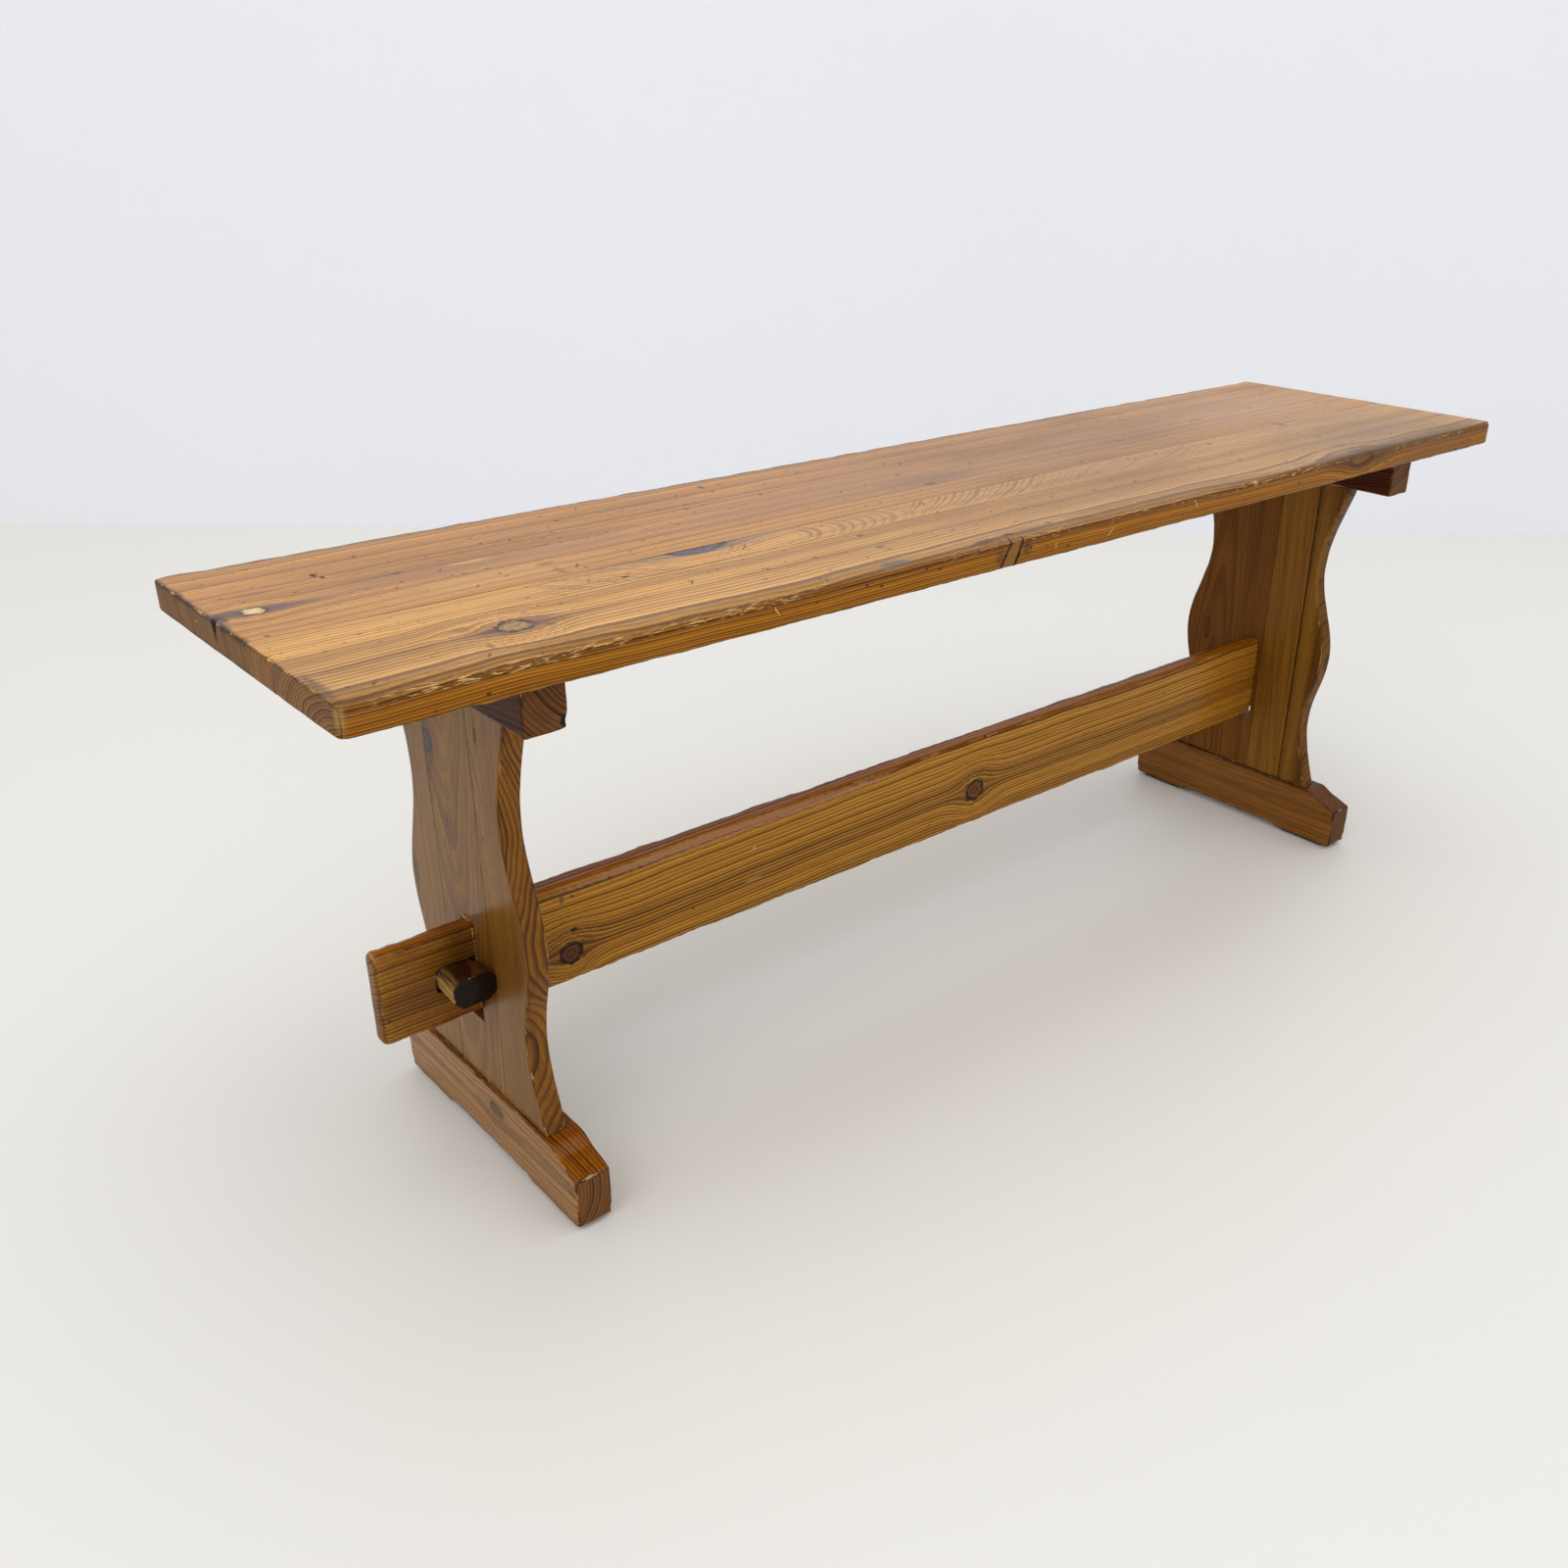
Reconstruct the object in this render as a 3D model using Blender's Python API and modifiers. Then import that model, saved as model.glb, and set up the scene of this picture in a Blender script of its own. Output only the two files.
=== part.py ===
"""Farmhouse bench in pine: a plank seat on two wavy trestles, tied by a keyed stretcher.

Metres, +Z up. X runs along the bench, the front is -Y, and the origin is on the floor below
the middle of the seat. Each trestle is a sledge foot, an upright of three edge-glued staves and
a cleat. The stretcher's tenons pass through the uprights, and a tapered key through each tenon
draws its shoulders against them. Pulling the two keys forward is what takes the bench apart.
"""

import math

import bmesh
import bpy
from mathutils import Matrix

# Driving sizes of the whole bench
BENCH_HEIGHT = 0.450
SEAT_LENGTH = 1.232
SEAT_WIDTH = 0.300
SEAT_THICKNESS = 0.022
SEAT_OVERHANG = 0.138
FIT_GAP = 0.0003
CUT_OVERRUN = 0.004

# Seat
FRONT_BOARD_WIDTH = 0.092
MIDDLE_BOARD_WIDTH = 0.038
SEAT_CORNER_RADIUS = 0.007
SEAT_END_ROUNDING = 0.0022
SEAT_UNDER_ROUNDING = 0.0028
SEAT_BACK_ROUNDING = 0.0040
WEAR_WIDTH = 0.0160
WEAR_WIDTH_SWING = 0.0040
WEAR_DROP = 0.0036
WEAR_DROP_SWING = 0.0006
WEAR_WAVE_LENGTH = 0.580
WEAR_RIPPLE_LENGTH = 0.125
WEAR_RIPPLE_SHARE = 0.30
WEAR_PHASE_SHARE = 0.095
WEAR_END_SHARES = (0.150, 0.225)
ARRIS_WIDTH = 0.0045
ARRIS_DROP = 0.0030
WEAR_CURVE_SHARES = ((1.0, 0.0), (0.55, 0.14), (0.22, 0.46), (0.06, 0.80), (0.0, 1.25))
SEAT_STATION_STEP = 0.024

# Cleat between each upright and the seat
CLEAT_WIDTH = 0.032
CLEAT_HEIGHT = 0.035
LEFT_CLEAT_OUTSET = 0.0043
RIGHT_CLEAT_OUTSET = 0.0012
CLEAT_SETBACK = 0.0135
CLEAT_ROUNDING = 0.0020

# Feet and the pads under them
PAD_THICKNESS = 0.0025
PAD_LENGTH = 0.050
PAD_WIDTH = 0.023
PAD_FROM_TOE = 0.012
PAD_ROUNDING = 0.0008
FOOT_LENGTH = 0.270
FOOT_WIDTH = 0.0295
FOOT_SHIFT = 0.0027
FOOT_HEIGHT = 0.0570
FOOT_TOE_HEIGHT = 0.0430
FOOT_SLOPE_LENGTH = 0.0350
FOOT_SLOPE_SAG_SHARES = (0.36, 0.47)
FOOT_TOE_CHAMFER = 0.0050
FOOT_ARCH_LENGTH = 0.132
FOOT_ARCH_DEPTH = 0.0032
FOOT_ARCH_RUN = 0.0060
FOOT_ROUNDING = 0.0022

# Uprights, whose wave runs on past both ends of the board
UPRIGHT_THICKNESS = 0.018
UPRIGHT_ROUNDING = 0.0024
FLARE_HALF_WIDTH = 0.0985
LOW_WAIST_HALF_WIDTH = 0.0749
BELLY_HALF_WIDTH = 0.0879
HIGH_WAIST_HALF_WIDTH = 0.0671
HEAD_HALF_WIDTH = 0.0955
WAVE_HEIGHT_SHARES = (-0.121, 0.213, 0.440, 0.722, 1.114)
WAVE_POINTS = 26
MORTISE_WALL = 0.005
LEFT_FRONT_LINE_SHARE = 0.49
LEFT_BACK_LINE_SHARE = 0.54
RIGHT_FRONT_LINE_SHARE = 0.85

# Stretcher and its tenons
STRETCHER_THICKNESS = 0.019
STRETCHER_BOTTOM = 0.1229
STRETCHER_HEIGHT = 0.0868
STRETCHER_ROUNDING = 0.0040
TOP_SHOULDER = 0.0066
BOTTOM_SHOULDER = 0.0035
TENON_CHEEK = 0.0003
TENON_REACH = 0.0770
TENON_END_ROUNDING_SHARE = 0.3
MORTISE_SIDE_CLEARANCE = 0.0006
MORTISE_BELOW_TENON = 0.0050

# Keys
KEY_LENGTH = 0.0780
KEY_FRONT_REACH = 0.0290
KEY_FRONT_WIDTH = 0.0337
KEY_FRONT_HEIGHT = 0.0240
KEY_BACK_WIDTH = 0.0277
KEY_BACK_HEIGHT = 0.0150
KEY_CHAMFER = 0.0065
KEY_ABOVE_TENON_BOTTOM = 0.0290
KEY_SLOT_HEADROOM = 0.0012
KEY_SLOT_END_ROOM = 0.0022
KEY_SLOT_INSIDE_UPRIGHT = 0.0060
KEY_SLOT_RADIUS = 0.0060
KEY_SLOT_STEPS = 4

# Screws and dowels
SCREW_SHANK_RADIUS = 0.0021
SCREW_HEAD_RADIUS = 0.0038
SCREW_HEAD_HEIGHT = 0.0022
SCREW_IN_SEAT = 0.0120
SCREW_POINT = 0.0040
SCREW_FROM_CLEAT_END = 0.0145
SCREW_END_ROOM = 0.0010
DOWEL_RADIUS = 0.0040
DOWEL_LENGTH = 0.0440
DOWEL_SPACING = 0.136
DOWEL_CHAMFER = 0.0008
DOWEL_END_ROOM = 0.0010
ROUND_SIDES = 20

# Heights and reaches worked out from the sizes above
SEAT_BOTTOM = BENCH_HEIGHT - SEAT_THICKNESS
CLEAT_TOP = SEAT_BOTTOM - FIT_GAP
CLEAT_BOTTOM = CLEAT_TOP - CLEAT_HEIGHT
CLEAT_LENGTH = SEAT_WIDTH - 2 * CLEAT_SETBACK
UPRIGHT_TOP = CLEAT_BOTTOM - FIT_GAP
FOOT_BOTTOM = PAD_THICKNESS + FIT_GAP
FOOT_TOP = FOOT_BOTTOM + FOOT_HEIGHT
UPRIGHT_BOTTOM = FOOT_TOP + FIT_GAP
UPRIGHT_HEIGHT = UPRIGHT_TOP - UPRIGHT_BOTTOM
DOWELLED_HEIGHTS = {"foot": FOOT_TOP + FIT_GAP / 2, "head": UPRIGHT_TOP + FIT_GAP / 2}
TRESTLE_X = SEAT_LENGTH / 2 - SEAT_OVERHANG
INNER_FACE_X = TRESTLE_X - UPRIGHT_THICKNESS / 2
OUTER_FACE_X = TRESTLE_X + UPRIGHT_THICKNESS / 2
TENON_BOTTOM = STRETCHER_BOTTOM + BOTTOM_SHOULDER
TENON_TOP = STRETCHER_BOTTOM + STRETCHER_HEIGHT - TOP_SHOULDER
TENON_END_X = OUTER_FACE_X + TENON_REACH
TENON_THICKNESS = STRETCHER_THICKNESS - 2 * TENON_CHEEK
MORTISE_HALF_WIDTH = STRETCHER_THICKNESS / 2 + MORTISE_SIDE_CLEARANCE
MORTISE_BOTTOM = TENON_BOTTOM - MORTISE_BELOW_TENON
MORTISE_TOP = TENON_TOP + FIT_GAP
KEY_BOTTOM = TENON_BOTTOM + KEY_ABOVE_TENON_BOTTOM
KEY_FRONT_Y = -STRETCHER_THICKNESS / 2 - KEY_FRONT_REACH
FRONT_SEAM_Y = FRONT_BOARD_WIDTH - SEAT_WIDTH / 2
BACK_SEAM_Y = FRONT_SEAM_Y + MIDDLE_BOARD_WIDTH
SCREW_Y = CLEAT_LENGTH / 2 - SCREW_FROM_CLEAT_END

SIDES = {"left": -1, "right": 1}
ENDS = {"front": -1, "back": 1}
CLEAT_X = {"left": -LEFT_CLEAT_OUTSET, "right": RIGHT_CLEAT_OUTSET}
UPRIGHT_TURN = (math.pi / 2, 0, math.pi / 2)
LENGTHWISE_TURN = (math.pi / 2, 0, 0)


def clear_scene():
    for obj in list(bpy.data.objects):
        bpy.data.objects.remove(obj, do_unlink=True)


def new_collection(name):
    collection = bpy.data.collections.new(name)
    bpy.context.scene.collection.children.link(collection)
    return collection


def finish(name, colour, roughness, metallic=0.0):
    """A Principled material of one colour."""
    material = bpy.data.materials.new(name)
    material.use_nodes = True
    shader = material.node_tree.nodes["Principled BSDF"]
    shader.inputs["Base Color"].default_value = (*colour, 1)
    shader.inputs["Roughness"].default_value = roughness
    shader.inputs["Metallic"].default_value = metallic
    return material


def place(mesh, name, material, location=(0, 0, 0), turn=(0, 0, 0), parent=None):
    """The mesh as a named object of the bench."""
    obj = bpy.data.objects.new(name, mesh)
    obj.location = location
    obj.rotation_euler = turn
    obj.parent = parent
    if material:
        mesh.materials.append(material)
    BENCH.objects.link(obj)
    return obj


def as_cutter(obj):
    """Moves a solid of the frame that only cuts or joins to the cutters, out of sight."""
    BENCH.objects.unlink(obj)
    CUTTERS.objects.link(obj)
    obj.hide_render = True
    obj.display_type = "WIRE"
    return obj


def cut(obj, cutter):
    modifier = obj.modifiers.new("cut_" + cutter.name, "BOOLEAN")
    modifier.operation = "DIFFERENCE"
    modifier.object = cutter


def outline_mesh(name, points, thickness):
    """A flat board: the outline lies in local XY and the thickness is centred on it."""
    curve = bpy.data.curves.new(name, "CURVE")
    curve.dimensions = "2D"
    curve.fill_mode = "BOTH"
    curve.extrude = thickness / 2
    spline = curve.splines.new("POLY")
    spline.points.add(len(points) - 1)
    for point, (across, up) in zip(spline.points, points):
        point.co = (across, up, 0, 1)
    spline.use_cyclic_u = True
    guide = bpy.data.objects.new(name + "_outline", curve)
    bpy.context.scene.collection.objects.link(guide)
    graph = bpy.context.evaluated_depsgraph_get()
    mesh = bpy.data.meshes.new_from_object(guide.evaluated_get(graph))
    mesh.transform(guide.matrix_world)
    bpy.data.objects.remove(guide)
    bpy.data.curves.remove(curve)
    work = bmesh.new()
    work.from_mesh(mesh)
    bmesh.ops.remove_doubles(work, verts=work.verts, dist=FIT_GAP / 10)
    flat = math.radians(0.05)
    bmesh.ops.dissolve_limit(work, angle_limit=flat, verts=work.verts, edges=work.edges)
    bmesh.ops.recalc_face_normals(work, faces=work.faces)
    work.to_mesh(mesh)
    work.free()
    return mesh


def box_mesh(name, size):
    """A box about its own centre."""
    mesh = bpy.data.meshes.new(name)
    work = bmesh.new()
    bmesh.ops.create_cube(work, size=1, matrix=Matrix.Diagonal((*size, 1)))
    work.to_mesh(mesh)
    work.free()
    return mesh


def rod_mesh(name, radius, length):
    """A round rod along Z about its own centre."""
    mesh = bpy.data.meshes.new(name)
    work = bmesh.new()
    bmesh.ops.create_cone(
        work, cap_ends=True, segments=ROUND_SIDES, radius1=radius, radius2=radius, depth=length
    )
    work.to_mesh(mesh)
    work.free()
    mesh.shade_smooth()
    mesh.set_sharp_from_angle(angle=math.radians(40))
    return mesh


def round_arrises(obj, width, segments=2, share=None):
    """Rounds the sharp edges by the width times share(middle), or by all of it with no share."""
    mesh = obj.data
    work = bmesh.new()
    work.from_mesh(mesh)
    weights = work.edges.layers.float.new("bevel_weight_edge")
    for edge in work.edges:
        middle = (edge.verts[0].co + edge.verts[1].co) / 2
        sharp = edge.calc_face_angle(0) > math.radians(25)
        edge[weights] = sharp * float(share(middle) if share else 1)
    work.to_mesh(mesh)
    work.free()
    modifier = obj.modifiers.new("rounding", "BEVEL")
    modifier.limit_method = "WEIGHT"
    modifier.width = width
    modifier.segments = segments
    modifier.use_clamp_overlap = True
    mesh.shade_smooth()
    mesh.set_sharp_from_angle(angle=math.radians(40))


def wear_wave(along):
    """From -1 to 1 along the bench: how far the hand-worn arris swings about its mean."""
    turn = math.tau * (along / WEAR_WAVE_LENGTH + WEAR_PHASE_SHARE)
    ripple = math.tau * along / WEAR_RIPPLE_LENGTH
    return (math.sin(turn) + WEAR_RIPPLE_SHARE * math.sin(ripple)) / (1 + WEAR_RIPPLE_SHARE)


def seat_stations():
    """Places along the bench for the seat's sections, closer together round the corners."""
    half = SEAT_LENGTH / 2
    corner = [SEAT_CORNER_RADIUS * (1 - math.cos(math.radians(turn))) for turn in (0, 30, 60, 90)]
    inner = half - corner[-1]
    count = max(2, round(2 * inner / SEAT_STATION_STEP))
    middle = [inner * (2 * i / count - 1) for i in range(count + 1)]
    low_end = [-half + step for step in corner[:-1]]
    high_end = [half - step for step in reversed(corner[:-1])]
    return low_end + middle + high_end


def corner_setback(along):
    """How far the long edge draws in where the seat's corner is rounded in plan."""
    past = abs(along) - (SEAT_LENGTH / 2 - SEAT_CORNER_RADIUS)
    if past <= 0:
        return 0
    return SEAT_CORNER_RADIUS - math.sqrt(max(0, SEAT_CORNER_RADIUS**2 - past**2))


def front_edge_section(along):
    """(inward, down) points of the front edge: hand-worn, then plain towards the right end."""
    start, stop = (share * SEAT_LENGTH for share in WEAR_END_SHARES)
    ease = min(max((stop - along) / (stop - start), 0), 1)
    worn_share = ease * ease * (3 - 2 * ease)
    width = WEAR_WIDTH + WEAR_WIDTH_SWING * wear_wave(along)
    drop = WEAR_DROP + WEAR_DROP_SWING * wear_wave(along)
    width = ARRIS_WIDTH + (width - ARRIS_WIDTH) * worn_share
    drop = ARRIS_DROP + (drop - ARRIS_DROP) * worn_share
    worn = [(width * inward, drop * down) for inward, down in WEAR_CURVE_SHARES]
    return worn + under_section()


def back_edge_section(along):
    """(inward, down) points of the lightly rounded back edge."""
    rounded = []
    for turn in (0, 30, 60, 90):
        angle = math.radians(turn)
        inward = SEAT_BACK_ROUNDING * (1 - math.sin(angle))
        rounded.append((inward, SEAT_BACK_ROUNDING * (1 - math.cos(angle))))
    return rounded + under_section()


def under_section():
    """(inward, down) points of the rounded lower arris, which both edges share."""
    points = []
    for turn in (0, 45, 90):
        angle = math.radians(turn)
        inward = SEAT_UNDER_ROUNDING * (1 - math.cos(angle))
        lift = SEAT_UNDER_ROUNDING * (1 - math.sin(angle))
        points.append((inward, SEAT_THICKNESS - lift))
    return points


def round_seat_ends(board, seams):
    """Rounds a seat board's arrises at both ends of the bench, but not at its seams."""
    near_end = SEAT_LENGTH / 2 - FIT_GAP
    on_seam = 2 * FIT_GAP

    def share(middle):
        off_seams = all(abs(middle.y - seam) > on_seam for seam in seams)
        return abs(middle.x) > near_end and off_seams

    round_arrises(board, SEAT_END_ROUNDING, share=share)


def edge_board(end_name, seam_middle, section, material):
    """A front or back board of the seat, lofted along X through sections of its outer edge."""
    name = "seat_board_" + end_name
    end = ENDS[end_name]
    seam = seam_middle + end * FIT_GAP / 2
    work = bmesh.new()
    rings = []
    for along in seat_stations():
        edge = end * (SEAT_WIDTH / 2 - corner_setback(along))
        outer = [(edge - end * inward, -down) for inward, down in section(along)]
        ring = [(seam, 0)] + outer + [(seam, -SEAT_THICKNESS)]
        rings.append([work.verts.new((along, across, up)) for across, up in ring])
    for ring, following in zip(rings, rings[1:]):
        for i in range(len(ring)):
            j = (i + 1) % len(ring)
            work.faces.new((ring[i], ring[j], following[j], following[i]))
    work.faces.new(rings[0])
    work.faces.new(rings[-1])
    bmesh.ops.recalc_face_normals(work, faces=work.faces)
    mesh = bpy.data.meshes.new(name)
    work.to_mesh(mesh)
    work.free()
    board = place(mesh, name, material, (0, 0, BENCH_HEIGHT))
    round_seat_ends(board, [seam])
    for side_name in SIDES:
        cut(board, PILOT_HOLES[side_name, end_name])
    return board


def middle_board(material):
    """The narrow board between the seat's two seams."""
    size = (SEAT_LENGTH, MIDDLE_BOARD_WIDTH - FIT_GAP, SEAT_THICKNESS)
    centre = (0, (FRONT_SEAM_Y + BACK_SEAM_Y) / 2, -SEAT_THICKNESS / 2)
    mesh = box_mesh("seat_board_middle", size)
    mesh.transform(Matrix.Translation(centre))
    board = place(mesh, "seat_board_middle", material, (0, 0, BENCH_HEIGHT))
    round_seat_ends(board, [FRONT_SEAM_Y + FIT_GAP / 2, BACK_SEAM_Y - FIT_GAP / 2])
    return board


def half_width(height_share):
    """The upright's half-width: half cosine waves between the template's waists and crests."""
    widths = (
        FLARE_HALF_WIDTH,
        LOW_WAIST_HALF_WIDTH,
        BELLY_HALF_WIDTH,
        HIGH_WAIST_HALF_WIDTH,
        HEAD_HALF_WIDTH,
    )
    stations = list(zip(WAVE_HEIGHT_SHARES, widths))
    for (low, first), (high, last) in zip(stations, stations[1:]):
        if height_share <= high:
            turn = math.pi * (height_share - low) / (high - low)
            return (first + last) / 2 + (first - last) / 2 * math.cos(turn)
    return HEAD_HALF_WIDTH


def stave_outline(low_line, high_line):
    """(across, up) outline of a stave, whose open side is None where the wave bounds it."""
    shares = [i / (WAVE_POINTS - 1) for i in range(WAVE_POINTS)]
    front = [(-half_width(share), share * UPRIGHT_HEIGHT) for share in shares]
    back = [(half_width(share), share * UPRIGHT_HEIGHT) for share in shares]
    if low_line is not None:
        front = [(low_line, 0), (low_line, UPRIGHT_HEIGHT)]
    if high_line is not None:
        back = [(high_line, 0), (high_line, UPRIGHT_HEIGHT)]
    return front + back[::-1]


def upright(side_name, material, trestle):
    """The three staves of one upright, with the mortise and the dowel holes."""
    if side_name == "left":
        front_line = -LEFT_FRONT_LINE_SHARE * HIGH_WAIST_HALF_WIDTH
        back_line = LEFT_BACK_LINE_SHARE * HIGH_WAIST_HALF_WIDTH
        mortised = "middle"
    else:
        front_line = -RIGHT_FRONT_LINE_SHARE * HIGH_WAIST_HALF_WIDTH
        back_line = -(MORTISE_HALF_WIDTH + MORTISE_WALL)
        mortised = "back"
    half_gap = FIT_GAP / 2
    bounds = {
        "front": (None, front_line - half_gap),
        "middle": (front_line + half_gap, back_line - half_gap),
        "back": (back_line + half_gap, None),
    }
    for stave_name, lines in bounds.items():
        name = f"{side_name}_stave_{stave_name}"
        mesh = outline_mesh(name, stave_outline(*lines), UPRIGHT_THICKNESS)
        stave = place(mesh, name, material, (0, 0, UPRIGHT_BOTTOM), UPRIGHT_TURN, trestle)
        glued = [line for line in lines if line is not None]

        def share(middle, glued=glued):
            at_end = min(middle.y, UPRIGHT_HEIGHT - middle.y) < half_gap
            return not at_end and all(abs(middle.x - line) > half_gap for line in glued)

        round_arrises(stave, UPRIGHT_ROUNDING, share=share)
        if stave_name == mortised:
            cut(stave, MORTISES[side_name])
        if stave_name in ENDS:
            cut(stave, DOWEL_HOLES[side_name, "foot", stave_name])
            cut(stave, DOWEL_HOLES[side_name, "head", stave_name])


def foot_outline():
    """(across, up) outline of a sledge foot, round from the back toe's floor corner."""
    toe = FOOT_LENGTH / 2
    shoulder = toe - FOOT_SLOPE_LENGTH
    along_share, drop_share = FOOT_SLOPE_SAG_SHARES
    sag = (
        shoulder + along_share * FOOT_SLOPE_LENGTH,
        FOOT_HEIGHT - drop_share * (FOOT_HEIGHT - FOOT_TOE_HEIGHT),
    )
    arch = FOOT_ARCH_LENGTH / 2
    half = [
        (arch - FOOT_ARCH_RUN, FOOT_ARCH_DEPTH),
        (arch, 0),
        (toe - FOOT_TOE_CHAMFER, 0),
        (toe, FOOT_TOE_CHAMFER),
        (toe, FOOT_TOE_HEIGHT),
        sag,
        (shoulder, FOOT_HEIGHT),
    ]
    return half + [(-across, up) for across, up in reversed(half)]


def foot(side_name, material, trestle):
    """A sledge foot with blind holes for the upright's dowels."""
    name = side_name + "_foot"
    mesh = outline_mesh(name, foot_outline(), FOOT_WIDTH)
    location = (FOOT_SHIFT, 0, FOOT_BOTTOM)
    piece = place(mesh, name, material, location, UPRIGHT_TURN, trestle)
    round_arrises(piece, FOOT_ROUNDING)
    for end_name in ENDS:
        cut(piece, DOWEL_HOLES[side_name, "foot", end_name])


def pads(side_name, material, trestle):
    """The two pads that the foot stands on, set in from its toes."""
    for end_name, end in ENDS.items():
        name = f"{side_name}_pad_{end_name}"
        mesh = box_mesh(name, (PAD_WIDTH, PAD_LENGTH, PAD_THICKNESS))
        across = end * (FOOT_LENGTH / 2 - PAD_FROM_TOE - PAD_LENGTH / 2)
        location = (FOOT_SHIFT, across, PAD_THICKNESS / 2)
        pad = place(mesh, name, material, location, parent=trestle)
        round_arrises(pad, PAD_ROUNDING, share=lambda middle: abs(middle.z) < FIT_GAP)


def cleat(side_name, material, trestle):
    """The cleat that carries the seat, bored for its screws and the upright's dowels."""
    name = side_name + "_cleat"
    mesh = box_mesh(name, (CLEAT_WIDTH, CLEAT_LENGTH, CLEAT_HEIGHT))
    middle_height = (CLEAT_TOP + CLEAT_BOTTOM) / 2
    location = (CLEAT_X[side_name], 0, middle_height)
    piece = place(mesh, name, material, location, parent=trestle)
    round_arrises(piece, CLEAT_ROUNDING)
    for end_name in ENDS:
        cut(piece, SCREW_HOLES[side_name, end_name])
        cut(piece, DOWEL_HOLES[side_name, "head", end_name])


def screw_mesh(name):
    """A round-head wood screw, head down, turned about Z with its seat at zero."""
    tip = CLEAT_HEIGHT + FIT_GAP + SCREW_IN_SEAT
    dome = [
        (SCREW_HEAD_RADIUS * math.cos(angle), -FIT_GAP - SCREW_HEAD_HEIGHT * math.sin(angle))
        for angle in (math.radians(turn) for turn in (0, 30, 60, 90))
    ]
    dome[-1] = (0, dome[-1][1])
    profile = [(0, tip), (SCREW_SHANK_RADIUS, tip - SCREW_POINT), (SCREW_SHANK_RADIUS, -FIT_GAP)]
    profile += dome
    mesh = bpy.data.meshes.new(name)
    edges = [(i, i + 1) for i in range(len(profile) - 1)]
    mesh.from_pydata([(radius, 0, up) for radius, up in profile], edges, [])
    return mesh


def screws(side_name, material, trestle):
    """The screws that go up through the cleat's ends into the seat."""
    for end_name, end in ENDS.items():
        name = f"{side_name}_screw_{end_name}"
        location = (CLEAT_X[side_name], end * SCREW_Y, CLEAT_BOTTOM)
        screw = place(screw_mesh(name), name, material, location, parent=trestle)
        turned = screw.modifiers.new("turned", "SCREW")
        turned.steps = turned.render_steps = ROUND_SIDES
        turned.use_merge_vertices = True
        turned.merge_threshold = FIT_GAP / 10


def dowels(side_name, material, trestle):
    """The dowels between upright and foot, and between upright and cleat."""
    for joint_name, height in DOWELLED_HEIGHTS.items():
        for end_name, end in ENDS.items():
            name = f"{side_name}_{joint_name}_dowel_{end_name}"
            location = (0, end * DOWEL_SPACING / 2, height)
            mesh = rod_mesh(name, DOWEL_RADIUS, DOWEL_LENGTH)
            dowel = place(mesh, name, material, location, parent=trestle)
            round_arrises(dowel, DOWEL_CHAMFER, segments=1)


def stretcher(material):
    """The long board on edge, whose shoulders stop at the uprights, and its slotted tenons."""
    middle = STRETCHER_BOTTOM + STRETCHER_HEIGHT / 2
    shoulder = INNER_FACE_X - FIT_GAP
    size = (2 * shoulder, STRETCHER_THICKNESS, STRETCHER_HEIGHT)
    piece = place(box_mesh("stretcher", size), "stretcher", material, (0, 0, middle))

    def long_edges(edge_middle):
        return abs(edge_middle.x) < shoulder - FIT_GAP

    round_arrises(piece, STRETCHER_ROUNDING, segments=3, share=long_edges)
    size = (2 * TENON_END_X, TENON_THICKNESS, TENON_TOP - TENON_BOTTOM)
    tenon_middle = (TENON_TOP + TENON_BOTTOM) / 2
    bar = place(box_mesh("tenon_bar", size), "tenon_bar", None, (0, 0, tenon_middle))

    def tenon_edges(edge_middle):
        return 1 if abs(edge_middle.x) < shoulder else TENON_END_ROUNDING_SHARE

    round_arrises(bar, STRETCHER_ROUNDING, segments=3, share=tenon_edges)
    joined = piece.modifiers.new("tenons", "BOOLEAN")
    joined.operation = "UNION"
    joined.object = as_cutter(bar)
    for side_name in SIDES:
        cut(piece, KEY_SLOTS[side_name])


def key(side_name, side, material):
    """A tapered key: one flank lies along the upright, the other and its top slope inwards."""
    name = side_name + "_key"
    mesh = box_mesh(name, (1, KEY_LENGTH, 1))
    for vertex in mesh.vertices:
        across = KEY_FRONT_Y + KEY_LENGTH / 2 + vertex.co.y
        outward = vertex.co.x * side > 0
        raised = vertex.co.z > 0
        vertex.co.x = outward * side * key_width_at(across)
        vertex.co.z = raised * key_height_at(across)
    location = (side * (OUTER_FACE_X + FIT_GAP), KEY_FRONT_Y + KEY_LENGTH / 2, KEY_BOTTOM)
    piece = place(mesh, name, material, location)
    end = KEY_LENGTH / 2 - FIT_GAP
    round_arrises(piece, KEY_CHAMFER, segments=1, share=lambda middle: abs(middle.y) < end)
    return piece


def key_width_at(across):
    """The key's width at a place across the bench."""
    share = (across - KEY_FRONT_Y) / KEY_LENGTH
    return KEY_FRONT_WIDTH + share * (KEY_BACK_WIDTH - KEY_FRONT_WIDTH)


def key_height_at(across):
    """The key's height at a place across the bench."""
    share = (across - KEY_FRONT_Y) / KEY_LENGTH
    return KEY_FRONT_HEIGHT + share * (KEY_BACK_HEIGHT - KEY_FRONT_HEIGHT)


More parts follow.
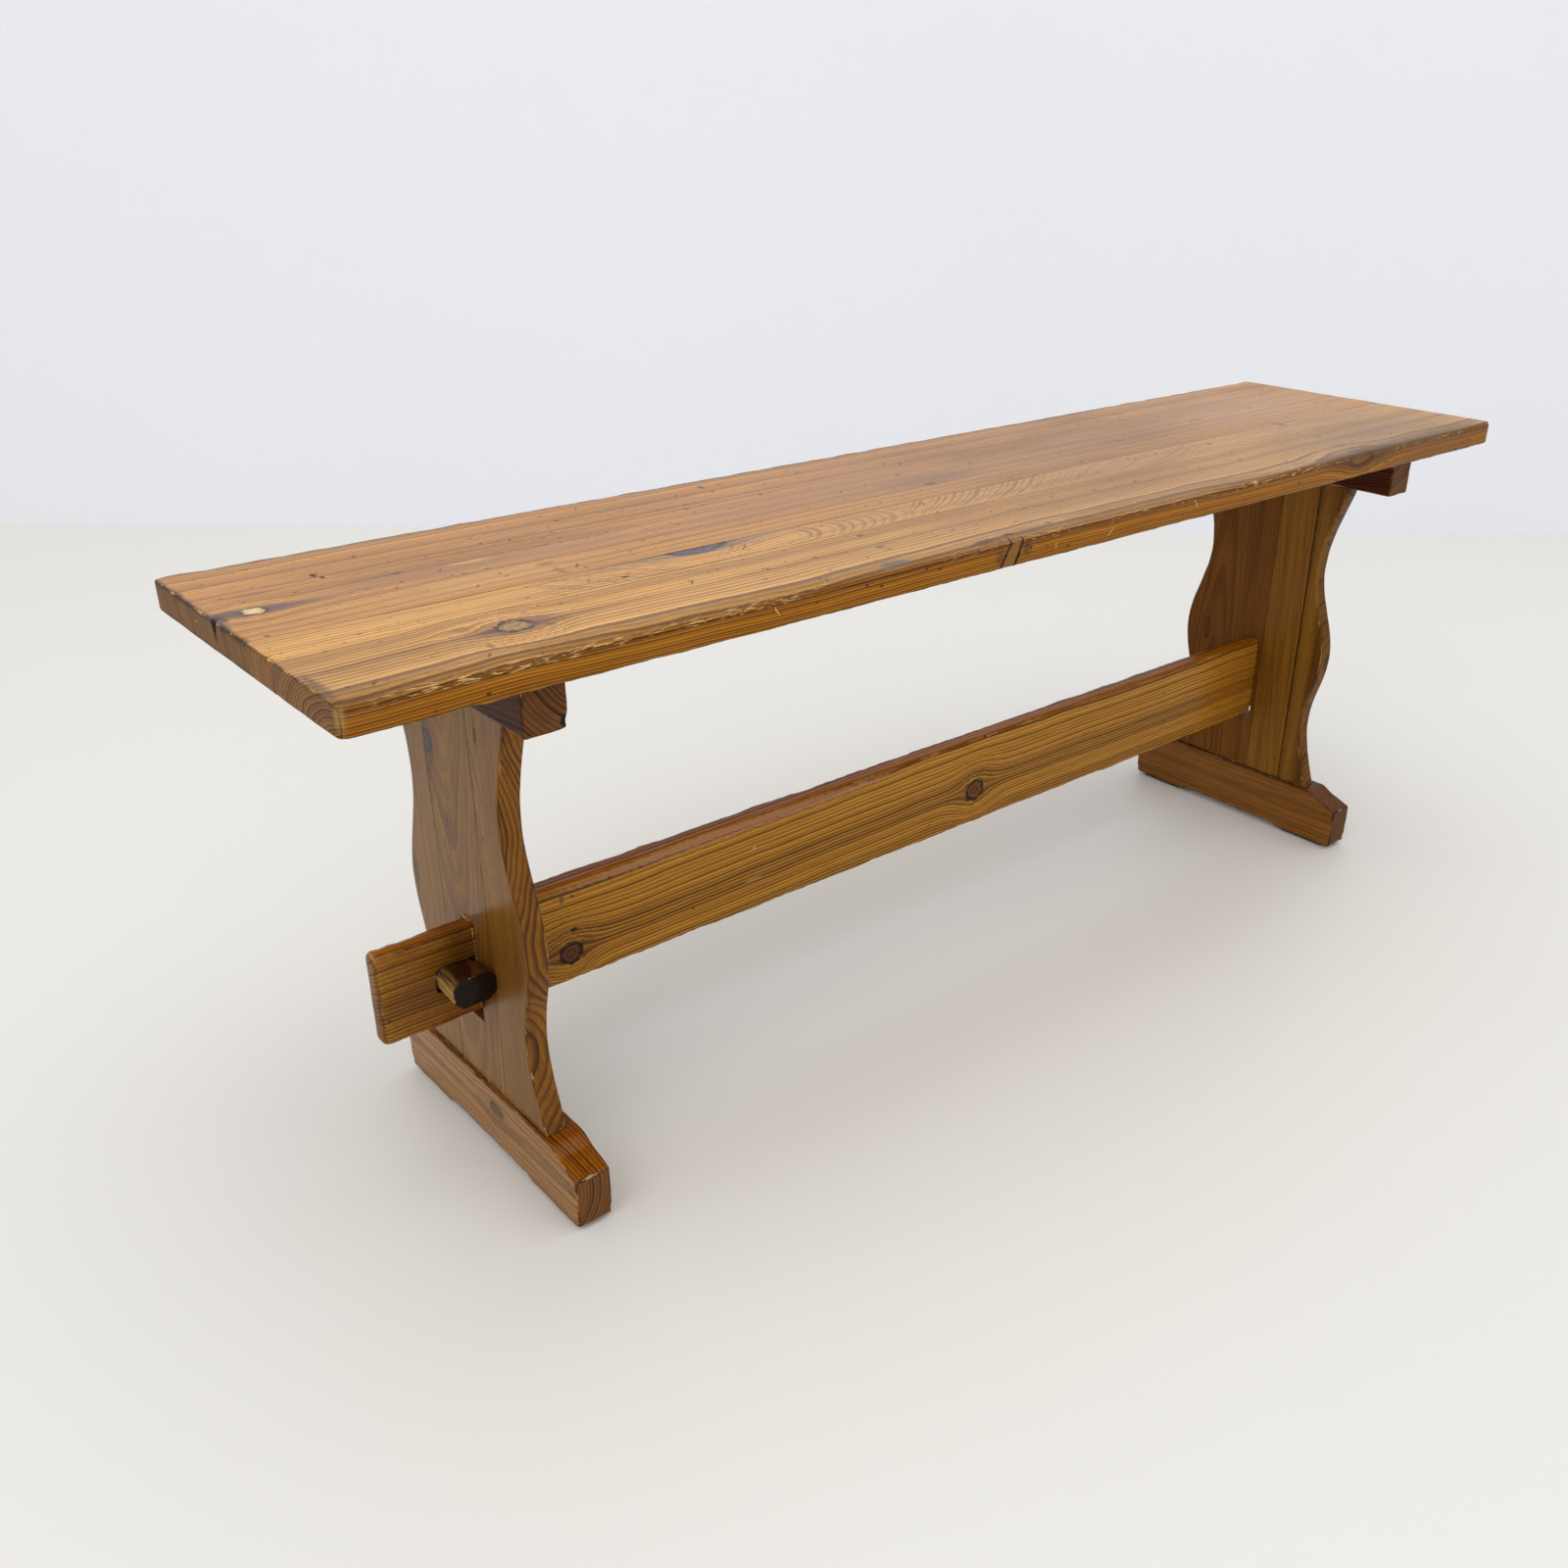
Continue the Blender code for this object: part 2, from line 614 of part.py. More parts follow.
def key_slot(side_name, side):
    """The cutter for a key's slot, whose outer end has the rounded corners of a bored hole."""
    widest = -STRETCHER_THICKNESS / 2
    outer = OUTER_FACE_X + FIT_GAP + key_width_at(widest) + KEY_SLOT_END_ROOM
    inner = OUTER_FACE_X - KEY_SLOT_INSIDE_UPRIGHT
    low = KEY_BOTTOM - FIT_GAP
    high = KEY_BOTTOM + key_height_at(widest) + KEY_SLOT_HEADROOM
    radius = KEY_SLOT_RADIUS
    points = [(inner, low)]
    for start, centre_up in ((-math.pi / 2, low + radius), (0, high - radius)):
        for step in range(KEY_SLOT_STEPS + 1):
            angle = start + math.pi / 2 * step / KEY_SLOT_STEPS
            along = outer - radius + radius * math.cos(angle)
            points.append((along, centre_up + radius * math.sin(angle)))
    points.append((inner, high))
    points = [(side * along, up) for along, up in points]
    name = side_name + "_key_slot"
    depth = STRETCHER_THICKNESS + 2 * CUT_OVERRUN
    return as_cutter(place(outline_mesh(name, points, depth), name, None, turn=LENGTHWISE_TURN))


def mortise(side_name, side):
    """The cutter for the mortise that the tenon passes through, open below the tenon."""
    size = (
        UPRIGHT_THICKNESS + 2 * CUT_OVERRUN,
        2 * MORTISE_HALF_WIDTH,
        MORTISE_TOP - MORTISE_BOTTOM,
    )
    centre = (side * TRESTLE_X, 0, (MORTISE_TOP + MORTISE_BOTTOM) / 2)
    name = side_name + "_mortise"
    return as_cutter(place(box_mesh(name, size), name, None, centre))


def bore(name, radius, low, high, along, across):
    """The cutter for an upright round hole between two heights."""
    centre = (along, across, (low + high) / 2)
    return as_cutter(place(rod_mesh(name, radius, high - low), name, None, centre))


def make_cutters():
    """All the holes, so that each piece can be cut by what passes through it."""
    shank_hole = SCREW_SHANK_RADIUS + FIT_GAP
    dowel_hole = DOWEL_RADIUS + FIT_GAP
    half_depth = DOWEL_LENGTH / 2 + DOWEL_END_ROOM
    for side_name, side in SIDES.items():
        MORTISES[side_name] = mortise(side_name, side)
        KEY_SLOTS[side_name] = key_slot(side_name, side)
        trestle_x = side * TRESTLE_X
        screw_x = trestle_x + CLEAT_X[side_name]
        for end_name, end in ENDS.items():
            which = side_name, end_name
            place_name = "_".join(which)
            low, high = CLEAT_BOTTOM - CUT_OVERRUN, CLEAT_TOP + CUT_OVERRUN
            name = "shank_hole_" + place_name
            SCREW_HOLES[which] = bore(name, shank_hole, low, high, screw_x, end * SCREW_Y)
            low, high = SEAT_BOTTOM - CUT_OVERRUN, SEAT_BOTTOM + SCREW_IN_SEAT + SCREW_END_ROOM
            name = "pilot_hole_" + place_name
            PILOT_HOLES[which] = bore(name, shank_hole, low, high, screw_x, end * SCREW_Y)
            across = end * DOWEL_SPACING / 2
            for joint_name, joint in DOWELLED_HEIGHTS.items():
                low, high = joint - half_depth, joint + half_depth
                name = f"{joint_name}_dowel_hole_{place_name}"
                hole = bore(name, dowel_hole, low, high, trestle_x, across)
                DOWEL_HOLES[side_name, joint_name, end_name] = hole


clear_scene()
BENCH = new_collection("farmhouse_bench")
CUTTERS = new_collection("cutters")
MORTISES, KEY_SLOTS, SCREW_HOLES, PILOT_HOLES, DOWEL_HOLES = {}, {}, {}, {}, {}
make_cutters()

SEAT_PINE = finish("seat_pine", (0.56, 0.30, 0.12), 0.38)
TRESTLE_PINE = finish("trestle_pine", (0.42, 0.20, 0.06), 0.30)
STRETCHER_PINE = finish("stretcher_pine", (0.40, 0.18, 0.04), 0.28)
KEY_PINE = finish("key_pine", (0.34, 0.20, 0.08), 0.55)
DOWEL_WOOD = finish("dowel_wood", (0.60, 0.42, 0.24), 0.60)
PAD_FELT = finish("pad_felt", (0.02, 0.02, 0.02), 0.90)
SCREW_STEEL = finish("screw_steel", (0.42, 0.38, 0.32), 0.45, 1.0)

edge_board("front", FRONT_SEAM_Y, front_edge_section, SEAT_PINE)
middle_board(SEAT_PINE)
edge_board("back", BACK_SEAM_Y, back_edge_section, SEAT_PINE)
stretcher(STRETCHER_PINE)
for SIDE_NAME, SIDE in SIDES.items():
    TRESTLE = bpy.data.objects.new(SIDE_NAME + "_trestle", None)
    TRESTLE.location = (SIDE * TRESTLE_X, 0, 0)
    BENCH.objects.link(TRESTLE)
    upright(SIDE_NAME, TRESTLE_PINE, TRESTLE)
    foot(SIDE_NAME, TRESTLE_PINE, TRESTLE)
    pads(SIDE_NAME, PAD_FELT, TRESTLE)
    cleat(SIDE_NAME, TRESTLE_PINE, TRESTLE)
    screws(SIDE_NAME, SCREW_STEEL, TRESTLE)
    dowels(SIDE_NAME, DOWEL_WOOD, TRESTLE)
    key(SIDE_NAME, SIDE, KEY_PINE)
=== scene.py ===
"""Farmhouse bench in varnished pine: a worn plank seat on two wavy trestles, tied by a keyed stretcher.

Metres, +Z up, X along the bench, the front at -Y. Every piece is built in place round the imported
solids: boards are lattices over a box whose points are eased, waved and dented, and what repeats
is made by Geometry Nodes. The wood is one growth of year rings in space, so faces and end grain agree.
"""

import sys
import logging
import math
from dataclasses import dataclass, replace
from enum import Enum
from typing import Any, Callable

import bmesh
import bpy
import numpy as np
from mathutils import Matrix, Vector


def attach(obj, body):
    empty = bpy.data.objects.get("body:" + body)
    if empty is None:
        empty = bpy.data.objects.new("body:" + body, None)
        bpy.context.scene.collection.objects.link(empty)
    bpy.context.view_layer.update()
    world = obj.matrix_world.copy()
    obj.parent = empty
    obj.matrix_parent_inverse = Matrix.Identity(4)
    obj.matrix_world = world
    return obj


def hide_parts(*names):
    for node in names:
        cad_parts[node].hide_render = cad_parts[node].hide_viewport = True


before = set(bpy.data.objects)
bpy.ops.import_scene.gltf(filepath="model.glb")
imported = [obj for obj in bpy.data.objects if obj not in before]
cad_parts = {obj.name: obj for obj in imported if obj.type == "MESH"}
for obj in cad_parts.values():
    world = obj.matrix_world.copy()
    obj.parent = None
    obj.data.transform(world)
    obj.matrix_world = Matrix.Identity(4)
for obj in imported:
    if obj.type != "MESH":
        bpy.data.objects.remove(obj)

LOG = logging.getLogger("bench")
Point = tuple[float, float, float]
Colour = tuple[int, int, int]
Array = np.ndarray
Mesh = bpy.types.Mesh
Piece = bpy.types.Object
Material = bpy.types.Material
Group = bpy.types.NodeTree

# Sizes that several pieces share, in metres
GAP = 0.0003
HALF_GAP = GAP / 2
RING_SIDES = 20
SHARP_DEGREES = 50

# Names and places that several pieces share
ORIGIN = (0.0, 0.0, 0.0)
MASKS = ("arris", "end", "up", "front", "worn")
ENDS = ("front", "back")
SIDES = ("left", "right")
GLUED = {"front": ((1, 1),), "middle": ((1, -1), (1, 1)), "back": ((1, -1),)}

# Where the seat, screws and dowels lie, in metres
SEAT_TOP = 0.45
SEAT_THICKNESS = 0.022
SCREW_Y = 0.122
SCREW_RADIUS = 0.0021
DOWEL_Y = 0.068
DOWEL_RADIUS = 0.004
DOWEL_LENGTH = 0.044
DRILLED_PAST = 0.0005
CUT_PAST = 0.003
CLOSEST_ROWS = 0.00012
ARRIS_REACH = 0.007
END_REACH = 0.0012
END_CORNER = 0.004

# Shares and scales of the marks in the varnished wood
PITH_SHARE = 0.6
RUBBED_SHARE = 0.75
RUBBED_RAGGEDNESS = 0.8
SPECK_SHARE = 0.75
NICK_SHARE = 0.72
NICK_SCALE = 125.0
NICK_TURN = -0.95
PIT_SHARE = 0.8
PORE_SHADE = 0.16
VARNISH_IOR = 1.47


class Body(Enum):
    """The bodies that pieces ride on."""

    BENCH = "bench"
    LEFT_KEY = "left_key"
    RIGHT_KEY = "right_key"


class Slot(Enum):
    """The finishes that the pieces take."""

    SEAT = "seat_pine"
    TRESTLE = "trestle_pine"
    STRETCHER = "stretcher_pine"
    KEY = "key_pine"
    DOWEL = "dowel_wood"
    FELT = "pad_felt"
    STEEL = "screw_steel"


class Grain(Enum):
    """The way the grain runs, as the order of axes: along, then the two across."""

    ALONG_BENCH = (0, 1, 2)
    ACROSS_BENCH = (1, 2, 0)
    UPRIGHT = (2, 0, 1)


class Side(Enum):
    """The two trestles: which way from the middle of the bench each lies."""

    LEFT = -1
    RIGHT = 1


# Numbers and lattices


def linear(colour: Colour) -> tuple[float, float, float, float]:
    """A colour written in 0 to 255 as Blender's linear one.

    Args:
        colour: red, green and blue as a screen shows them.

    Returns:
        Linear red, green, blue and alpha.
    """
    shares = [c / 255 for c in colour]
    return (*[c / 12.92 if c <= 0.04045 else ((c + 0.055) / 1.055) ** 2.4 for c in shares], 1.0)


def eased(value: Array, low: float, high: float) -> Array:
    """A smooth rise from 0 at low to 1 at high.

    Args:
        value: the numbers to rate.
        low: where the rise begins.
        high: where it ends.

    Returns:
        The shares, as many as the numbers.
    """
    share = np.clip((value - low) / (high - low), 0, 1)
    return share * share * (3 - 2 * share)


def spaced(
    low: float, high: float, step: float, near: tuple[float, ...] = (), extra: tuple[float, ...] = (),
) -> Array:
    """Places from low to high about a step apart, with closer ones by both ends.

    Args:
        low: the first place.
        high: the last place.
        step: the usual distance between two places.
        near: distances from each end that get a place too.
        extra: more places.

    Returns:
        The places in order.
    """
    margin = max(near, default=0.0)
    count = max(1, round((high - low - 2 * margin) / step))
    places = list(np.linspace(low + margin, high - margin, count + 1)) + [low, high]
    places += [low + n for n in near] + [high - n for n in near]
    places += [e for e in extra if low < e < high]
    places = sorted(places)
    kept = [places[0]]
    for place in places[1:]:
        if place - kept[-1] > CLOSEST_ROWS:
            kept.append(place)
    kept[-1] = high
    return np.array(kept)


class Ripple:
    """Smooth unevenness from -1 to 1: a sum of sines with fixed random ways."""

    def __init__(self, seed: int, lengths: Point, terms: int = 18) -> None:
        """Draws the waves.

        Args:
            seed: picks the pattern.
            lengths: the usual wave length along X, Y and Z.
            terms: how many waves are added up.
        """
        draw = np.random.RandomState(seed)
        self.ways = draw.uniform(-1, 1, (terms, 3)) * 2 * math.pi / np.array(lengths)
        self.phases = draw.uniform(0, 2 * math.pi, terms)

    def __call__(self, points: Array) -> Array:
        """The height of the pattern at each point."""
        return np.sin(points @ self.ways.T + self.phases).sum(1) / math.sqrt(len(self.phases)) / 1.6


@dataclass(frozen=True)
class Dent:
    """A soft hollow, knock or lump in a surface."""

    centre: Point
    size: Point
    push: Point

    def moved(self, points: Array) -> Array:
        """The points after the knock."""
        away = (points - np.array(self.centre)) / np.array(self.size)
        return points + np.exp(-(away**2).sum(1))[:, None] * np.array(self.push)


class Block:
    """A piece of wood: a lattice of points over the six faces of a box, which is then worked."""

    def __init__(
        self, lines: tuple[Array, Array, Array], grain: Grain, glued: tuple[tuple[int, int], ...] = (),
    ) -> None:
        """Lays the lattice out.

        Args:
            lines: the places of the lattice along X, Y and Z.
            grain: the way the piece runs.
            glued: (axis, side) of each face that is glued and keeps its sharp arrises.
        """
        self.grain = grain
        self.low = np.array([line[0] for line in lines])
        self.high = np.array([line[-1] for line in lines])
        counts = [len(line) for line in lines]
        shell = np.ones(counts, bool)
        shell[1:-1, 1:-1, 1:-1] = False
        ids = np.full(counts, -1, np.int64)
        ids[shell] = np.arange(shell.sum())
        found = np.nonzero(shell)
        self.raw = np.stack([line[i] for line, i in zip(lines, found)], 1)
        self.points = self.raw.copy()
        sides = [
            (ids[:, :, -1], False), (ids[:, :, 0], True), (ids[:, 0, :], False),
            (ids[:, -1, :], True), (ids[-1, :, :], False), (ids[0, :, :], True),
        ]
        quads = []
        for sheet, turned in sides:
            quad = np.stack(
                [sheet[:-1, :-1], sheet[1:, :-1], sheet[1:, 1:], sheet[:-1, 1:]], -1,
            ).reshape(-1, 4)
            quads.append(quad[:, ::-1] if turned else quad)
        self.faces = np.concatenate(quads)
        self.glued = glued
        below, above = self.raw - self.low, self.high - self.raw
        for axis, side in glued:
            (above if side > 0 else below)[:, axis] = 1.0
        self.away = np.minimum(below, above)
        self.edge_distance = np.sort(self.away, axis=1)[:, 1]
        self.end_distance = self.away[:, grain.value[0]]

    def core(self, radius: Array) -> tuple[Array, Array]:
        """The box that stays when each free face draws in by the radius.

        Args:
            radius: one number for each point.

        Returns:
            Its low and high corners for each point.
        """
        low = self.low + radius[:, None]
        high = self.high - radius[:, None]
        for axis, side in self.glued:
            if side > 0:
                high[:, axis] = self.high[axis]
            else:
                low[:, axis] = self.low[axis]
        return low, high

    def ease(self, radius: float | Array, power: float = 2.0) -> "Block":
        """Eases the four arrises that run with the grain.

        Args:
            radius: how far the arris reaches, for all or for each point.
            power: 2 for a round arris and 1 for a flat chamfer.

        Returns:
            The block.
        """
        reach = np.broadcast_to(np.asarray(radius, float), (len(self.raw),))
        low, high = self.core(reach)
        across = list(self.grain.value[1:])
        inner = np.clip(self.raw, low, high)[:, across]
        out = self.raw[:, across] - inner
        most = np.abs(out).max(1)
        length = (np.abs(out) ** power).sum(1) ** (1 / power)
        share = np.where(length > 1e-12, most / np.maximum(length, 1e-12), 1)
        self.points[:, across] = inner + out * share[:, None]
        return self

    def ease_ends(self, radius: float | Array) -> "Block":
        """Eases the arrises round both ends.

        Args:
            radius: how far the arris reaches, for all or for each point.

        Returns:
            The block.
        """
        reach = np.broadcast_to(np.asarray(radius, float), (len(self.raw),))
        along, across = self.grain.value[0], list(self.grain.value[1:])
        low, high = self.core(np.maximum(reach, END_CORNER))
        out = (self.raw - np.clip(self.raw, low, high))[:, across]
        out = out / np.maximum(np.linalg.norm(out, axis=1), 1e-9)[:, None]
        depth = np.minimum(self.away[:, across].min(1), reach)
        back = np.minimum(self.end_distance, reach)
        length = np.sqrt((reach - depth) ** 2 + (reach - back) ** 2)
        by_arris = (depth < reach) & (back < reach)
        length = np.where(by_arris, length, 1)
        inward = np.where(by_arris, reach - reach * (reach - depth) / length - depth, 0)
        endward = np.where(by_arris, reach - reach * (reach - back) / length - back, 0)
        side = np.where(self.raw[:, along] > (self.low[along] + self.high[along]) / 2, 1, -1)
        self.points[:, across] -= out * inward[:, None]
        self.points[:, along] -= side * endward
        return self

    def normals(self) -> Array:
        """The way out at each point.

        Returns:
            One unit vector for each point.
        """
        a, b, c, d = (self.points[self.faces[:, i]] for i in range(4))
        way = np.cross(c - a, d - b)
        total = np.zeros_like(self.points)
        for i in range(4):
            np.add.at(total, self.faces[:, i], way)
        return total / np.maximum(np.linalg.norm(total, axis=1), 1e-12)[:, None]

    def unevenness(self, seed: int, depth: float, long: float, short: float) -> "Block":
        """Hand-planed unevenness that only sinks below the true face.

        Args:
            seed: picks the pattern.
            depth: how deep it goes.
            long: its wave length with the grain.
            short: its wave length across.

        Returns:
            The block.
        """
        lengths = [short, short, short]
        lengths[self.grain.value[0]] = long
        height = Ripple(seed, tuple(lengths))(self.points)
        self.points += self.normals() * (np.clip(height, -1, 1) - 1)[:, None] * depth / 2
        return self

    def knocked(self, dents: tuple[Dent, ...]) -> "Block":
        """The block after its dents and lumps.

        Args:
            dents: the dents and lumps, in order.

        Returns:
            The block.
        """
        for dent in dents:
            self.points = dent.moved(self.points)
        return self

    def mesh(self, name: str, masks: dict[str, Array] | None = None) -> Mesh:
        """The finished mesh with the masks that its finish reads.

        Args:
            name: the mesh's name.
            masks: more masks by name, one number for each point.

        Returns:
            The mesh, with arris, end and up among its masks.
        """
        made = bpy.data.meshes.new(name)
        made.from_pydata(self.points.tolist(), [], self.faces.tolist())
        normals = self.normals()
        told = {
            "arris": np.clip(1 - self.edge_distance / ARRIS_REACH, 0, 1),
            "end": np.clip(1 - self.end_distance / END_REACH, 0, 1),
            "up": np.clip(normals[:, 2], 0, 1),
            "front": np.abs(normals[:, 1]),
            **(masks or {}),
        }
        for mask, values in told.items():
            layer = made.attributes.new(mask, "FLOAT", "POINT")
            layer.data.foreach_set("value", values.astype(np.float32))
        smooth(made)
        return made


def smooth(mesh: Mesh) -> None:
    """Shades a mesh smooth up to the angle of a true arris."""
    mesh.shade_smooth()
    mesh.set_sharp_from_angle(angle=math.radians(SHARP_DEGREES))


def add_object(mesh: Mesh, name: str, material: Material | None) -> Piece:
    """The mesh as an object at the origin.

    Args:
        mesh: its shape, in place.
        name: its name.
        material: its finish.

    Returns:
        The object.
    """
    made = bpy.data.objects.new(name, mesh)
    bpy.context.scene.collection.objects.link(made)
    if material is not None:
        mesh.materials.clear()
        mesh.materials.append(material)
    return made


def settled(piece: Piece) -> Piece:
    """The object with its modifiers worked into its mesh.

    Args:
        piece: the object.

    Returns:
        The same object.
    """
    bpy.context.view_layer.update()
    graph = bpy.context.evaluated_depsgraph_get()
    worked = bpy.data.meshes.new_from_object(
        piece.evaluated_get(graph), preserve_all_data_layers=True, depsgraph=graph,
    )
    piece.modifiers.clear()
    piece.data = worked
    return piece


def cut_with(piece: Piece, cutters: list[Mesh]) -> Piece:
    """Cuts holes through a piece.

    Args:
        piece: what is cut.
        cutters: closed shapes that take wood away.

    Returns:
        The piece.
    """
    work = bmesh.new()
    for cutter in cutters:
        work.from_mesh(cutter)
    joined = bpy.data.meshes.new(piece.name + "_holes")
    work.to_mesh(joined)
    work.free()
    tool = add_object(joined, joined.name, None)
    cut = piece.modifiers.new("holes", "BOOLEAN")
    cut.operation, cut.solver, cut.object = "DIFFERENCE", "EXACT", tool
    settled(piece)
    bpy.data.objects.remove(tool)
    smooth(piece.data)
    return piece


def rod(centre: Point, axis: int, radius: float, length: float, sides: int = RING_SIDES) -> Mesh:
    """A plain round cutter.

    Args:
        centre: its middle.
        axis: the axis that it lies along, 0 to 2.
        radius: its radius.
        length: its length.
        sides: its number of sides.

    Returns:
        The closed mesh.
    """
    turn = [Matrix.Rotation(math.pi / 2, 4, "Y"), Matrix.Rotation(math.pi / 2, 4, "X"), Matrix()][axis]
    work = bmesh.new()
    place = Matrix.Translation(centre) @ turn
    bmesh.ops.create_cone(
        work, cap_ends=True, segments=sides, radius1=radius, radius2=radius, depth=length, matrix=place,
    )
    made = bpy.data.meshes.new("rod")
    work.to_mesh(made)
    work.free()
    return made


def prism(outline: list[tuple[float, float]], y_low: float, y_high: float) -> Mesh:
    """An upright outline in X and Z drawn out along Y.

    Args:
        outline: its points in order.
        y_low: where it begins.
        y_high: where it ends.

    Returns:
        The closed mesh.
    """
    work = bmesh.new()
    near = [work.verts.new((x, y_low, z)) for x, z in outline]
    far = [work.verts.new((x, y_high, z)) for x, z in outline]
    work.faces.new(near)
    work.faces.new(far[::-1])
    for i in range(len(near)):
        j = (i + 1) % len(near)
        work.faces.new((near[j], near[i], far[i], far[j]))
    bmesh.ops.recalc_face_normals(work, faces=work.faces)
    made = bpy.data.meshes.new("prism")
    work.to_mesh(made)
    work.free()
    return made


def report(piece: Piece, body: Body, nodes: list[str]) -> Piece:
    """Hangs a piece on its body, hides the solids it stands for, and logs it.

    Args:
        piece: the finished piece.
        body: the body it rides on.
        nodes: the solids it stands for.

    Returns:
        The piece.
    """
    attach(piece, body.value)
    if nodes:
        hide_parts(*nodes)
    low = [min(v.co[i] for v in piece.data.vertices) for i in range(3)]
    high = [max(v.co[i] for v in piece.data.vertices) for i in range(3)]
    span = " x ".join(f"{(b - a) * 1000:.1f}" for a, b in zip(low, high))
    LOG.info("%s: %s mm, %d faces, on %s", piece.name, span, len(piece.data.polygons), body.value)
    return piece


# Node trees


def signed(operation: str, turned: bool = False) -> Callable[["Wire", Any], "Wire"]:
    """What a sign between a wire and a number or another wire does.

    Args:
        operation: the node's operation.
        turned: whether the wire stands after the sign.

    Returns:
        The method for the sign.
    """
    def work(wire: "Wire", other: Any) -> "Wire":
        """The wire of the node that does the sum."""
        return wire.tree.sum(operation, other, wire) if turned else wire.tree.sum(operation, wire, other)
    return work


class Wire:
    """The output of a node; signs between wires add the nodes that do the sums."""

    def __init__(self, tree: "Tree", socket: bpy.types.NodeSocket) -> None:
        """Takes the output and the tree that it is in."""
        self.tree = tree
        self.socket = socket

    __add__, __radd__ = signed("ADD"), signed("ADD", True)
    __sub__, __rsub__ = signed("SUBTRACT"), signed("SUBTRACT", True)
    __mul__, __rmul__ = signed("MULTIPLY"), signed("MULTIPLY", True)
    __truediv__ = signed("DIVIDE")

    def scaled(self, scale: Any) -> "Wire":
        """A vector or colour times a number."""
        return self.tree.vector("SCALE", self, scale=scale)


class Node:
    """A node whose outputs are read, and whose inputs are written, by name or place."""

    def __init__(self, tree: "Tree", node: bpy.types.Node) -> None:
        """Takes the node and the tree that it is in."""
        self.tree = tree
        self.node = node

    def __getitem__(self, key: str | int) -> Wire:
        """One of the node's outputs."""
        return Wire(self.tree, self.node.outputs[key])

    def __setitem__(self, key: str | int, value: Any) -> None:
        """Links a wire to one of the inputs, or writes a value into it.

        Args:
            key: the input's name or place.
            value: a wire or a plain value.
        """
        if isinstance(value, Wire):
            self.tree.tree.links.new(value.socket, self.node.inputs[key])
        else:
            self.node.inputs[key].default_value = value


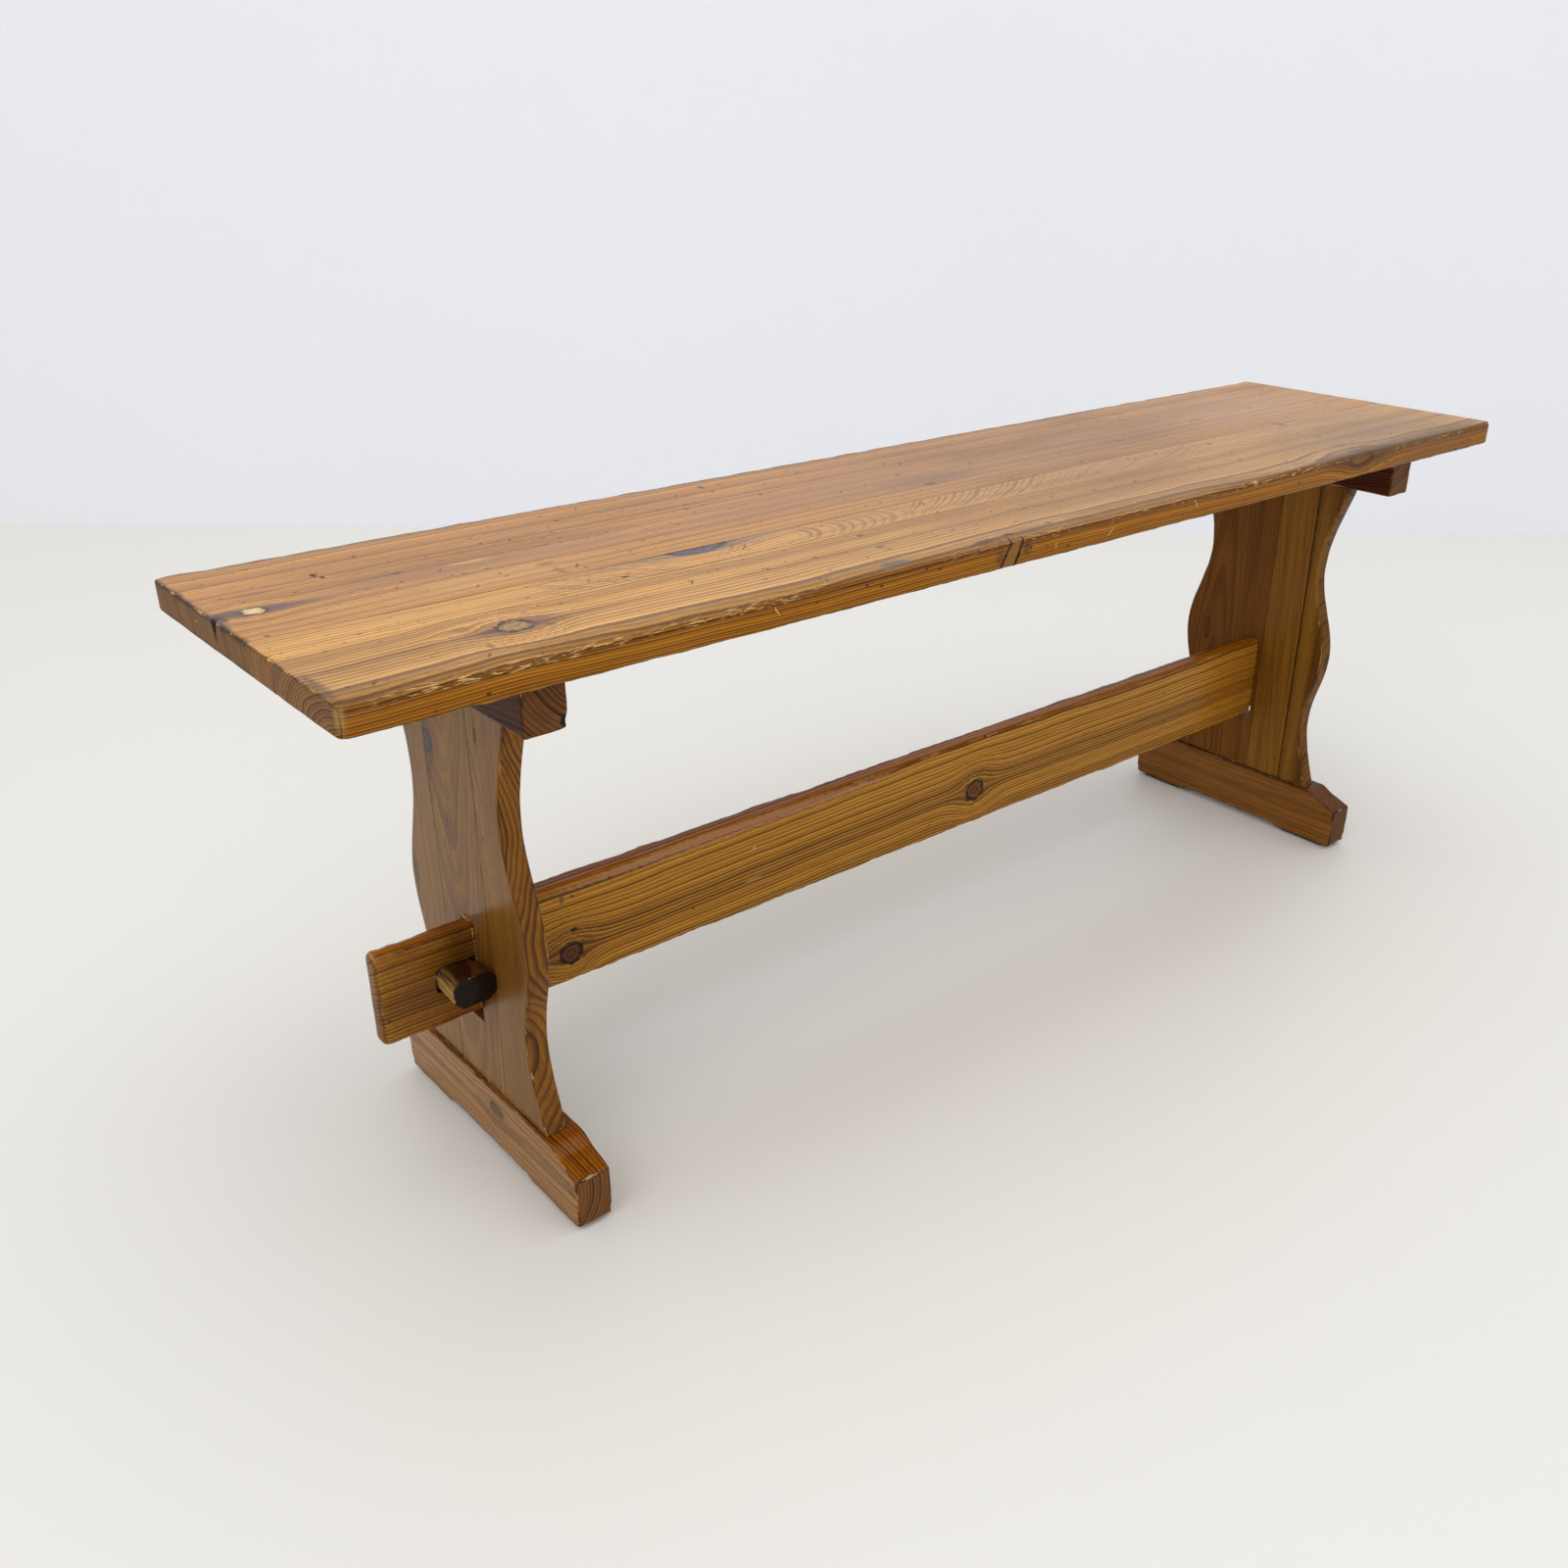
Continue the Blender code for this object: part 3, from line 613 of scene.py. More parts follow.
class Tree:
    """Adds nodes to a shader or geometry tree and links them."""

    def __init__(self, tree: Group) -> None:
        """Takes the tree that is written."""
        self.tree = tree

    def node(self, kind: str, values: dict[Any, Any] | None = None, **settings: Any) -> Node:
        """One node, with its settings and inputs.

        Args:
            kind: Blender's name of the node.
            values: numbers or wires for its inputs, by name or place.
            settings: the node's own properties.

        Returns:
            The node.
        """
        made = Node(self, self.tree.nodes.new(kind))
        for name, value in settings.items():
            setattr(made.node, name, value)
        for key, value in (values or {}).items():
            made[key] = value
        return made

    def effect(self, group: Group, source: Any = None, **values: Any) -> Node:
        """A shared group placed in the material with its own values.

        Args:
            group: the group.
            source: what has a field for some of the inputs, named as they are.
            values: the other inputs, by name in small letters.

        Returns:
            The group's node.
        """
        made = self.node("ShaderNodeGroup", node_tree=group)
        for socket in made.node.inputs:
            name = socket.name.lower().replace(" ", "_")
            if name in values:
                made[socket.name] = values[name]
            elif hasattr(source, name):
                made[socket.name] = getattr(source, name)
        return made

    def math(self, operation: str, a: Any, b: Any = 0.0, c: Any = 0.0) -> Wire:
        """The result of a Math node."""
        return self.node("ShaderNodeMath", {0: a, 1: b, 2: c}, operation=operation)[0]

    def vector(self, operation: str, a: Any, b: Any = (0.0, 0.0, 0.0), scale: Any = None) -> Wire:
        """The result of a Vector Math node.

        Args:
            operation: what it does.
            a: its first vector.
            b: its second vector.
            scale: the number that SCALE takes.

        Returns:
            A number for LENGTH and DOT_PRODUCT, or else a vector.
        """
        made = self.node("ShaderNodeVectorMath", {0: a, 1: b}, operation=operation)
        if scale is not None:
            made["Scale"] = scale
        return made["Value" if operation in ("LENGTH", "DOT_PRODUCT") else "Vector"]

    def sum(self, operation: str, a: Any, b: Any) -> Wire:
        """A sum of numbers, or of vectors where a wire carries one."""
        vectors = any(isinstance(v, Wire) and v.socket.type in ("VECTOR", "RGBA") for v in (a, b))
        return self.vector(operation, a, b) if vectors else self.math(operation, a, b)

    def length(self, a: Any) -> Wire:
        """The length of a vector."""
        return self.vector("LENGTH", a)

    def dot(self, a: Any, b: Any) -> Wire:
        """How far one vector runs along another."""
        return self.vector("DOT_PRODUCT", a, b)

    def step(self, value: Any, low: Any, high: Any) -> Wire:
        """A smooth rise from 0 at low to 1 at high."""
        inputs = {"Value": value, "From Min": low, "From Max": high}
        return self.node("ShaderNodeMapRange", inputs, interpolation_type="SMOOTHSTEP")[0]

    def blend(self, share: Any, a: Any, b: Any, way: str = "MIX") -> Wire:
        """One colour turning to another.

        Args:
            share: how far it turns.
            a: the first colour, a wire or red, green and blue in 0 to 255.
            b: the second colour, likewise.
            way: how they mix.

        Returns:
            The mixed colour.
        """
        made = self.node("ShaderNodeMix", data_type="RGBA", blend_type=way, clamp_factor=True)
        for i, value in ((0, share), (6, a), (7, b)):
            made[i] = linear(value) if isinstance(value, tuple) else value
        return made[2]

    def noise(self, vector: Any, scale: Any, detail: float = 2.0, colour: bool = False) -> Wire:
        """Noise at a vector, as a number about one half or as a colour."""
        made = self.node("ShaderNodeTexNoise", {"Vector": vector, "Scale": scale, "Detail": detail})
        return made["Color" if colour else "Fac"]

    def combine(self, x: Any = 0.0, y: Any = 0.0, z: Any = 0.0) -> Wire:
        """A vector from three numbers."""
        return self.node("ShaderNodeCombineXYZ", {0: x, 1: y, 2: z})[0]

    def parts(self, vector: Any) -> tuple[Wire, ...]:
        """The three numbers of a vector."""
        made = self.node("ShaderNodeSeparateXYZ", {0: vector})
        return made[0], made[1], made[2]


def new_material(name: str) -> tuple[Material, Tree, Node, Wire]:
    """An empty material.

    Args:
        name: its name.

    Returns:
        The material, its tree, its shader and its Object coordinates.
    """
    made = bpy.data.materials.new(name)
    made.use_nodes = True
    t = Tree(made.node_tree)
    return made, t, Node(t, made.node_tree.nodes["Principled BSDF"]), t.node("ShaderNodeTexCoord")["Object"]


def socket_kind(title: str, value: Any = 0.0) -> str:
    """Blender's name of the socket that suits a title and its usual value."""
    named = {"Place": "Vector", "Geometry": "Geometry", "Material": "Material"}
    return "NodeSocket" + (named.get(title) or {tuple: "Vector", int: "Int"}.get(type(value), "Float"))


def new_group(
    name: str, kind: str, inputs: dict[str, Any], outputs: tuple[str, ...],
) -> tuple[Tree, Node, Node]:
    """A node group with named sockets.

    Args:
        name: the group's name.
        kind: ShaderNodeTree or GeometryNodeTree.
        inputs: the usual value by name, or None for geometry and material.
        outputs: the names of what it puts out.

    Returns:
        Its tree, its input node and its output node.
    """
    tree = bpy.data.node_groups.new(name, kind)
    for title, value in inputs.items():
        socket = tree.interface.new_socket(name=title, in_out="INPUT", socket_type=socket_kind(title, value))
        if value is not None:
            socket.default_value = value
    for title in outputs:
        tree.interface.new_socket(name=title, in_out="OUTPUT", socket_type=socket_kind(title))
    made = Tree(tree)
    return made, made.node("NodeGroupInput"), made.node("NodeGroupOutput")


class WoodEffects:
    """The shader groups that every wooden finish shares, each built once."""

    def __init__(self) -> None:
        """Builds the groups."""
        self.knot = self.build_knot()
        self.growth = self.build_growth()
        self.rings = self.build_rings()
        self.fibre = self.build_fibre()
        self.wear = self.build_wear()
        self.pits = self.build_pits()
        self.spot = self.build_spot()
        self.score = self.build_score()
        self.grime = self.build_grime()
        self.feather = self.build_feather()

    def build_knot(self) -> Group:
        """A branch that the grain flows round: place bent round it, and the knot's masks.

        Returns:
            The group.
        """
        inputs = {"Place": ORIGIN, "Centre": ORIGIN, "Reach": (0.5, 1.0, 0.0), "Radius": 0.008,
                  "Push": 0.7, "Rings": 4.0, "Ragged": 0.15}
        t, i, o = new_group(
            "grain_round_knot", "ShaderNodeTree", inputs, ("Place", "Knot", "Rim", "Rings", "Halo"),
        )
        away = i["Place"] - i["Centre"]
        rough = (t.noise(i["Place"], 260.0, 3.0) - 0.5) * i["Ragged"]
        span = t.length(away * i["Reach"]) / i["Radius"]
        span = span + rough
        wide = span / 2.5
        push = i["Push"] * t.math("EXPONENT", wide * wide * -1)
        bent = away * (0.0, 1.0, 1.0)
        o["Place"] = i["Place"] - bent.scaled(push)
        o["Knot"] = 1 - t.step(span, 0.88, 1.04)
        o["Rim"] = t.step(span, 0.72, 0.95) * (1 - t.step(span, 1.02, 1.28))
        o["Rings"] = t.math("PINGPONG", span * i["Rings"], 1.0)
        long = away * i["Reach"] * (0.42, 1.0, 1.0)
        far = t.length(long) / i["Radius"] + rough
        o["Halo"] = 1 - t.step(far, 0.7, 1.75)
        return t.tree

    def build_growth(self) -> Group:
        """Year in which the tree laid down the wood at a place, counted in rings from its pith.

        Returns:
            The group.
        """
        inputs = {"Place": ORIGIN, "Ring Width": 0.0024, "Wander": 0.004, "Rate": 1.5,
                  "Taper": 0.0, "Waver": 0.0015, "Oval": 1.0, "Uneven": 3.2,
                  "Swell At": 0.0, "Swell Reach": 0.05, "Swell": 0.0}
        t, i, o = new_group("growth_of_tree", "ShaderNodeTree", inputs, ("Year", "Pith"))
        along, left, up = t.parts(i["Place"])
        past = (along - i["Swell At"]) / i["Swell Reach"]
        hill = t.math("EXPONENT", past * past * -1)
        up = up - hill * i["Swell"]
        left = left * i["Oval"]
        slow = t.noise(t.combine(along * i["Rate"], 4.7, 2.3), 1.0, 3.0, colour=True)
        sway = (slow - (0.5, 0.5, 0.5)).scaled(i["Wander"] * 2)
        flat = t.combine(0.0, left, up) + sway * (0.0, 1.0, 1.0)
        span = t.length(flat)
        span = span * (1 + along * i["Taper"])
        fine = t.noise(i["Place"] * (9.0, 34.0, 34.0), 1.0, 2.0)
        span = span + (fine - 0.5) * (i["Waver"] * 2)
        uneven = t.noise(t.combine(span * 75, 0.7, 0.2), 1.0, 2.0)
        year = span / i["Ring Width"]
        o["Year"] = t.math("MULTIPLY_ADD", uneven, i["Uneven"], year)
        o["Pith"] = 1 - t.step(span, 0.0006, 0.003)
        return t.tree

    def build_rings(self) -> Group:
        """The dark late wood of each year, no two years alike.

        Returns:
            The group.
        """
        inputs = {"Year": 0.0, "Late Share": 0.45, "Seed": 0.0}
        t, i, o = new_group("year_rings", "ShaderNodeTree", inputs, ("Late", "Tone"))
        count = t.math("FLOOR", i["Year"]) + i["Seed"]
        drawn = t.node("ShaderNodeTexWhiteNoise", {"W": count}, noise_dimensions="1D")
        share = t.math("FRACT", i["Year"])
        wide = i["Late Share"] * (0.55 + drawn[0] * 0.9)
        rise = t.step(share, 0.92 - wide * 1.5, 0.97 - wide * 0.35)
        fall = 1 - t.step(share, 0.93, 1.0)
        red, green, _ = t.parts(drawn[1])
        o["Late"] = rise * fall * (0.5 + red * 0.5)
        o["Tone"] = green
        return t.tree

    def build_fibre(self) -> Group:
        """Streaks, fine fibre and short dark pores that run with the grain.

        Returns:
            The group.
        """
        t, i, o = new_group("pine_fibre", "ShaderNodeTree", {"Place": ORIGIN, "Fineness": 1.0},
                            ("Streak", "Fine", "Pore"))
        place = i["Place"].scaled(i["Fineness"])
        o["Streak"] = t.noise(place * (3.5, 130.0, 130.0), 1.0, 3.0)
        o["Fine"] = t.noise(place * (30.0, 560.0, 560.0), 1.0, 2.0)
        pore = t.noise(place * (60.0, 760.0, 760.0), 1.0, 1.0)
        o["Pore"] = t.step(pore, 0.62, 0.74)
        return t.tree

    def build_wear(self) -> Group:
        """Ragged rubbed places along the arrises.

        Returns:
            The group.
        """
        inputs = {"Arris": 0.0, "Place": ORIGIN, "Amount": 0.3, "Ragged": 0.5}
        t, i, o = new_group("arris_wear", "ShaderNodeTree", inputs, ("Rubbed",))
        coarse = t.noise(i["Place"] * (28.0, 70.0, 70.0), 1.0, 2.0) - 0.5
        fine = t.noise(i["Place"] * (160.0, 420.0, 420.0), 1.0, 3.0) - 0.5
        rough = (coarse * 1.6 + fine) * i["Ragged"]
        edge = i["Arris"] + rough * (i["Arris"] + 0.15)
        start = 1 - i["Amount"]
        o["Rubbed"] = t.step(edge, start, start + 0.28)
        return t.tree

    def build_pits(self) -> Group:
        """Tiny dark dents and worm-like specks, strewn unevenly.

        Returns:
            The group.
        """
        inputs = {"Place": ORIGIN, "Density": 0.2, "Scale": 120.0}
        t, i, o = new_group("small_pits", "ShaderNodeTree", inputs, ("Pit",))
        cells = t.node("ShaderNodeTexVoronoi", {"Vector": i["Place"] * (0.55, 1.0, 1.0), "Scale": i["Scale"]})
        draw, size, _ = t.parts(cells["Color"])
        few = i["Density"] * (t.noise(i["Place"], 14.0, 2.0) * 2)
        chosen = t.math("LESS_THAN", draw, few)
        reach = 0.06 + size * 0.16
        near = 1 - t.step(cells["Distance"], reach * 0.4, reach)
        o["Pit"] = near * chosen
        return t.tree

    def build_spot(self) -> Group:
        """One soft-edged patch at a place on the piece.

        Returns:
            The group.
        """
        inputs = {"Place": ORIGIN, "Centre": ORIGIN, "Turned": (1.0, 1.0, 1.0), "Ragged": 0.3, "Soft": 0.4}
        t, i, o = new_group("patch", "ShaderNodeTree", inputs, ("Patch",))
        away = (i["Place"] - i["Centre"]) * i["Turned"]
        rough = (t.noise(i["Place"], 210.0, 4.0) - 0.5) * i["Ragged"]
        span = t.length(away) + rough
        o["Patch"] = 1 - t.step(span, 1 - i["Soft"], 1 + i["Soft"] * 0.4)
        return t.tree

    def build_score(self) -> Group:
        """One scratch, crack or line from a start to a finish.

        Returns:
            The group.
        """
        inputs = {
            "Place": ORIGIN, "Start": ORIGIN, "Run": (0.01, 0.0, 0.0), "Width": 0.0005, "Ragged": 0.3,
            "Weights": (1.0, 1.0, 1.0),
        }
        t, i, o = new_group("score_line", "ShaderNodeTree", inputs, ("Line",))
        away = (i["Place"] - i["Start"]) * i["Weights"]
        shake = t.noise(i["Place"], 150.0, 2.0, colour=True) - (0.5, 0.5, 0.5)
        away = away + shake.scaled(i["Width"] * (i["Ragged"] * 8))
        share = t.dot(away, i["Run"]) / t.dot(i["Run"], i["Run"])
        share = t.math("MINIMUM", t.math("MAXIMUM", share, 0.0), 1.0)
        span = t.length(away - i["Run"].scaled(share))
        taper = 1.15 - t.math("ABSOLUTE", share - 0.5) * 1.3
        reach = i["Width"] * taper
        o["Line"] = 1 - t.step(span, reach * 0.35, reach)
        return t.tree

    def build_grime(self) -> Group:
        """Broad smudges of old dirt and thick varnish.

        Returns:
            The group.
        """
        inputs = {"Place": ORIGIN, "Scale": 9.0, "Low": 0.55, "High": 0.75}
        t, i, o = new_group("old_grime", "ShaderNodeTree", inputs, ("Grime",))
        broad = t.noise(i["Place"] * (0.35, 1.4, 1.4), i["Scale"], 5.0)
        o["Grime"] = t.step(broad, i["Low"], i["High"])
        return t.tree

    def build_feather(self) -> Group:
        """Short curved strokes side by side along a line, where wavy grain runs out at the surface.

        Returns:
            The group.
        """
        inputs = {"Place": ORIGIN, "Start": ORIGIN, "Way": (1.0, 0.0, 0.0), "Across": (0.0, 1.0, 0.0),
                  "Length": 0.4, "Half Width": 0.013, "Spacing": 0.0055, "Slant": 0.035, "Bend": 0.01}
        t, i, o = new_group("feather_figure", "ShaderNodeTree", inputs, ("Stroke",))
        away = i["Place"] - i["Start"]
        wander = t.noise(i["Place"], 22.0, 3.0, colour=True) - (0.5, 0.5, 0.5)
        away = away + wander.scaled(0.004)
        along = t.dot(away, i["Way"]) / i["Length"]
        side = t.dot(away, i["Across"]) / i["Half Width"]
        line = t.math("MULTIPLY_ADD", side * side, i["Bend"], along * i["Length"])
        line = line - side * i["Slant"]
        line = line / i["Spacing"]
        line = line + t.noise(t.combine(line * 0.6, 0.0, 0.0), 1.0, 1.0) * 1.6
        share = t.math("FRACT", line)
        drawn = t.node("ShaderNodeTexWhiteNoise", {"W": t.math("FLOOR", line)}, noise_dimensions="1D")[0]
        stroke = t.step(share, 0.3, 0.72) * (1 - t.step(share, 0.84, 1.0))
        stroke = stroke * (0.35 + drawn * 0.65)
        inside = 1 - t.step(t.math("ABSOLUTE", side), 0.7, 1.1)
        ends = t.step(along, 0.0, 0.15) * (1 - t.step(along, 0.8, 1.0))
        patchy = t.step(t.noise(i["Place"], 40.0, 2.0), 0.1, 0.5)
        o["Stroke"] = stroke * inside * (ends * patchy)
        return t.tree


@dataclass(frozen=True)
class Knot:
    """A branch cut through by the face."""

    centre: Point
    radius: float
    through: int
    depth: float = 0.012
    long: float = 2.0
    push: float = 0.75
    heart: Colour = (120, 70, 34)
    rim: Colour = (40, 20, 10)
    halo: Colour = (120, 74, 44)
    halo_share: float = 0.6
    rings: float = 4.0
    shown: float = 1.0
    ragged: float = 0.25


@dataclass(frozen=True)
class Patch:
    """A stained or bleached place; some patches are painted shade or painted highlight."""

    centre: Point
    size: Point
    colour: Colour
    share: float = 0.7
    ragged: float = 0.5
    soft: float = 0.45


@dataclass(frozen=True)
class Score:
    """A scratch, crack or glue line."""

    start: Point
    finish: Point
    width: float
    colour: Colour
    share: float = 0.85
    ragged: float = 0.3
    weights: Point = (1, 1, 1)


@dataclass(frozen=True)
class Feather:
    """A run of short curved strokes where wavy grain runs out."""

    start: Point
    finish: Point
    half_width: float
    spacing: float
    colour: Colour
    share: float = 0.6
    slant: float = 0.035
    bend: float = 0.01


@dataclass(frozen=True)
class Pine:
    """A varnished pine finish: the growth of its tree, its colours, its marks and its wear."""

    name: str
    grain: Grain
    pith: Point
    early: Colour
    late: Colour
    streak: Colour
    lean: tuple[float, float] = (0.0, 0.0)
    ring_width: float = 0.0024
    late_share: float = 0.42
    ring_contrast: float = 0.8
    wander: float = 0.004
    rate: float = 1.5
    taper: float = 0.0
    waver: float = 0.0012
    oval: float = 1.0
    uneven: float = 3.2
    swell: Point = (0.0, 0.05, 0.0)
    streak_share: float = 0.45
    fineness: float = 1.0
    top_tint: Colour = (255, 255, 255)
    side_tint: Colour = (255, 255, 255)
    end_tint: Colour = (190, 176, 160)
    worn: Colour = (206, 164, 112)
    wear: float = 0.12
    dark_arris: Colour = (60, 38, 20)
    dark_share: float = 0.0
    grime: Colour = (96, 70, 48)
    grime_share: float = 0.25
    grime_band: tuple[float, float] = (0.5, 0.72)
    pit_density: float = 0.12
    pit_scale: float = 130.0
    speck_density: float = 0.1
    speck_scale: float = 330.0
    speck_colour: Colour = (96, 50, 30)
    side_contrast: float | None = None
    nick_density: float = 0.0
    rim_from: float = 0.55
    roughness: float = 0.4
    coat: float = 0.25
    top_coat: float | None = None
    coat_roughness: float = 0.16
    gloss: float = 0.3
    relief: float = 0.00025
    grit: float = 0.3
    front_tint: Colour | None = None
    seed: float = 0.0
    knots: tuple[Knot, ...] = ()
    patches: tuple[Patch, ...] = ()
    scores: tuple[Score, ...] = ()
    feathers: tuple[Feather, ...] = ()
    band: Colour | None = None

    def grain_place(self, t: Tree, place: Wire) -> Wire:
        """Places in the grain's axes about the pith.

        Args:
            t: the material's tree.
            place: Object coordinates.

        Returns:
            The vector: along the grain, then the two ways across.
        """
        parts = t.parts(place - self.pith)
        along, left, up = (parts[a] for a in self.grain.value)
        left = t.math("MULTIPLY_ADD", along, self.lean[0], left)
        up = t.math("MULTIPLY_ADD", along, self.lean[1], up)
        return t.combine(along, left, up)

    def shown_knots(self, t: Tree, effects: WoodEffects, place: Wire) -> tuple[Wire, list[tuple[Knot, Node]]]:
        """Bends the grain round each knot.

        Args:
            t: the material's tree.
            effects: the shared groups.
            place: the grain's place.

        Returns:
            The bent place, and each knot with its group's node.
        """
        found = []
        for knot in self.knots:
            reach = [1 / knot.long, 1.0, 1.0]
            reach[self.grain.value.index(knot.through)] = knot.radius / knot.depth
            along, left, up = (knot.centre[a] - self.pith[a] for a in self.grain.value)
            centre = (along, left + self.lean[0] * along, up + self.lean[1] * along)
            made = t.effect(effects.knot, knot, place=place, centre=centre, reach=tuple(reach))
            found.append((knot, made))
            place = made["Place"]
        return place, found

    def marked(
        self, t: Tree, effects: WoodEffects, place: Wire, colour: Wire, knots: list[tuple[Knot, Node]],
    ) -> Wire:
        """Lays knots, stained places, patches of painted shade, highlight and sheen, and scratches over the
        wood's colour.

        Args:
            t: the material's tree.
            effects: the shared groups.
            place: Object coordinates.
            colour: the wood's colour so far.
            knots: the knots and their nodes.

        Returns:
            The colour with the marks on it.
        """
        for patch in self.patches:
            turned = tuple(1 / s for s in patch.size)
            mask = t.effect(effects.spot, patch, place=place, turned=turned)["Patch"]
            colour = t.blend(mask * patch.share, colour, patch.colour)
        for knot, masks in knots:
            colour = t.blend(masks["Halo"] * knot.halo_share, colour, knot.halo)
            heart = t.blend(masks["Rings"] * 0.55, knot.heart, knot.rim)
            colour = t.blend(masks["Knot"] * knot.shown, colour, heart)
            colour = t.blend(masks["Rim"] * (0.92 * knot.shown), colour, knot.rim)
        for score in self.scores:
            run = tuple(b - a for a, b in zip(score.start, score.finish))
            mask = t.effect(effects.score, score, place=place, run=run)["Line"]
            colour = t.blend(mask * score.share, colour, score.colour)
        return colour

    def material(self, effects: WoodEffects) -> Material:
        """The finish as a material.

        Args:
            effects: the shared groups.

        Returns:
            The material.
        """
        made, t, shader, place = new_material(self.name)
        masks = {name: t.node("ShaderNodeAttribute", attribute_name=name)["Fac"] for name in MASKS}
        grain = self.grain_place(t, place)
        bent, knots = self.shown_knots(t, effects, grain)
        at, reach, swell = self.swell
        growth = t.effect(effects.growth, self, place=bent, swell_at=at, swell_reach=reach, swell=swell)
        rings = t.effect(effects.rings, self, year=growth["Year"])
        fibre = t.effect(effects.fibre, self, place=bent)
        whole = 1 - masks["worn"]
        wear = t.effect(
            effects.wear, arris=masks["arris"], place=grain, amount=self.wear, ragged=RUBBED_RAGGEDNESS,
        )
        rubbed = wear["Rubbed"] * whole
        low, high = self.grime_band
        dirt = t.effect(effects.grime, place=grain, low=low, high=high)["Grime"]
        pits = t.effect(effects.pits, place=grain, density=self.pit_density, scale=self.pit_scale)["Pit"]
        specks = t.effect(
            effects.pits, place=grain, density=self.speck_density, scale=self.speck_scale,
        )["Pit"]

        contrast = self.ring_contrast
        if self.side_contrast is not None:
            turned = t.math("MAXIMUM", masks["front"], masks["end"])
            contrast = t.math(
                "MULTIPLY_ADD", turned, self.ring_contrast - self.side_contrast, self.side_contrast,
            )
        contrast = contrast * (0.72 + fibre["Streak"] * 0.5)
        colour = t.blend(rings["Late"] * contrast, self.early, self.late)
        colour = t.blend(t.step(fibre["Streak"], 0.42, 0.68) * self.streak_share, colour, self.streak)
        speckle = rings["Tone"] * 0.12 + fibre["Fine"] * self.grit
        shade = 1.01 - self.grit / 2 + speckle - fibre["Pore"] * PORE_SHADE
        colour = colour.scaled(shade)
        tint = t.blend(masks["up"], self.side_tint, self.top_tint)
        if self.front_tint is not None:
            tint = t.blend(masks["front"], tint, self.front_tint)
        tint = t.blend(masks["end"], tint, self.end_tint)
        colour = t.blend(1.0, colour, tint, "MULTIPLY")
        colour = t.blend(growth["Pith"] * PITH_SHARE, colour, self.dark_arris)
        colour = t.blend(dirt * self.grime_share, colour, self.grime)
        for feather in self.feathers:
            colour = t.blend(self.strokes(t, effects, feather, place) * feather.share, colour, feather.colour)
        if self.dark_share:
            rim = t.step(masks["arris"] + (t.noise(grain, 60.0, 3.0) - 0.5), self.rim_from, 0.98) * whole
            colour = t.blend(rim * self.dark_share, colour, self.dark_arris)
        if self.band is not None:
            colour = self.worn_band(t, masks, grain, colour)
        colour = t.blend(rubbed * RUBBED_SHARE, colour, self.worn)
        colour = self.marked(t, effects, place, colour, knots)
        colour = t.blend(specks * SPECK_SHARE, colour, self.speck_colour)
        if self.nick_density:
            turned = t.node(
                "ShaderNodeVectorRotate", {"Vector": place, "Angle": NICK_TURN}, rotation_type="Z_AXIS",
            )[0]
            drawn_out = turned * (0.42, 1.0, 1.0)
            nicks = t.effect(
                effects.pits, place=drawn_out, density=self.nick_density, scale=NICK_SCALE,
            )["Pit"]
            colour = t.blend(nicks * masks["up"] * NICK_SHARE, colour, self.speck_colour)
        shader["Base Color"] = t.blend(pits * PIT_SHARE, colour, self.dark_arris)

        rough = self.roughness - 0.12 + fibre["Fine"] * 0.16 + rubbed * 0.15 + dirt * 0.08
        shader["Roughness"] = rough + masks["end"] * 0.12
        height = rings["Late"] * 0.55 + fibre["Fine"] * 0.55 - fibre["Pore"] * 0.35 - pits * 1.2
        shader["Normal"] = t.node(
            "ShaderNodeBump", {"Height": height, "Distance": self.relief, "Strength": 0.7},
        )[0]
        if self.top_coat is None:
            shader["Coat Weight"] = self.coat
        else:
            shader["Coat Weight"] = t.math("MULTIPLY_ADD", masks["up"], self.top_coat - self.coat, self.coat)
        shader["Coat Roughness"] = self.coat_roughness
        shader["IOR"] = VARNISH_IOR
        shader["Specular IOR Level"] = self.gloss
        return made

    def strokes(self, t: Tree, effects: WoodEffects, feather: Feather, place: Wire) -> Wire:
        """The mask of a run of short curved strokes.

        Args:
            t: the material's tree.
            effects: the shared groups.
            feather: the strokes.
            place: Object coordinates.

        Returns:
            The mask.
        """
        run = Vector(feather.finish) - Vector(feather.start)
        way = run.normalized()
        across = (-way.y, way.x, 0.0)
        made = t.effect(
            effects.feather, feather, place=place, way=tuple(way), across=across, length=run.length,
        )
        return made["Stroke"]

    def worn_band(self, t: Tree, masks: dict[str, Wire], grain: Wire, colour: Wire) -> Wire:
        """The hand-worn band along the front of the seat, with golden flecks.

        Args:
            t: the material's tree.
            masks: the mesh's masks.
            grain: the grain's place.
            colour: the wood's colour so far.

        Returns:
            The colour with the band on it.
        """
        worn = masks["worn"]
        rough = t.noise(grain * (90.0, 300.0, 300.0), 1.0, 4.0) - 0.5
        inside = t.step(worn + rough * 0.6, 0.18, 0.6)
        line = t.step(worn, 0.06, 0.2) * (1 - t.step(worn, 0.2, 0.42))
        patchy = t.step(t.noise(grain * (16.0, 70.0, 70.0), 1.0, 2.0), 0.36, 0.58)
        flecks = t.step(t.noise(grain * (110.0, 1150.0, 1150.0), 1.0, 2.0), 0.55, 0.64)
        flecks = flecks * t.math("MULTIPLY_ADD", t.step(masks["arris"], 0.1, 0.75), 0.75, 0.25)
        colour = t.blend(inside * 0.92, colour, self.band, "MULTIPLY")
        colour = t.blend(flecks * patchy * (inside * 0.8), colour, self.worn)
        return t.blend(line * 0.5, colour, self.grime)


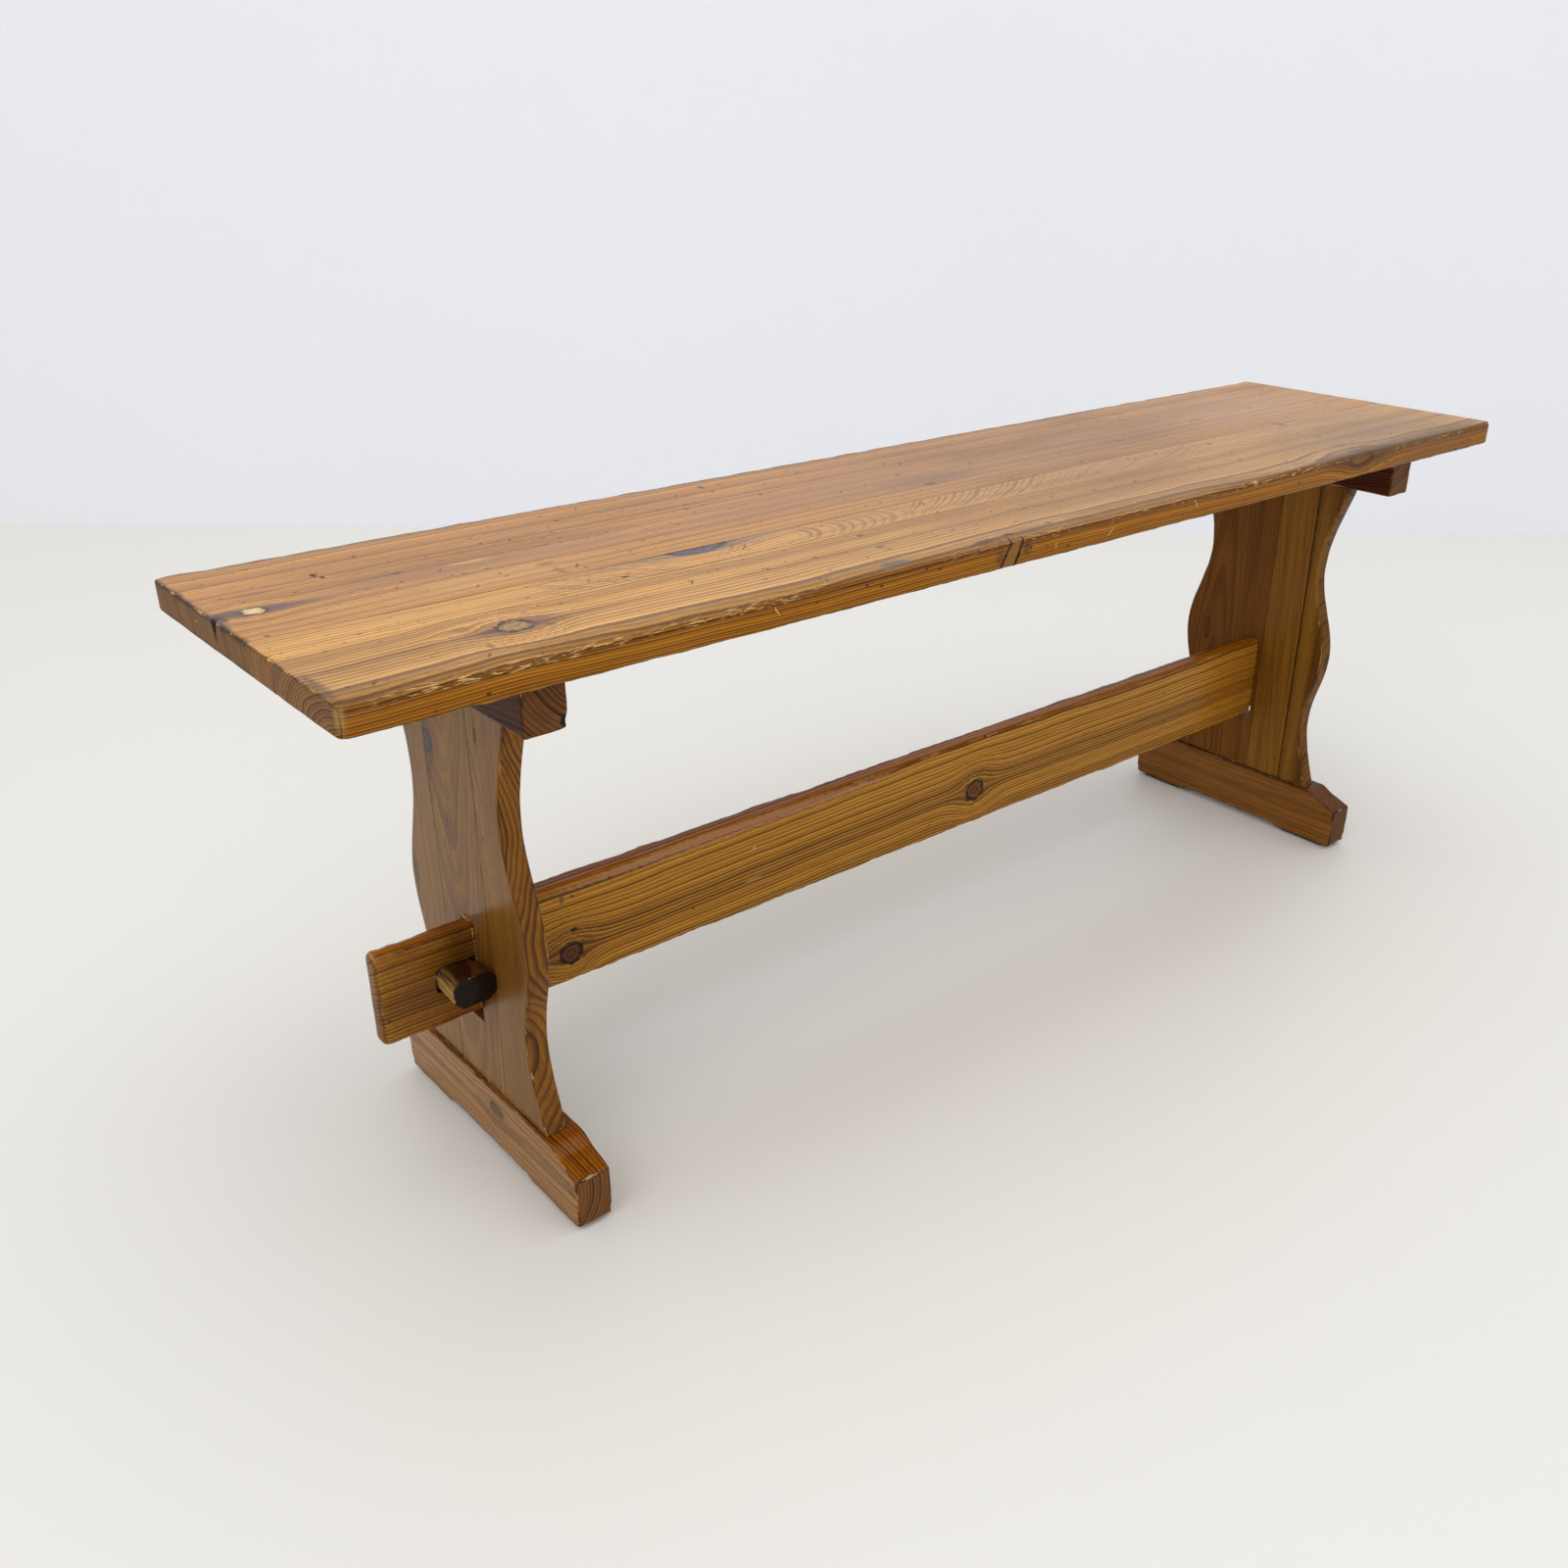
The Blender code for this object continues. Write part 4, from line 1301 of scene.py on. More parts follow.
@dataclass(frozen=True)
class Felt:
    """Pressed dark felt with short fibres."""

    name: str = "pad_felt"
    colour: Colour = (34, 31, 29)
    lint: Colour = (84, 78, 72)
    fibre_scale: float = 900.0

    def material(self) -> Material:
        """The felt as a material.

        Returns:
            The material.
        """
        made, t, shader, place = new_material(self.name)
        fine = t.noise(place, self.fibre_scale, 4.0)
        lint = t.step(t.noise(place * (1.0, 4.0, 2.0), 420.0, 2.0), 0.6, 0.75)
        shader["Base Color"] = t.blend(lint * 0.5, self.colour, self.lint).scaled(0.6 + fine)
        shader["Roughness"] = 0.8 + fine * 0.2
        shader["Normal"] = t.node("ShaderNodeBump", {"Height": fine, "Distance": 0.0004, "Strength": 0.8})[0]
        shader["Sheen Weight"] = 0.3
        return made


@dataclass(frozen=True)
class Steel:
    """Zinced screw steel, a little tarnished and rubbed by the driver."""

    name: str = "screw_steel"
    colour: Colour = (150, 146, 136)
    tarnish: Colour = (92, 72, 48)

    def material(self) -> Material:
        """The steel as a material.

        Returns:
            The material.
        """
        made, t, shader, place = new_material(self.name)
        blotch = t.step(t.noise(place, 700.0, 4.0), 0.45, 0.65)
        lines = t.noise(place * (600.0, 4200.0, 600.0), 1.0, 2.0)
        shader["Base Color"] = t.blend(blotch * 0.7, self.colour, self.tarnish)
        shader["Roughness"] = 0.22 + (blotch * 0.25 + lines * 0.25)
        shader["Normal"] = t.node(
            "ShaderNodeBump", {"Height": lines, "Distance": 0.00005, "Strength": 0.5},
        )[0]
        shader["Metallic"] = 0.9
        return made


# Geometry node trees


class Makers:
    """The geometry node trees: each makes a piece that repeats or follows a rule."""

    def __init__(self) -> None:
        """Builds the trees."""
        self.wave = self.build_wave()
        self.turned = self.build_turned()
        self.pads = self.build_pads()
        self.splinters = self.build_splinters()

    def finish_tree(self, t: Tree, geometry: Wire, material: Wire, out: Node) -> None:
        """Ends a tree: instances made real, then the finish.

        Args:
            t: the tree.
            geometry: what it has made.
            material: the finish it is given.
            out: its output node.
        """
        real = t.node("GeometryNodeRealizeInstances", {"Geometry": geometry})
        dressed = t.node("GeometryNodeSetMaterial", {"Geometry": real[0], "Material": material})
        out["Geometry"] = dressed[0]

    def drawn(self, t: Tree, seed: Any, least: Any, most: Any) -> Wire:
        """A random vector for each point.

        Args:
            t: the tree.
            seed: picks the vectors.
            least: the smallest of each number.
            most: the largest of each number.

        Returns:
            The vector.
        """
        made = t.node("FunctionNodeRandomValue", {"Seed": seed}, data_type="FLOAT_VECTOR")
        made[0], made[1] = least, most
        return made[0]

    def build_wave(self) -> Group:
        """A stave's free edge drawn to the template: half cosine waves between waists and crests.

        Returns:
            The group.
        """
        inputs: dict[str, Any] = {
            "Geometry": None, "Material": None, "Way": 1.0, "Still Line": 0.0, "Free Line": 0.08,
            "Drawn Half Width": 0.09,
        }
        for i in range(5):
            inputs[f"Height {i + 1}"] = 0.0
            inputs[f"Half Width {i + 1}"] = 0.08
        t, i, o = new_group("wave_edge", "GeometryNodeTree", inputs, ("Geometry",))
        _, across, up = t.parts(t.node("GeometryNodeInputPosition")[0])
        width = i["Half Width 1"]
        for n in range(1, 5):
            low, high = i[f"Height {n}"], i[f"Height {n + 1}"]
            share = t.node("ShaderNodeMapRange", {"Value": up, "From Min": low, "From Max": high})[0]
            turn = t.math("COSINE", share * math.pi)
            swing = (1 - turn) * 0.5
            change = i[f"Half Width {n + 1}"] - i[f"Half Width {n}"]
            width = t.math("MULTIPLY_ADD", swing, change, width)
        out_share = t.node(
            "ShaderNodeMapRange",
            {"Value": across * i["Way"], "From Min": i["Still Line"], "From Max": i["Free Line"]},
        )[0]
        shift = (width - i["Drawn Half Width"]) * out_share * i["Way"]
        moved = t.node(
            "GeometryNodeSetPosition", {"Geometry": i["Geometry"], "Offset": t.combine(0.0, shift, 0.0)},
        )
        self.finish_tree(t, moved[0], i["Material"], o)
        return t.tree

    def build_turned(self) -> Group:
        """Turned pieces, screws or dowels, one at each point of the mesh it is given.

        Returns:
            The group.
        """
        inputs = {
            "Geometry": None, "Material": None, "Bottom": 0.0, "Top": 0.04, "Head Radius": 0.004,
            "Head Share": 0.05, "Shank Radius": 0.002, "Point Share": 0.9, "Point Radius": 0.0002,
            "Dome Share": 0.03, "Thread Pitch": 0.0016, "Thread Depth": 0.0004, "Thread From": 0.4,
            "Sides": 20,
        }
        t, i, o = new_group("turned_piece", "GeometryNodeTree", inputs, ("Geometry",))
        line = t.node(
            "GeometryNodeCurvePrimitiveLine",
            {"Start": t.combine(0.0, 0.0, i["Bottom"]), "End": t.combine(0.0, 0.0, i["Top"])},
        )
        fine = t.node("GeometryNodeResampleCurve", {"Curve": line[0], "Count": 120})
        share = t.node("GeometryNodeSplineParameter")["Factor"]
        in_head = 1 - t.step(share, i["Head Share"] - 0.004, i["Head Share"] + 0.004)
        dome = t.math("MINIMUM", share / i["Dome Share"], 1.0)
        low = 1 - dome
        dome = t.math("SQRT", t.math("MAXIMUM", 1 - low * low, 0.004))
        length = i["Top"] - i["Bottom"]
        turn = t.math("PINGPONG", share * length / i["Thread Pitch"], 0.5)
        threaded = t.math("GREATER_THAN", share, i["Thread From"])
        shank = i["Shank Radius"] - turn * threaded * (i["Thread Depth"] * 2)
        tip = t.node(
            "ShaderNodeMapRange",
            {
                "Value": share, "From Min": i["Point Share"], "From Max": 1.0, "To Min": 1.0,
                "To Max": i["Point Radius"] / i["Shank Radius"],
            },
        )[0]
        shank = shank * tip
        head = i["Head Radius"] * dome
        radius = in_head * head + (1 - in_head) * shank
        round_ = t.node("GeometryNodeCurvePrimitiveCircle", {"Resolution": i["Sides"], "Radius": 1.0})
        sized = t.node("GeometryNodeSetCurveRadius", {"Curve": fine[0], "Radius": radius})
        made = t.node(
            "GeometryNodeCurveToMesh",
            {"Curve": sized[0], "Profile Curve": round_["Curve"], "Fill Caps": True},
        )
        if "Scale" in made.node.inputs:
            made["Scale"] = radius
        set_on = t.node("GeometryNodeInstanceOnPoints", {"Points": i["Geometry"], "Instance": made[0]})
        self.finish_tree(t, set_on[0], i["Material"], o)
        return t.tree

    def build_pads(self) -> Group:
        """Pressed felt pads at the points it is given, frayed a little at their edges.

        Returns:
            The group.
        """
        inputs = {
            "Geometry": None, "Material": None, "Size": (0.023, 0.05, 0.0025), "Fray": 0.0003,
            "Squeeze": 0.0004, "Seed": 4,
        }
        t, i, o = new_group("felt_pads", "GeometryNodeTree", inputs, ("Geometry",))
        cube = t.node(
            "GeometryNodeMeshCube", {"Size": i["Size"], "Vertices X": 24, "Vertices Y": 50, "Vertices Z": 6},
        )
        place = t.node("GeometryNodeInputPosition")[0]
        size_x, size_y, size_z = t.parts(i["Size"])
        x, y, z = t.parts(place)
        lift = t.math("ABSOLUTE", z) / (size_z * 0.5)
        draw_in = lift * lift * i["Squeeze"]
        rough = t.noise(place + t.combine(i["Seed"], 0.0, 0.0), 900.0, 2.0)
        draw_in = draw_in + rough * i["Fray"]
        side_x = t.math("SIGN", x) * t.step(t.math("ABSOLUTE", x), size_x * 0.4, size_x * 0.5)
        side_y = t.math("SIGN", y) * t.step(t.math("ABSOLUTE", y), size_y * 0.46, size_y * 0.5)
        inward = t.combine(side_x * draw_in * -1, side_y * draw_in * -1, 0.0)
        moved = t.node("GeometryNodeSetPosition", {"Geometry": cube[0], "Offset": inward})
        set_on = t.node("GeometryNodeInstanceOnPoints", {"Points": i["Geometry"], "Instance": moved[0]})
        self.finish_tree(t, set_on[0], i["Material"], o)
        return t.tree

    def build_splinters(self) -> Group:
        """Torn fibres strewn along the guide lines it is given.

        Returns:
            The group.
        """
        inputs = {
            "Geometry": None, "Material": None, "Count": 60, "Length": 0.003, "Thickness": 0.00022,
            "Lean": (0.0, 0.0, 0.0), "Spread": 0.5, "Seed": 3,
        }
        t, i, o = new_group("torn_fibres", "GeometryNodeTree", inputs, ("Geometry",))
        curve = t.node("GeometryNodeMeshToCurve", {"Mesh": i["Geometry"]})
        points = t.node("GeometryNodeCurveToPoints", {"Curve": curve[0], "Count": i["Count"]}, mode="COUNT")
        sliver = t.node(
            "GeometryNodeMeshCone",
            {
                "Vertices": 4, "Side Segments": 3, "Radius Top": i["Thickness"] * 0.15,
                "Radius Bottom": i["Thickness"], "Depth": i["Length"],
            },
        )
        sway = [t.vector("SCALE", (way, way, way), scale=i["Spread"]) for way in (-1.0, 1.0)]
        turn = self.drawn(t, i["Seed"], *sway)
        size = self.drawn(t, i["Seed"] + 7, (0.5, 0.5, 0.25), (1.5, 1.2, 1.3))
        shift = self.drawn(t, i["Seed"] + 13, (-0.0006, -0.0006, -0.0006), (0.0006, 0.0006, 0.0006))
        moved = t.node("GeometryNodeSetPosition", {"Geometry": points["Points"], "Offset": shift})
        slivers = {
            "Points": moved[0], "Instance": sliver["Mesh"], "Rotation": turn + i["Lean"], "Scale": size,
        }
        set_on = t.node("GeometryNodeInstanceOnPoints", slivers)
        self.finish_tree(t, set_on[0], i["Material"], o)
        return t.tree

    def make(self, name: str, source: Mesh, group: Group, values: dict[str, Any]) -> Piece:
        """Runs a tree on a mesh and keeps the plain mesh that comes out.

        Args:
            name: the piece's name.
            source: what the tree is given.
            group: the tree.
            values: its inputs by name.

        Returns:
            The object, with no modifier.
        """
        piece = add_object(source, name, None)
        modifier = piece.modifiers.new("maker", "NODES")
        modifier.node_group = group
        sockets = [item for item in group.interface.items_tree if item.item_type == "SOCKET"]
        known = {socket.name: socket.identifier for socket in sockets if socket.in_out == "INPUT"}
        for title, value in values.items():
            modifier[known[title]] = value
        settled(piece)
        piece.data.name = name
        smooth(piece.data)
        return piece


def point_mesh(points: list[Point], edges: list[tuple[int, int]] | None = None) -> Mesh:
    """A mesh of loose points, or of lines between them.

    Args:
        points: their places.
        edges: pairs of points with a line between them.

    Returns:
        The mesh.
    """
    made = bpy.data.meshes.new("points")
    made.from_pydata(points, edges or [], [])
    return made


# Finishes


def stain_and_sheen(
    x: float, y: float, long: float, wide: float, colour: Colour, share: float = 0.7, ragged: float = 0.5,
    soft: float = 0.45,
) -> Patch:
    """A stained place on the top of the seat, or a patch of painted sheen."""
    return Patch((x, y, SEAT_TOP), (long, wide, 0.004), colour, share, ragged, soft)


def scratch(
    x: float, y: float, x_end: float, y_end: float, width: float, colour: Colour, share: float = 0.8,
    ragged: float = 0.3,
) -> Score:
    """A line on the top of the seat."""
    return Score((x, y, SEAT_TOP), (x_end, y_end, SEAT_TOP), width, colour, share, ragged)


def seat_finishes() -> dict[str, Pine]:
    """The finishes of the three seat boards, cut from different logs.

    Returns:
        The finish of each board by its place.
    """
    base = Pine(
        name="seat_pine", grain=Grain.ALONG_BENCH, pith=(0.0, 0.0, 0.0), early=(222, 168, 94),
        late=(98, 58, 30), streak=(178, 122, 68), ring_width=0.002, late_share=0.6, ring_contrast=1.0,
        grit=0.55, wander=0.003, rate=5.0, waver=0.0014, streak_share=0.26, top_tint=(252, 248, 238),
        side_tint=(190, 170, 96), front_tint=(200, 172, 76), end_tint=(150, 136, 110), worn=(222, 186, 118),
        wear=0.02, dark_arris=(46, 30, 20), dark_share=0.45, rim_from=0.75, grime=(118, 88, 64),
        grime_share=0.38, roughness=0.42, coat=0.03, top_coat=0.2, coat_roughness=0.3, gloss=0.1,
        pit_density=0.4, speck_density=0.55, speck_scale=200.0, nick_density=0.55, relief=0.0004,
    )
    ink, umber, rust, flax = (30, 22, 20), (92, 62, 44), (112, 66, 40), (226, 190, 140)
    front = replace(
        base, name="seat_pine_front", pith=(0.0, -0.156, 0.4225), ring_width=0.0019, oval=0.52, uneven=1.2,
        swell=(-0.51, 0.05, 0.002), band=(206, 198, 142), seed=3.0, end_tint=(156, 140, 112),
        knots=(
            Knot(
                (-0.475, -0.093, 0.45), 0.0098, 2, long=1.15, push=0.95, heart=(190, 146, 88),
                rim=(48, 32, 30), halo=(120, 82, 64), rings=4.6, ragged=1.1,
            ),
            Knot((-0.504, -0.081, 0.45), 0.0032, 2, long=1.1, push=1.0, shown=0.0, halo_share=0.0),
            Knot((-0.518, -0.083, 0.45), 0.0028, 2, long=1.1, push=1.0, shown=0.0, halo_share=0.0),
            Knot(
                (0.378, -0.15, 0.446), 0.009, 1, push=0.95, halo=(84, 56, 30), halo_share=0.55, rings=1.0,
                shown=0.25, ragged=0.8,
            ),
        ),
        patches=(
            stain_and_sheen(0.12, -0.1, 0.42, 0.09, (148, 112, 80), 0.4, 0.5, 0.9),
            stain_and_sheen(0.48, -0.1, 0.17, 0.07, (124, 100, 80), 0.58, 0.6, 0.9),
            stain_and_sheen(0.44, -0.146, 0.19, 0.012, (98, 70, 36), 0.78, 0.9, 0.7),
            stain_and_sheen(-0.49, -0.0945, 0.0095, 0.0024, (58, 38, 36), 0.9, 0.4, 0.6),
            stain_and_sheen(-0.461, -0.0915, 0.01, 0.0038, (104, 72, 60), 0.6, 0.5, 0.7),
            stain_and_sheen(-0.4825, -0.101, 0.009, 0.003, (84, 60, 56), 0.6, 0.5, 0.7),
            stain_and_sheen(-0.1995, -0.141, 0.015, 0.0052, (96, 92, 88), 0.8),
            stain_and_sheen(-0.171, -0.07, 0.0035, 0.0025, umber, 0.75, 0.9, 0.5),
            stain_and_sheen(-0.18, -0.103, 0.0045, 0.003, umber, 0.75, 0.9, 0.5),
            stain_and_sheen(-0.294, -0.113, 0.0025, 0.0012, ink, 0.9, 0.4, 0.4),
            stain_and_sheen(-0.0504, -0.116, 0.0022, 0.0014, ink, 0.85, 0.4, 0.4),
            stain_and_sheen(-0.0158, -0.092, 0.0022, 0.0012, ink, 0.85), stain_and_sheen(0.0293, -0.08, 0.0022, 0.0012, ink, 0.8),
            stain_and_sheen(-0.5045, -0.117, 0.0028, 0.005, rust, 0.6, 0.9, 0.6),
            stain_and_sheen(-0.345, -0.093, 0.06, 0.01, (206, 156, 84), 0.45, 0.8, 0.8),
            stain_and_sheen(0.4115, -0.081, 0.0045, 0.0038, umber, 0.6, 0.9, 0.7),
            stain_and_sheen(0.365, -0.141, 0.014, 0.0055, (196, 152, 86), 0.4, 0.7, 0.5),
            stain_and_sheen(0.4, -0.131, 0.03, 0.003, umber, 0.45, 0.8, 0.7),
            stain_and_sheen(-0.034, -0.134, 0.004, 0.003, umber, 0.75, 0.7, 0.5),
            stain_and_sheen(-0.112, -0.141, 0.01, 0.0055, (84, 58, 38), 0.6, 0.8, 0.7),
            stain_and_sheen(-0.06, -0.137, 0.026, 0.005, (96, 68, 44), 0.4, 0.8, 0.8),
            stain_and_sheen(-0.612, -0.12, 0.005, 0.03, (78, 54, 44), 0.6, 0.7, 0.6),
            Patch((-0.101, -0.149, 0.437), (0.006, 0.01, 0.008), (62, 38, 20), 0.55, 0.8, 0.8),
            Patch((-0.0735, -0.149, 0.441), (0.005, 0.01, 0.007), (54, 34, 20), 0.55, 0.8, 0.8),
            Patch((-0.616, -0.148, 0.44), (0.006, 0.005, 0.01), (188, 156, 100), 0.55, 0.9, 0.8),
        ),
        scores=(
            *(
                Score((x, -0.147, high), (x_low, -0.147, low), wide, colour, share, ragged, (1, weight, 1))
                for x, high, x_low, low, wide, colour, share, ragged, weight in (
                    (-0.0832, 0.448, -0.0951, 0.4265, 0.0068, (134, 92, 44), 0.9, 0.06, 0.25),
                    (-0.0885, 0.449, -0.103, 0.4255, 0.0019, (26, 16, 10), 0.97, 0.25, 0.1),
                    (-0.0765, 0.449, -0.0872, 0.4255, 0.0017, (26, 16, 10), 0.97, 0.25, 0.1),
                )
            ),
            Score((-0.0885, -0.1375, 0.449), (-0.0775, -0.1375, 0.449), 0.0024, (40, 27, 18), 0.95, 0.4),
            Score((-0.316, -0.15, 0.447), (-0.309, -0.15, 0.434), 0.0007, (216, 186, 130), 0.8, 0.6),
            Score((0.384, -0.15, 0.443), (0.385, -0.15, 0.429), 0.0006, (48, 30, 20), 0.9, 0.2),
            Score((0.13, -0.15, 0.444), (0.134, -0.15, 0.438), 0.0014, (214, 166, 130), 0.75, 0.6),
            Score((0.028, -0.15, 0.44), (0.02, -0.15, 0.433), 0.0006, (216, 186, 130), 0.75, 0.5),
            Score((-0.04, -0.15, 0.44), (-0.041, -0.15, 0.434), 0.0007, (216, 186, 130), 0.75, 0.5),
            scratch(0.373, -0.116, 0.423, -0.1145, 0.0009, umber, 0.7),
            scratch(0.376, -0.119, 0.42, -0.118, 0.0007, umber, 0.6),
            scratch(-0.42, -0.07, -0.404, -0.078, 0.0005, flax, 0.5, 0.6)
        )
    )
    middle = replace(
        base, name="seat_pine_middle", pith=(0.0, 0.105, 0.452), lean=(0.006, 0.0), ring_width=0.0047,
        late_share=0.45, ring_contrast=0.75, seed=21.0, uneven=1.6,
        knots=(
            Knot(
                (-0.2875, -0.016, 0.45), 0.0165, 2, depth=0.02, long=1.5, push=0.9, heart=(116, 102, 110),
                rim=(52, 46, 54), halo=(120, 96, 92), halo_share=0.55, rings=2.2, ragged=0.5,
            ),
        ),
        patches=(
            stain_and_sheen(0.15, -0.04, 0.43, 0.07, (144, 110, 82), 0.42, 0.5, 0.9),
            stain_and_sheen(0.5, -0.04, 0.16, 0.06, (140, 114, 94), 0.45, 0.6, 0.9),
            stain_and_sheen(-0.365, -0.0485, 0.0034, 0.0026, (56, 40, 36), 0.9, 0.5, 0.4),
            stain_and_sheen(-0.262, -0.023, 0.016, 0.003, (74, 62, 62), 0.8, 0.5, 0.6),
            stain_and_sheen(0.432, -0.0245, 0.006, 0.006, (140, 84, 56), 0.75, 0.4, 0.5),
            stain_and_sheen(0.12, -0.03, 0.06, 0.01, (182, 138, 92), 0.3, 0.8, 0.8),
        ),
        scores=(
            scratch(-0.303, -0.0235, -0.289, -0.0305, 0.0013, ink, 0.9),
            scratch(-0.289, -0.0305, -0.277, -0.024, 0.0011, ink),
            scratch(-0.296, -0.022, -0.286, -0.0265, 0.0009, flax),
            scratch(-0.41, -0.0215, -0.25, -0.0207, 0.0008, ink, 0.7, 0.2),
            scratch(-0.602, -0.0207, -0.43, -0.0207, 0.0007, umber, 0.55, 0.2),
            scratch(-0.4, -0.0572, -0.15, -0.0572, 0.0007, umber, 0.45, 0.2),
            scratch(-0.264, -0.025, -0.2525, -0.036, 0.0013, rust, 0.7),
            scratch(-0.264, -0.0475, -0.2525, -0.036, 0.0013, rust, 0.7),
            scratch(-0.25, -0.025, -0.2385, -0.037, 0.0011, rust, 0.5),
            scratch(-0.272, -0.043, -0.262, -0.034, 0.0011, rust, 0.5),
        ),
        feathers=(
            Feather(
                (-0.435, -0.039, 0.45), (-0.31, -0.039, 0.45), 0.019, 0.0088, (128, 84, 52), 0.7, -0.022,
                0.004,
            ),
            Feather(
                (-0.215, -0.039, 0.45), (-0.075, -0.039, 0.45), 0.019, 0.0105, (124, 84, 56), 0.75, 0.004,
                0.014,
            ),
            Feather(
                (-0.11, -0.039, 0.45), (0.15, -0.039, 0.45), 0.019, 0.0092, (120, 80, 52), 0.85, 0.03, 0.006,
            ),
            Feather((0.09, -0.039, 0.45), (0.31, -0.039, 0.45), 0.019, 0.01, (120, 80, 52), 0.75, 0.05, 0.004)
        ),
    )
    back = replace(
        base, name="seat_pine_back", pith=(0.0, 0.185, 0.392), lean=(0.012, 0.01), early=(208, 154, 84),
        ring_width=0.0036, ring_contrast=0.76, wander=0.005, rate=4.0, taper=0.12, uneven=2.0, waver=0.0026,
        streak_share=0.36, top_tint=(250, 240, 230), dark_share=0.85, rim_from=0.3, grime=(126, 94, 70),
        grime_share=0.42, grime_band=(0.48, 0.7), pit_density=0.5, speck_density=0.6, nick_density=0.6,
        seed=11.0,
        knots=(
            Knot(
                (-0.589, 0.037, 0.45), 0.0078, 2, depth=0.006, long=1.05, push=0.85, heart=(232, 200, 146),
                rim=(64, 48, 46), halo=(104, 78, 72), halo_share=0.85, rings=0.5, ragged=1.0,
            ),
            Knot(
                (-0.578, 0.071, 0.45), 0.003, 2, long=2.6, push=0.9, heart=(150, 104, 70), rim=(140, 96, 64),
                halo=(160, 112, 74), halo_share=0.5, shown=0.5,
            ),
        ),
        patches=(
            stain_and_sheen(0.18, 0.055, 0.44, 0.13, (140, 108, 86), 0.48, 0.6, 0.9),
            stain_and_sheen(-0.566, 0.035, 0.03, 0.0085, (108, 80, 72), 0.75, 0.5, 0.7),
            stain_and_sheen(-0.606, 0.04, 0.016, 0.008, (92, 68, 66), 0.75, 0.5, 0.7),
            stain_and_sheen(-0.41, 0.0415, 0.14, 0.016, (160, 120, 88), 0.42, 0.4, 0.35),
            stain_and_sheen(-0.13, 0.038, 0.19, 0.02, (156, 116, 86), 0.36, 0.5, 0.5),
            stain_and_sheen(-0.5285, 0.088, 0.0022, 0.0038, ink, 0.97, 0.25, 0.25),
            stain_and_sheen(-0.5255, 0.08, 0.0018, 0.0036, ink, 0.97, 0.25, 0.25),
            stain_and_sheen(-0.494, 0.006, 0.016, 0.009, (160, 108, 58), 0.55, 0.9, 0.8),
            stain_and_sheen(-0.45, 0.008, 0.12, 0.018, (212, 166, 100), 0.35, 0.6, 0.8),
            stain_and_sheen(-0.483, 0.056, 0.005, 0.003, umber, 0.75, 0.8, 0.6),
            stain_and_sheen(-0.391, 0.0125, 0.009, 0.004, rust, 0.6, 0.9, 0.7),
            stain_and_sheen(-0.392, -0.008, 0.0045, 0.01, rust, 0.45, 0.9, 0.8),
            stain_and_sheen(-0.43, 0.051, 0.019, 0.0028, (222, 178, 116), 0.6, 0.6, 0.6),
            stain_and_sheen(-0.326, 0.109, 0.0026, 0.002, ink, 0.85),
            stain_and_sheen(-0.177, 0.126, 0.0028, 0.0055, umber, 0.85, 0.6, 0.5),
            stain_and_sheen(-0.228, 0.075, 0.0028, 0.003, umber, 0.8), stain_and_sheen(-0.153, 0.076, 0.0022, 0.0032, umber, 0.8),
            stain_and_sheen(-0.16, 0.124, 0.0028, 0.0022, umber, 0.8),
            stain_and_sheen(-0.005, 0.026, 0.062, 0.017, (128, 96, 72), 0.55, 0.9, 0.8),
            stain_and_sheen(-0.017, 0.015, 0.006, 0.0034, (84, 58, 40), 0.8, 0.8, 0.6),
            stain_and_sheen(-0.018, 0.056, 0.003, 0.0036, umber, 0.75),
            stain_and_sheen(0.1, 0.069, 0.06, 0.006, (122, 92, 62), 0.5, 0.9, 0.8),
            stain_and_sheen(0.176, 0.051, 0.08, 0.006, (128, 98, 74), 0.5, 0.9, 0.8),
            stain_and_sheen(0.384, 0.045, 0.0085, 0.0048, (96, 90, 92), 0.8, 0.5, 0.6),
            stain_and_sheen(0.344, 0.117, 0.009, 0.004, (110, 84, 74), 0.65, 0.8, 0.6),
            stain_and_sheen(0.265, 0.082, 0.012, 0.003, umber, 0.4, 0.8, 0.8),
            stain_and_sheen(0.432, -0.0165, 0.006, 0.006, (140, 84, 56), 0.75, 0.4, 0.5),
            # painted sheen: a paler pinkish patch over the far end of the back board, where the top is seen
            # at a grazing angle
            stain_and_sheen(0.48, 0.06, 0.15, 0.08, (196, 160, 132), 0.35, 0.5, 0.9),
            stain_and_sheen(-0.612, 0.034, 0.006, 0.012, (64, 46, 48), 0.8, 0.5, 0.5),
            *(
                Patch((x, 0.1495, 0.446), (0.3, 0.0085, 0.012), (82, 58, 42), 0.8, 0.9, 0.55)
                for x in (-0.46, -0.06, 0.34)
            )
        ),
        scores=(
            scratch(-0.54, 0.0555, -0.43, 0.059, 0.0011, (104, 74, 64), 0.7, 0.6),
            scratch(-0.43, 0.059, -0.3, 0.05, 0.0012, (104, 74, 64), 0.75, 0.6),
            scratch(-0.545, 0.027, -0.38, 0.024, 0.0011, (112, 80, 66), 0.6, 0.6),
            scratch(-0.2865, 0.073, -0.2845, -0.0055, 0.0007, umber, 0.6, 0.4),
            scratch(-0.225, 0.081, -0.207, 0.066, 0.001, umber, 0.6, 0.6),
            scratch(-0.207, 0.066, -0.2, 0.054, 0.001, umber, 0.6, 0.5),
            scratch(-0.208, 0.05, -0.19, 0.058, 0.0008, umber, 0.6, 0.6),
            scratch(-0.3, 0.02, -0.2, 0.018, 0.001, (112, 84, 78), 0.5, 0.6),
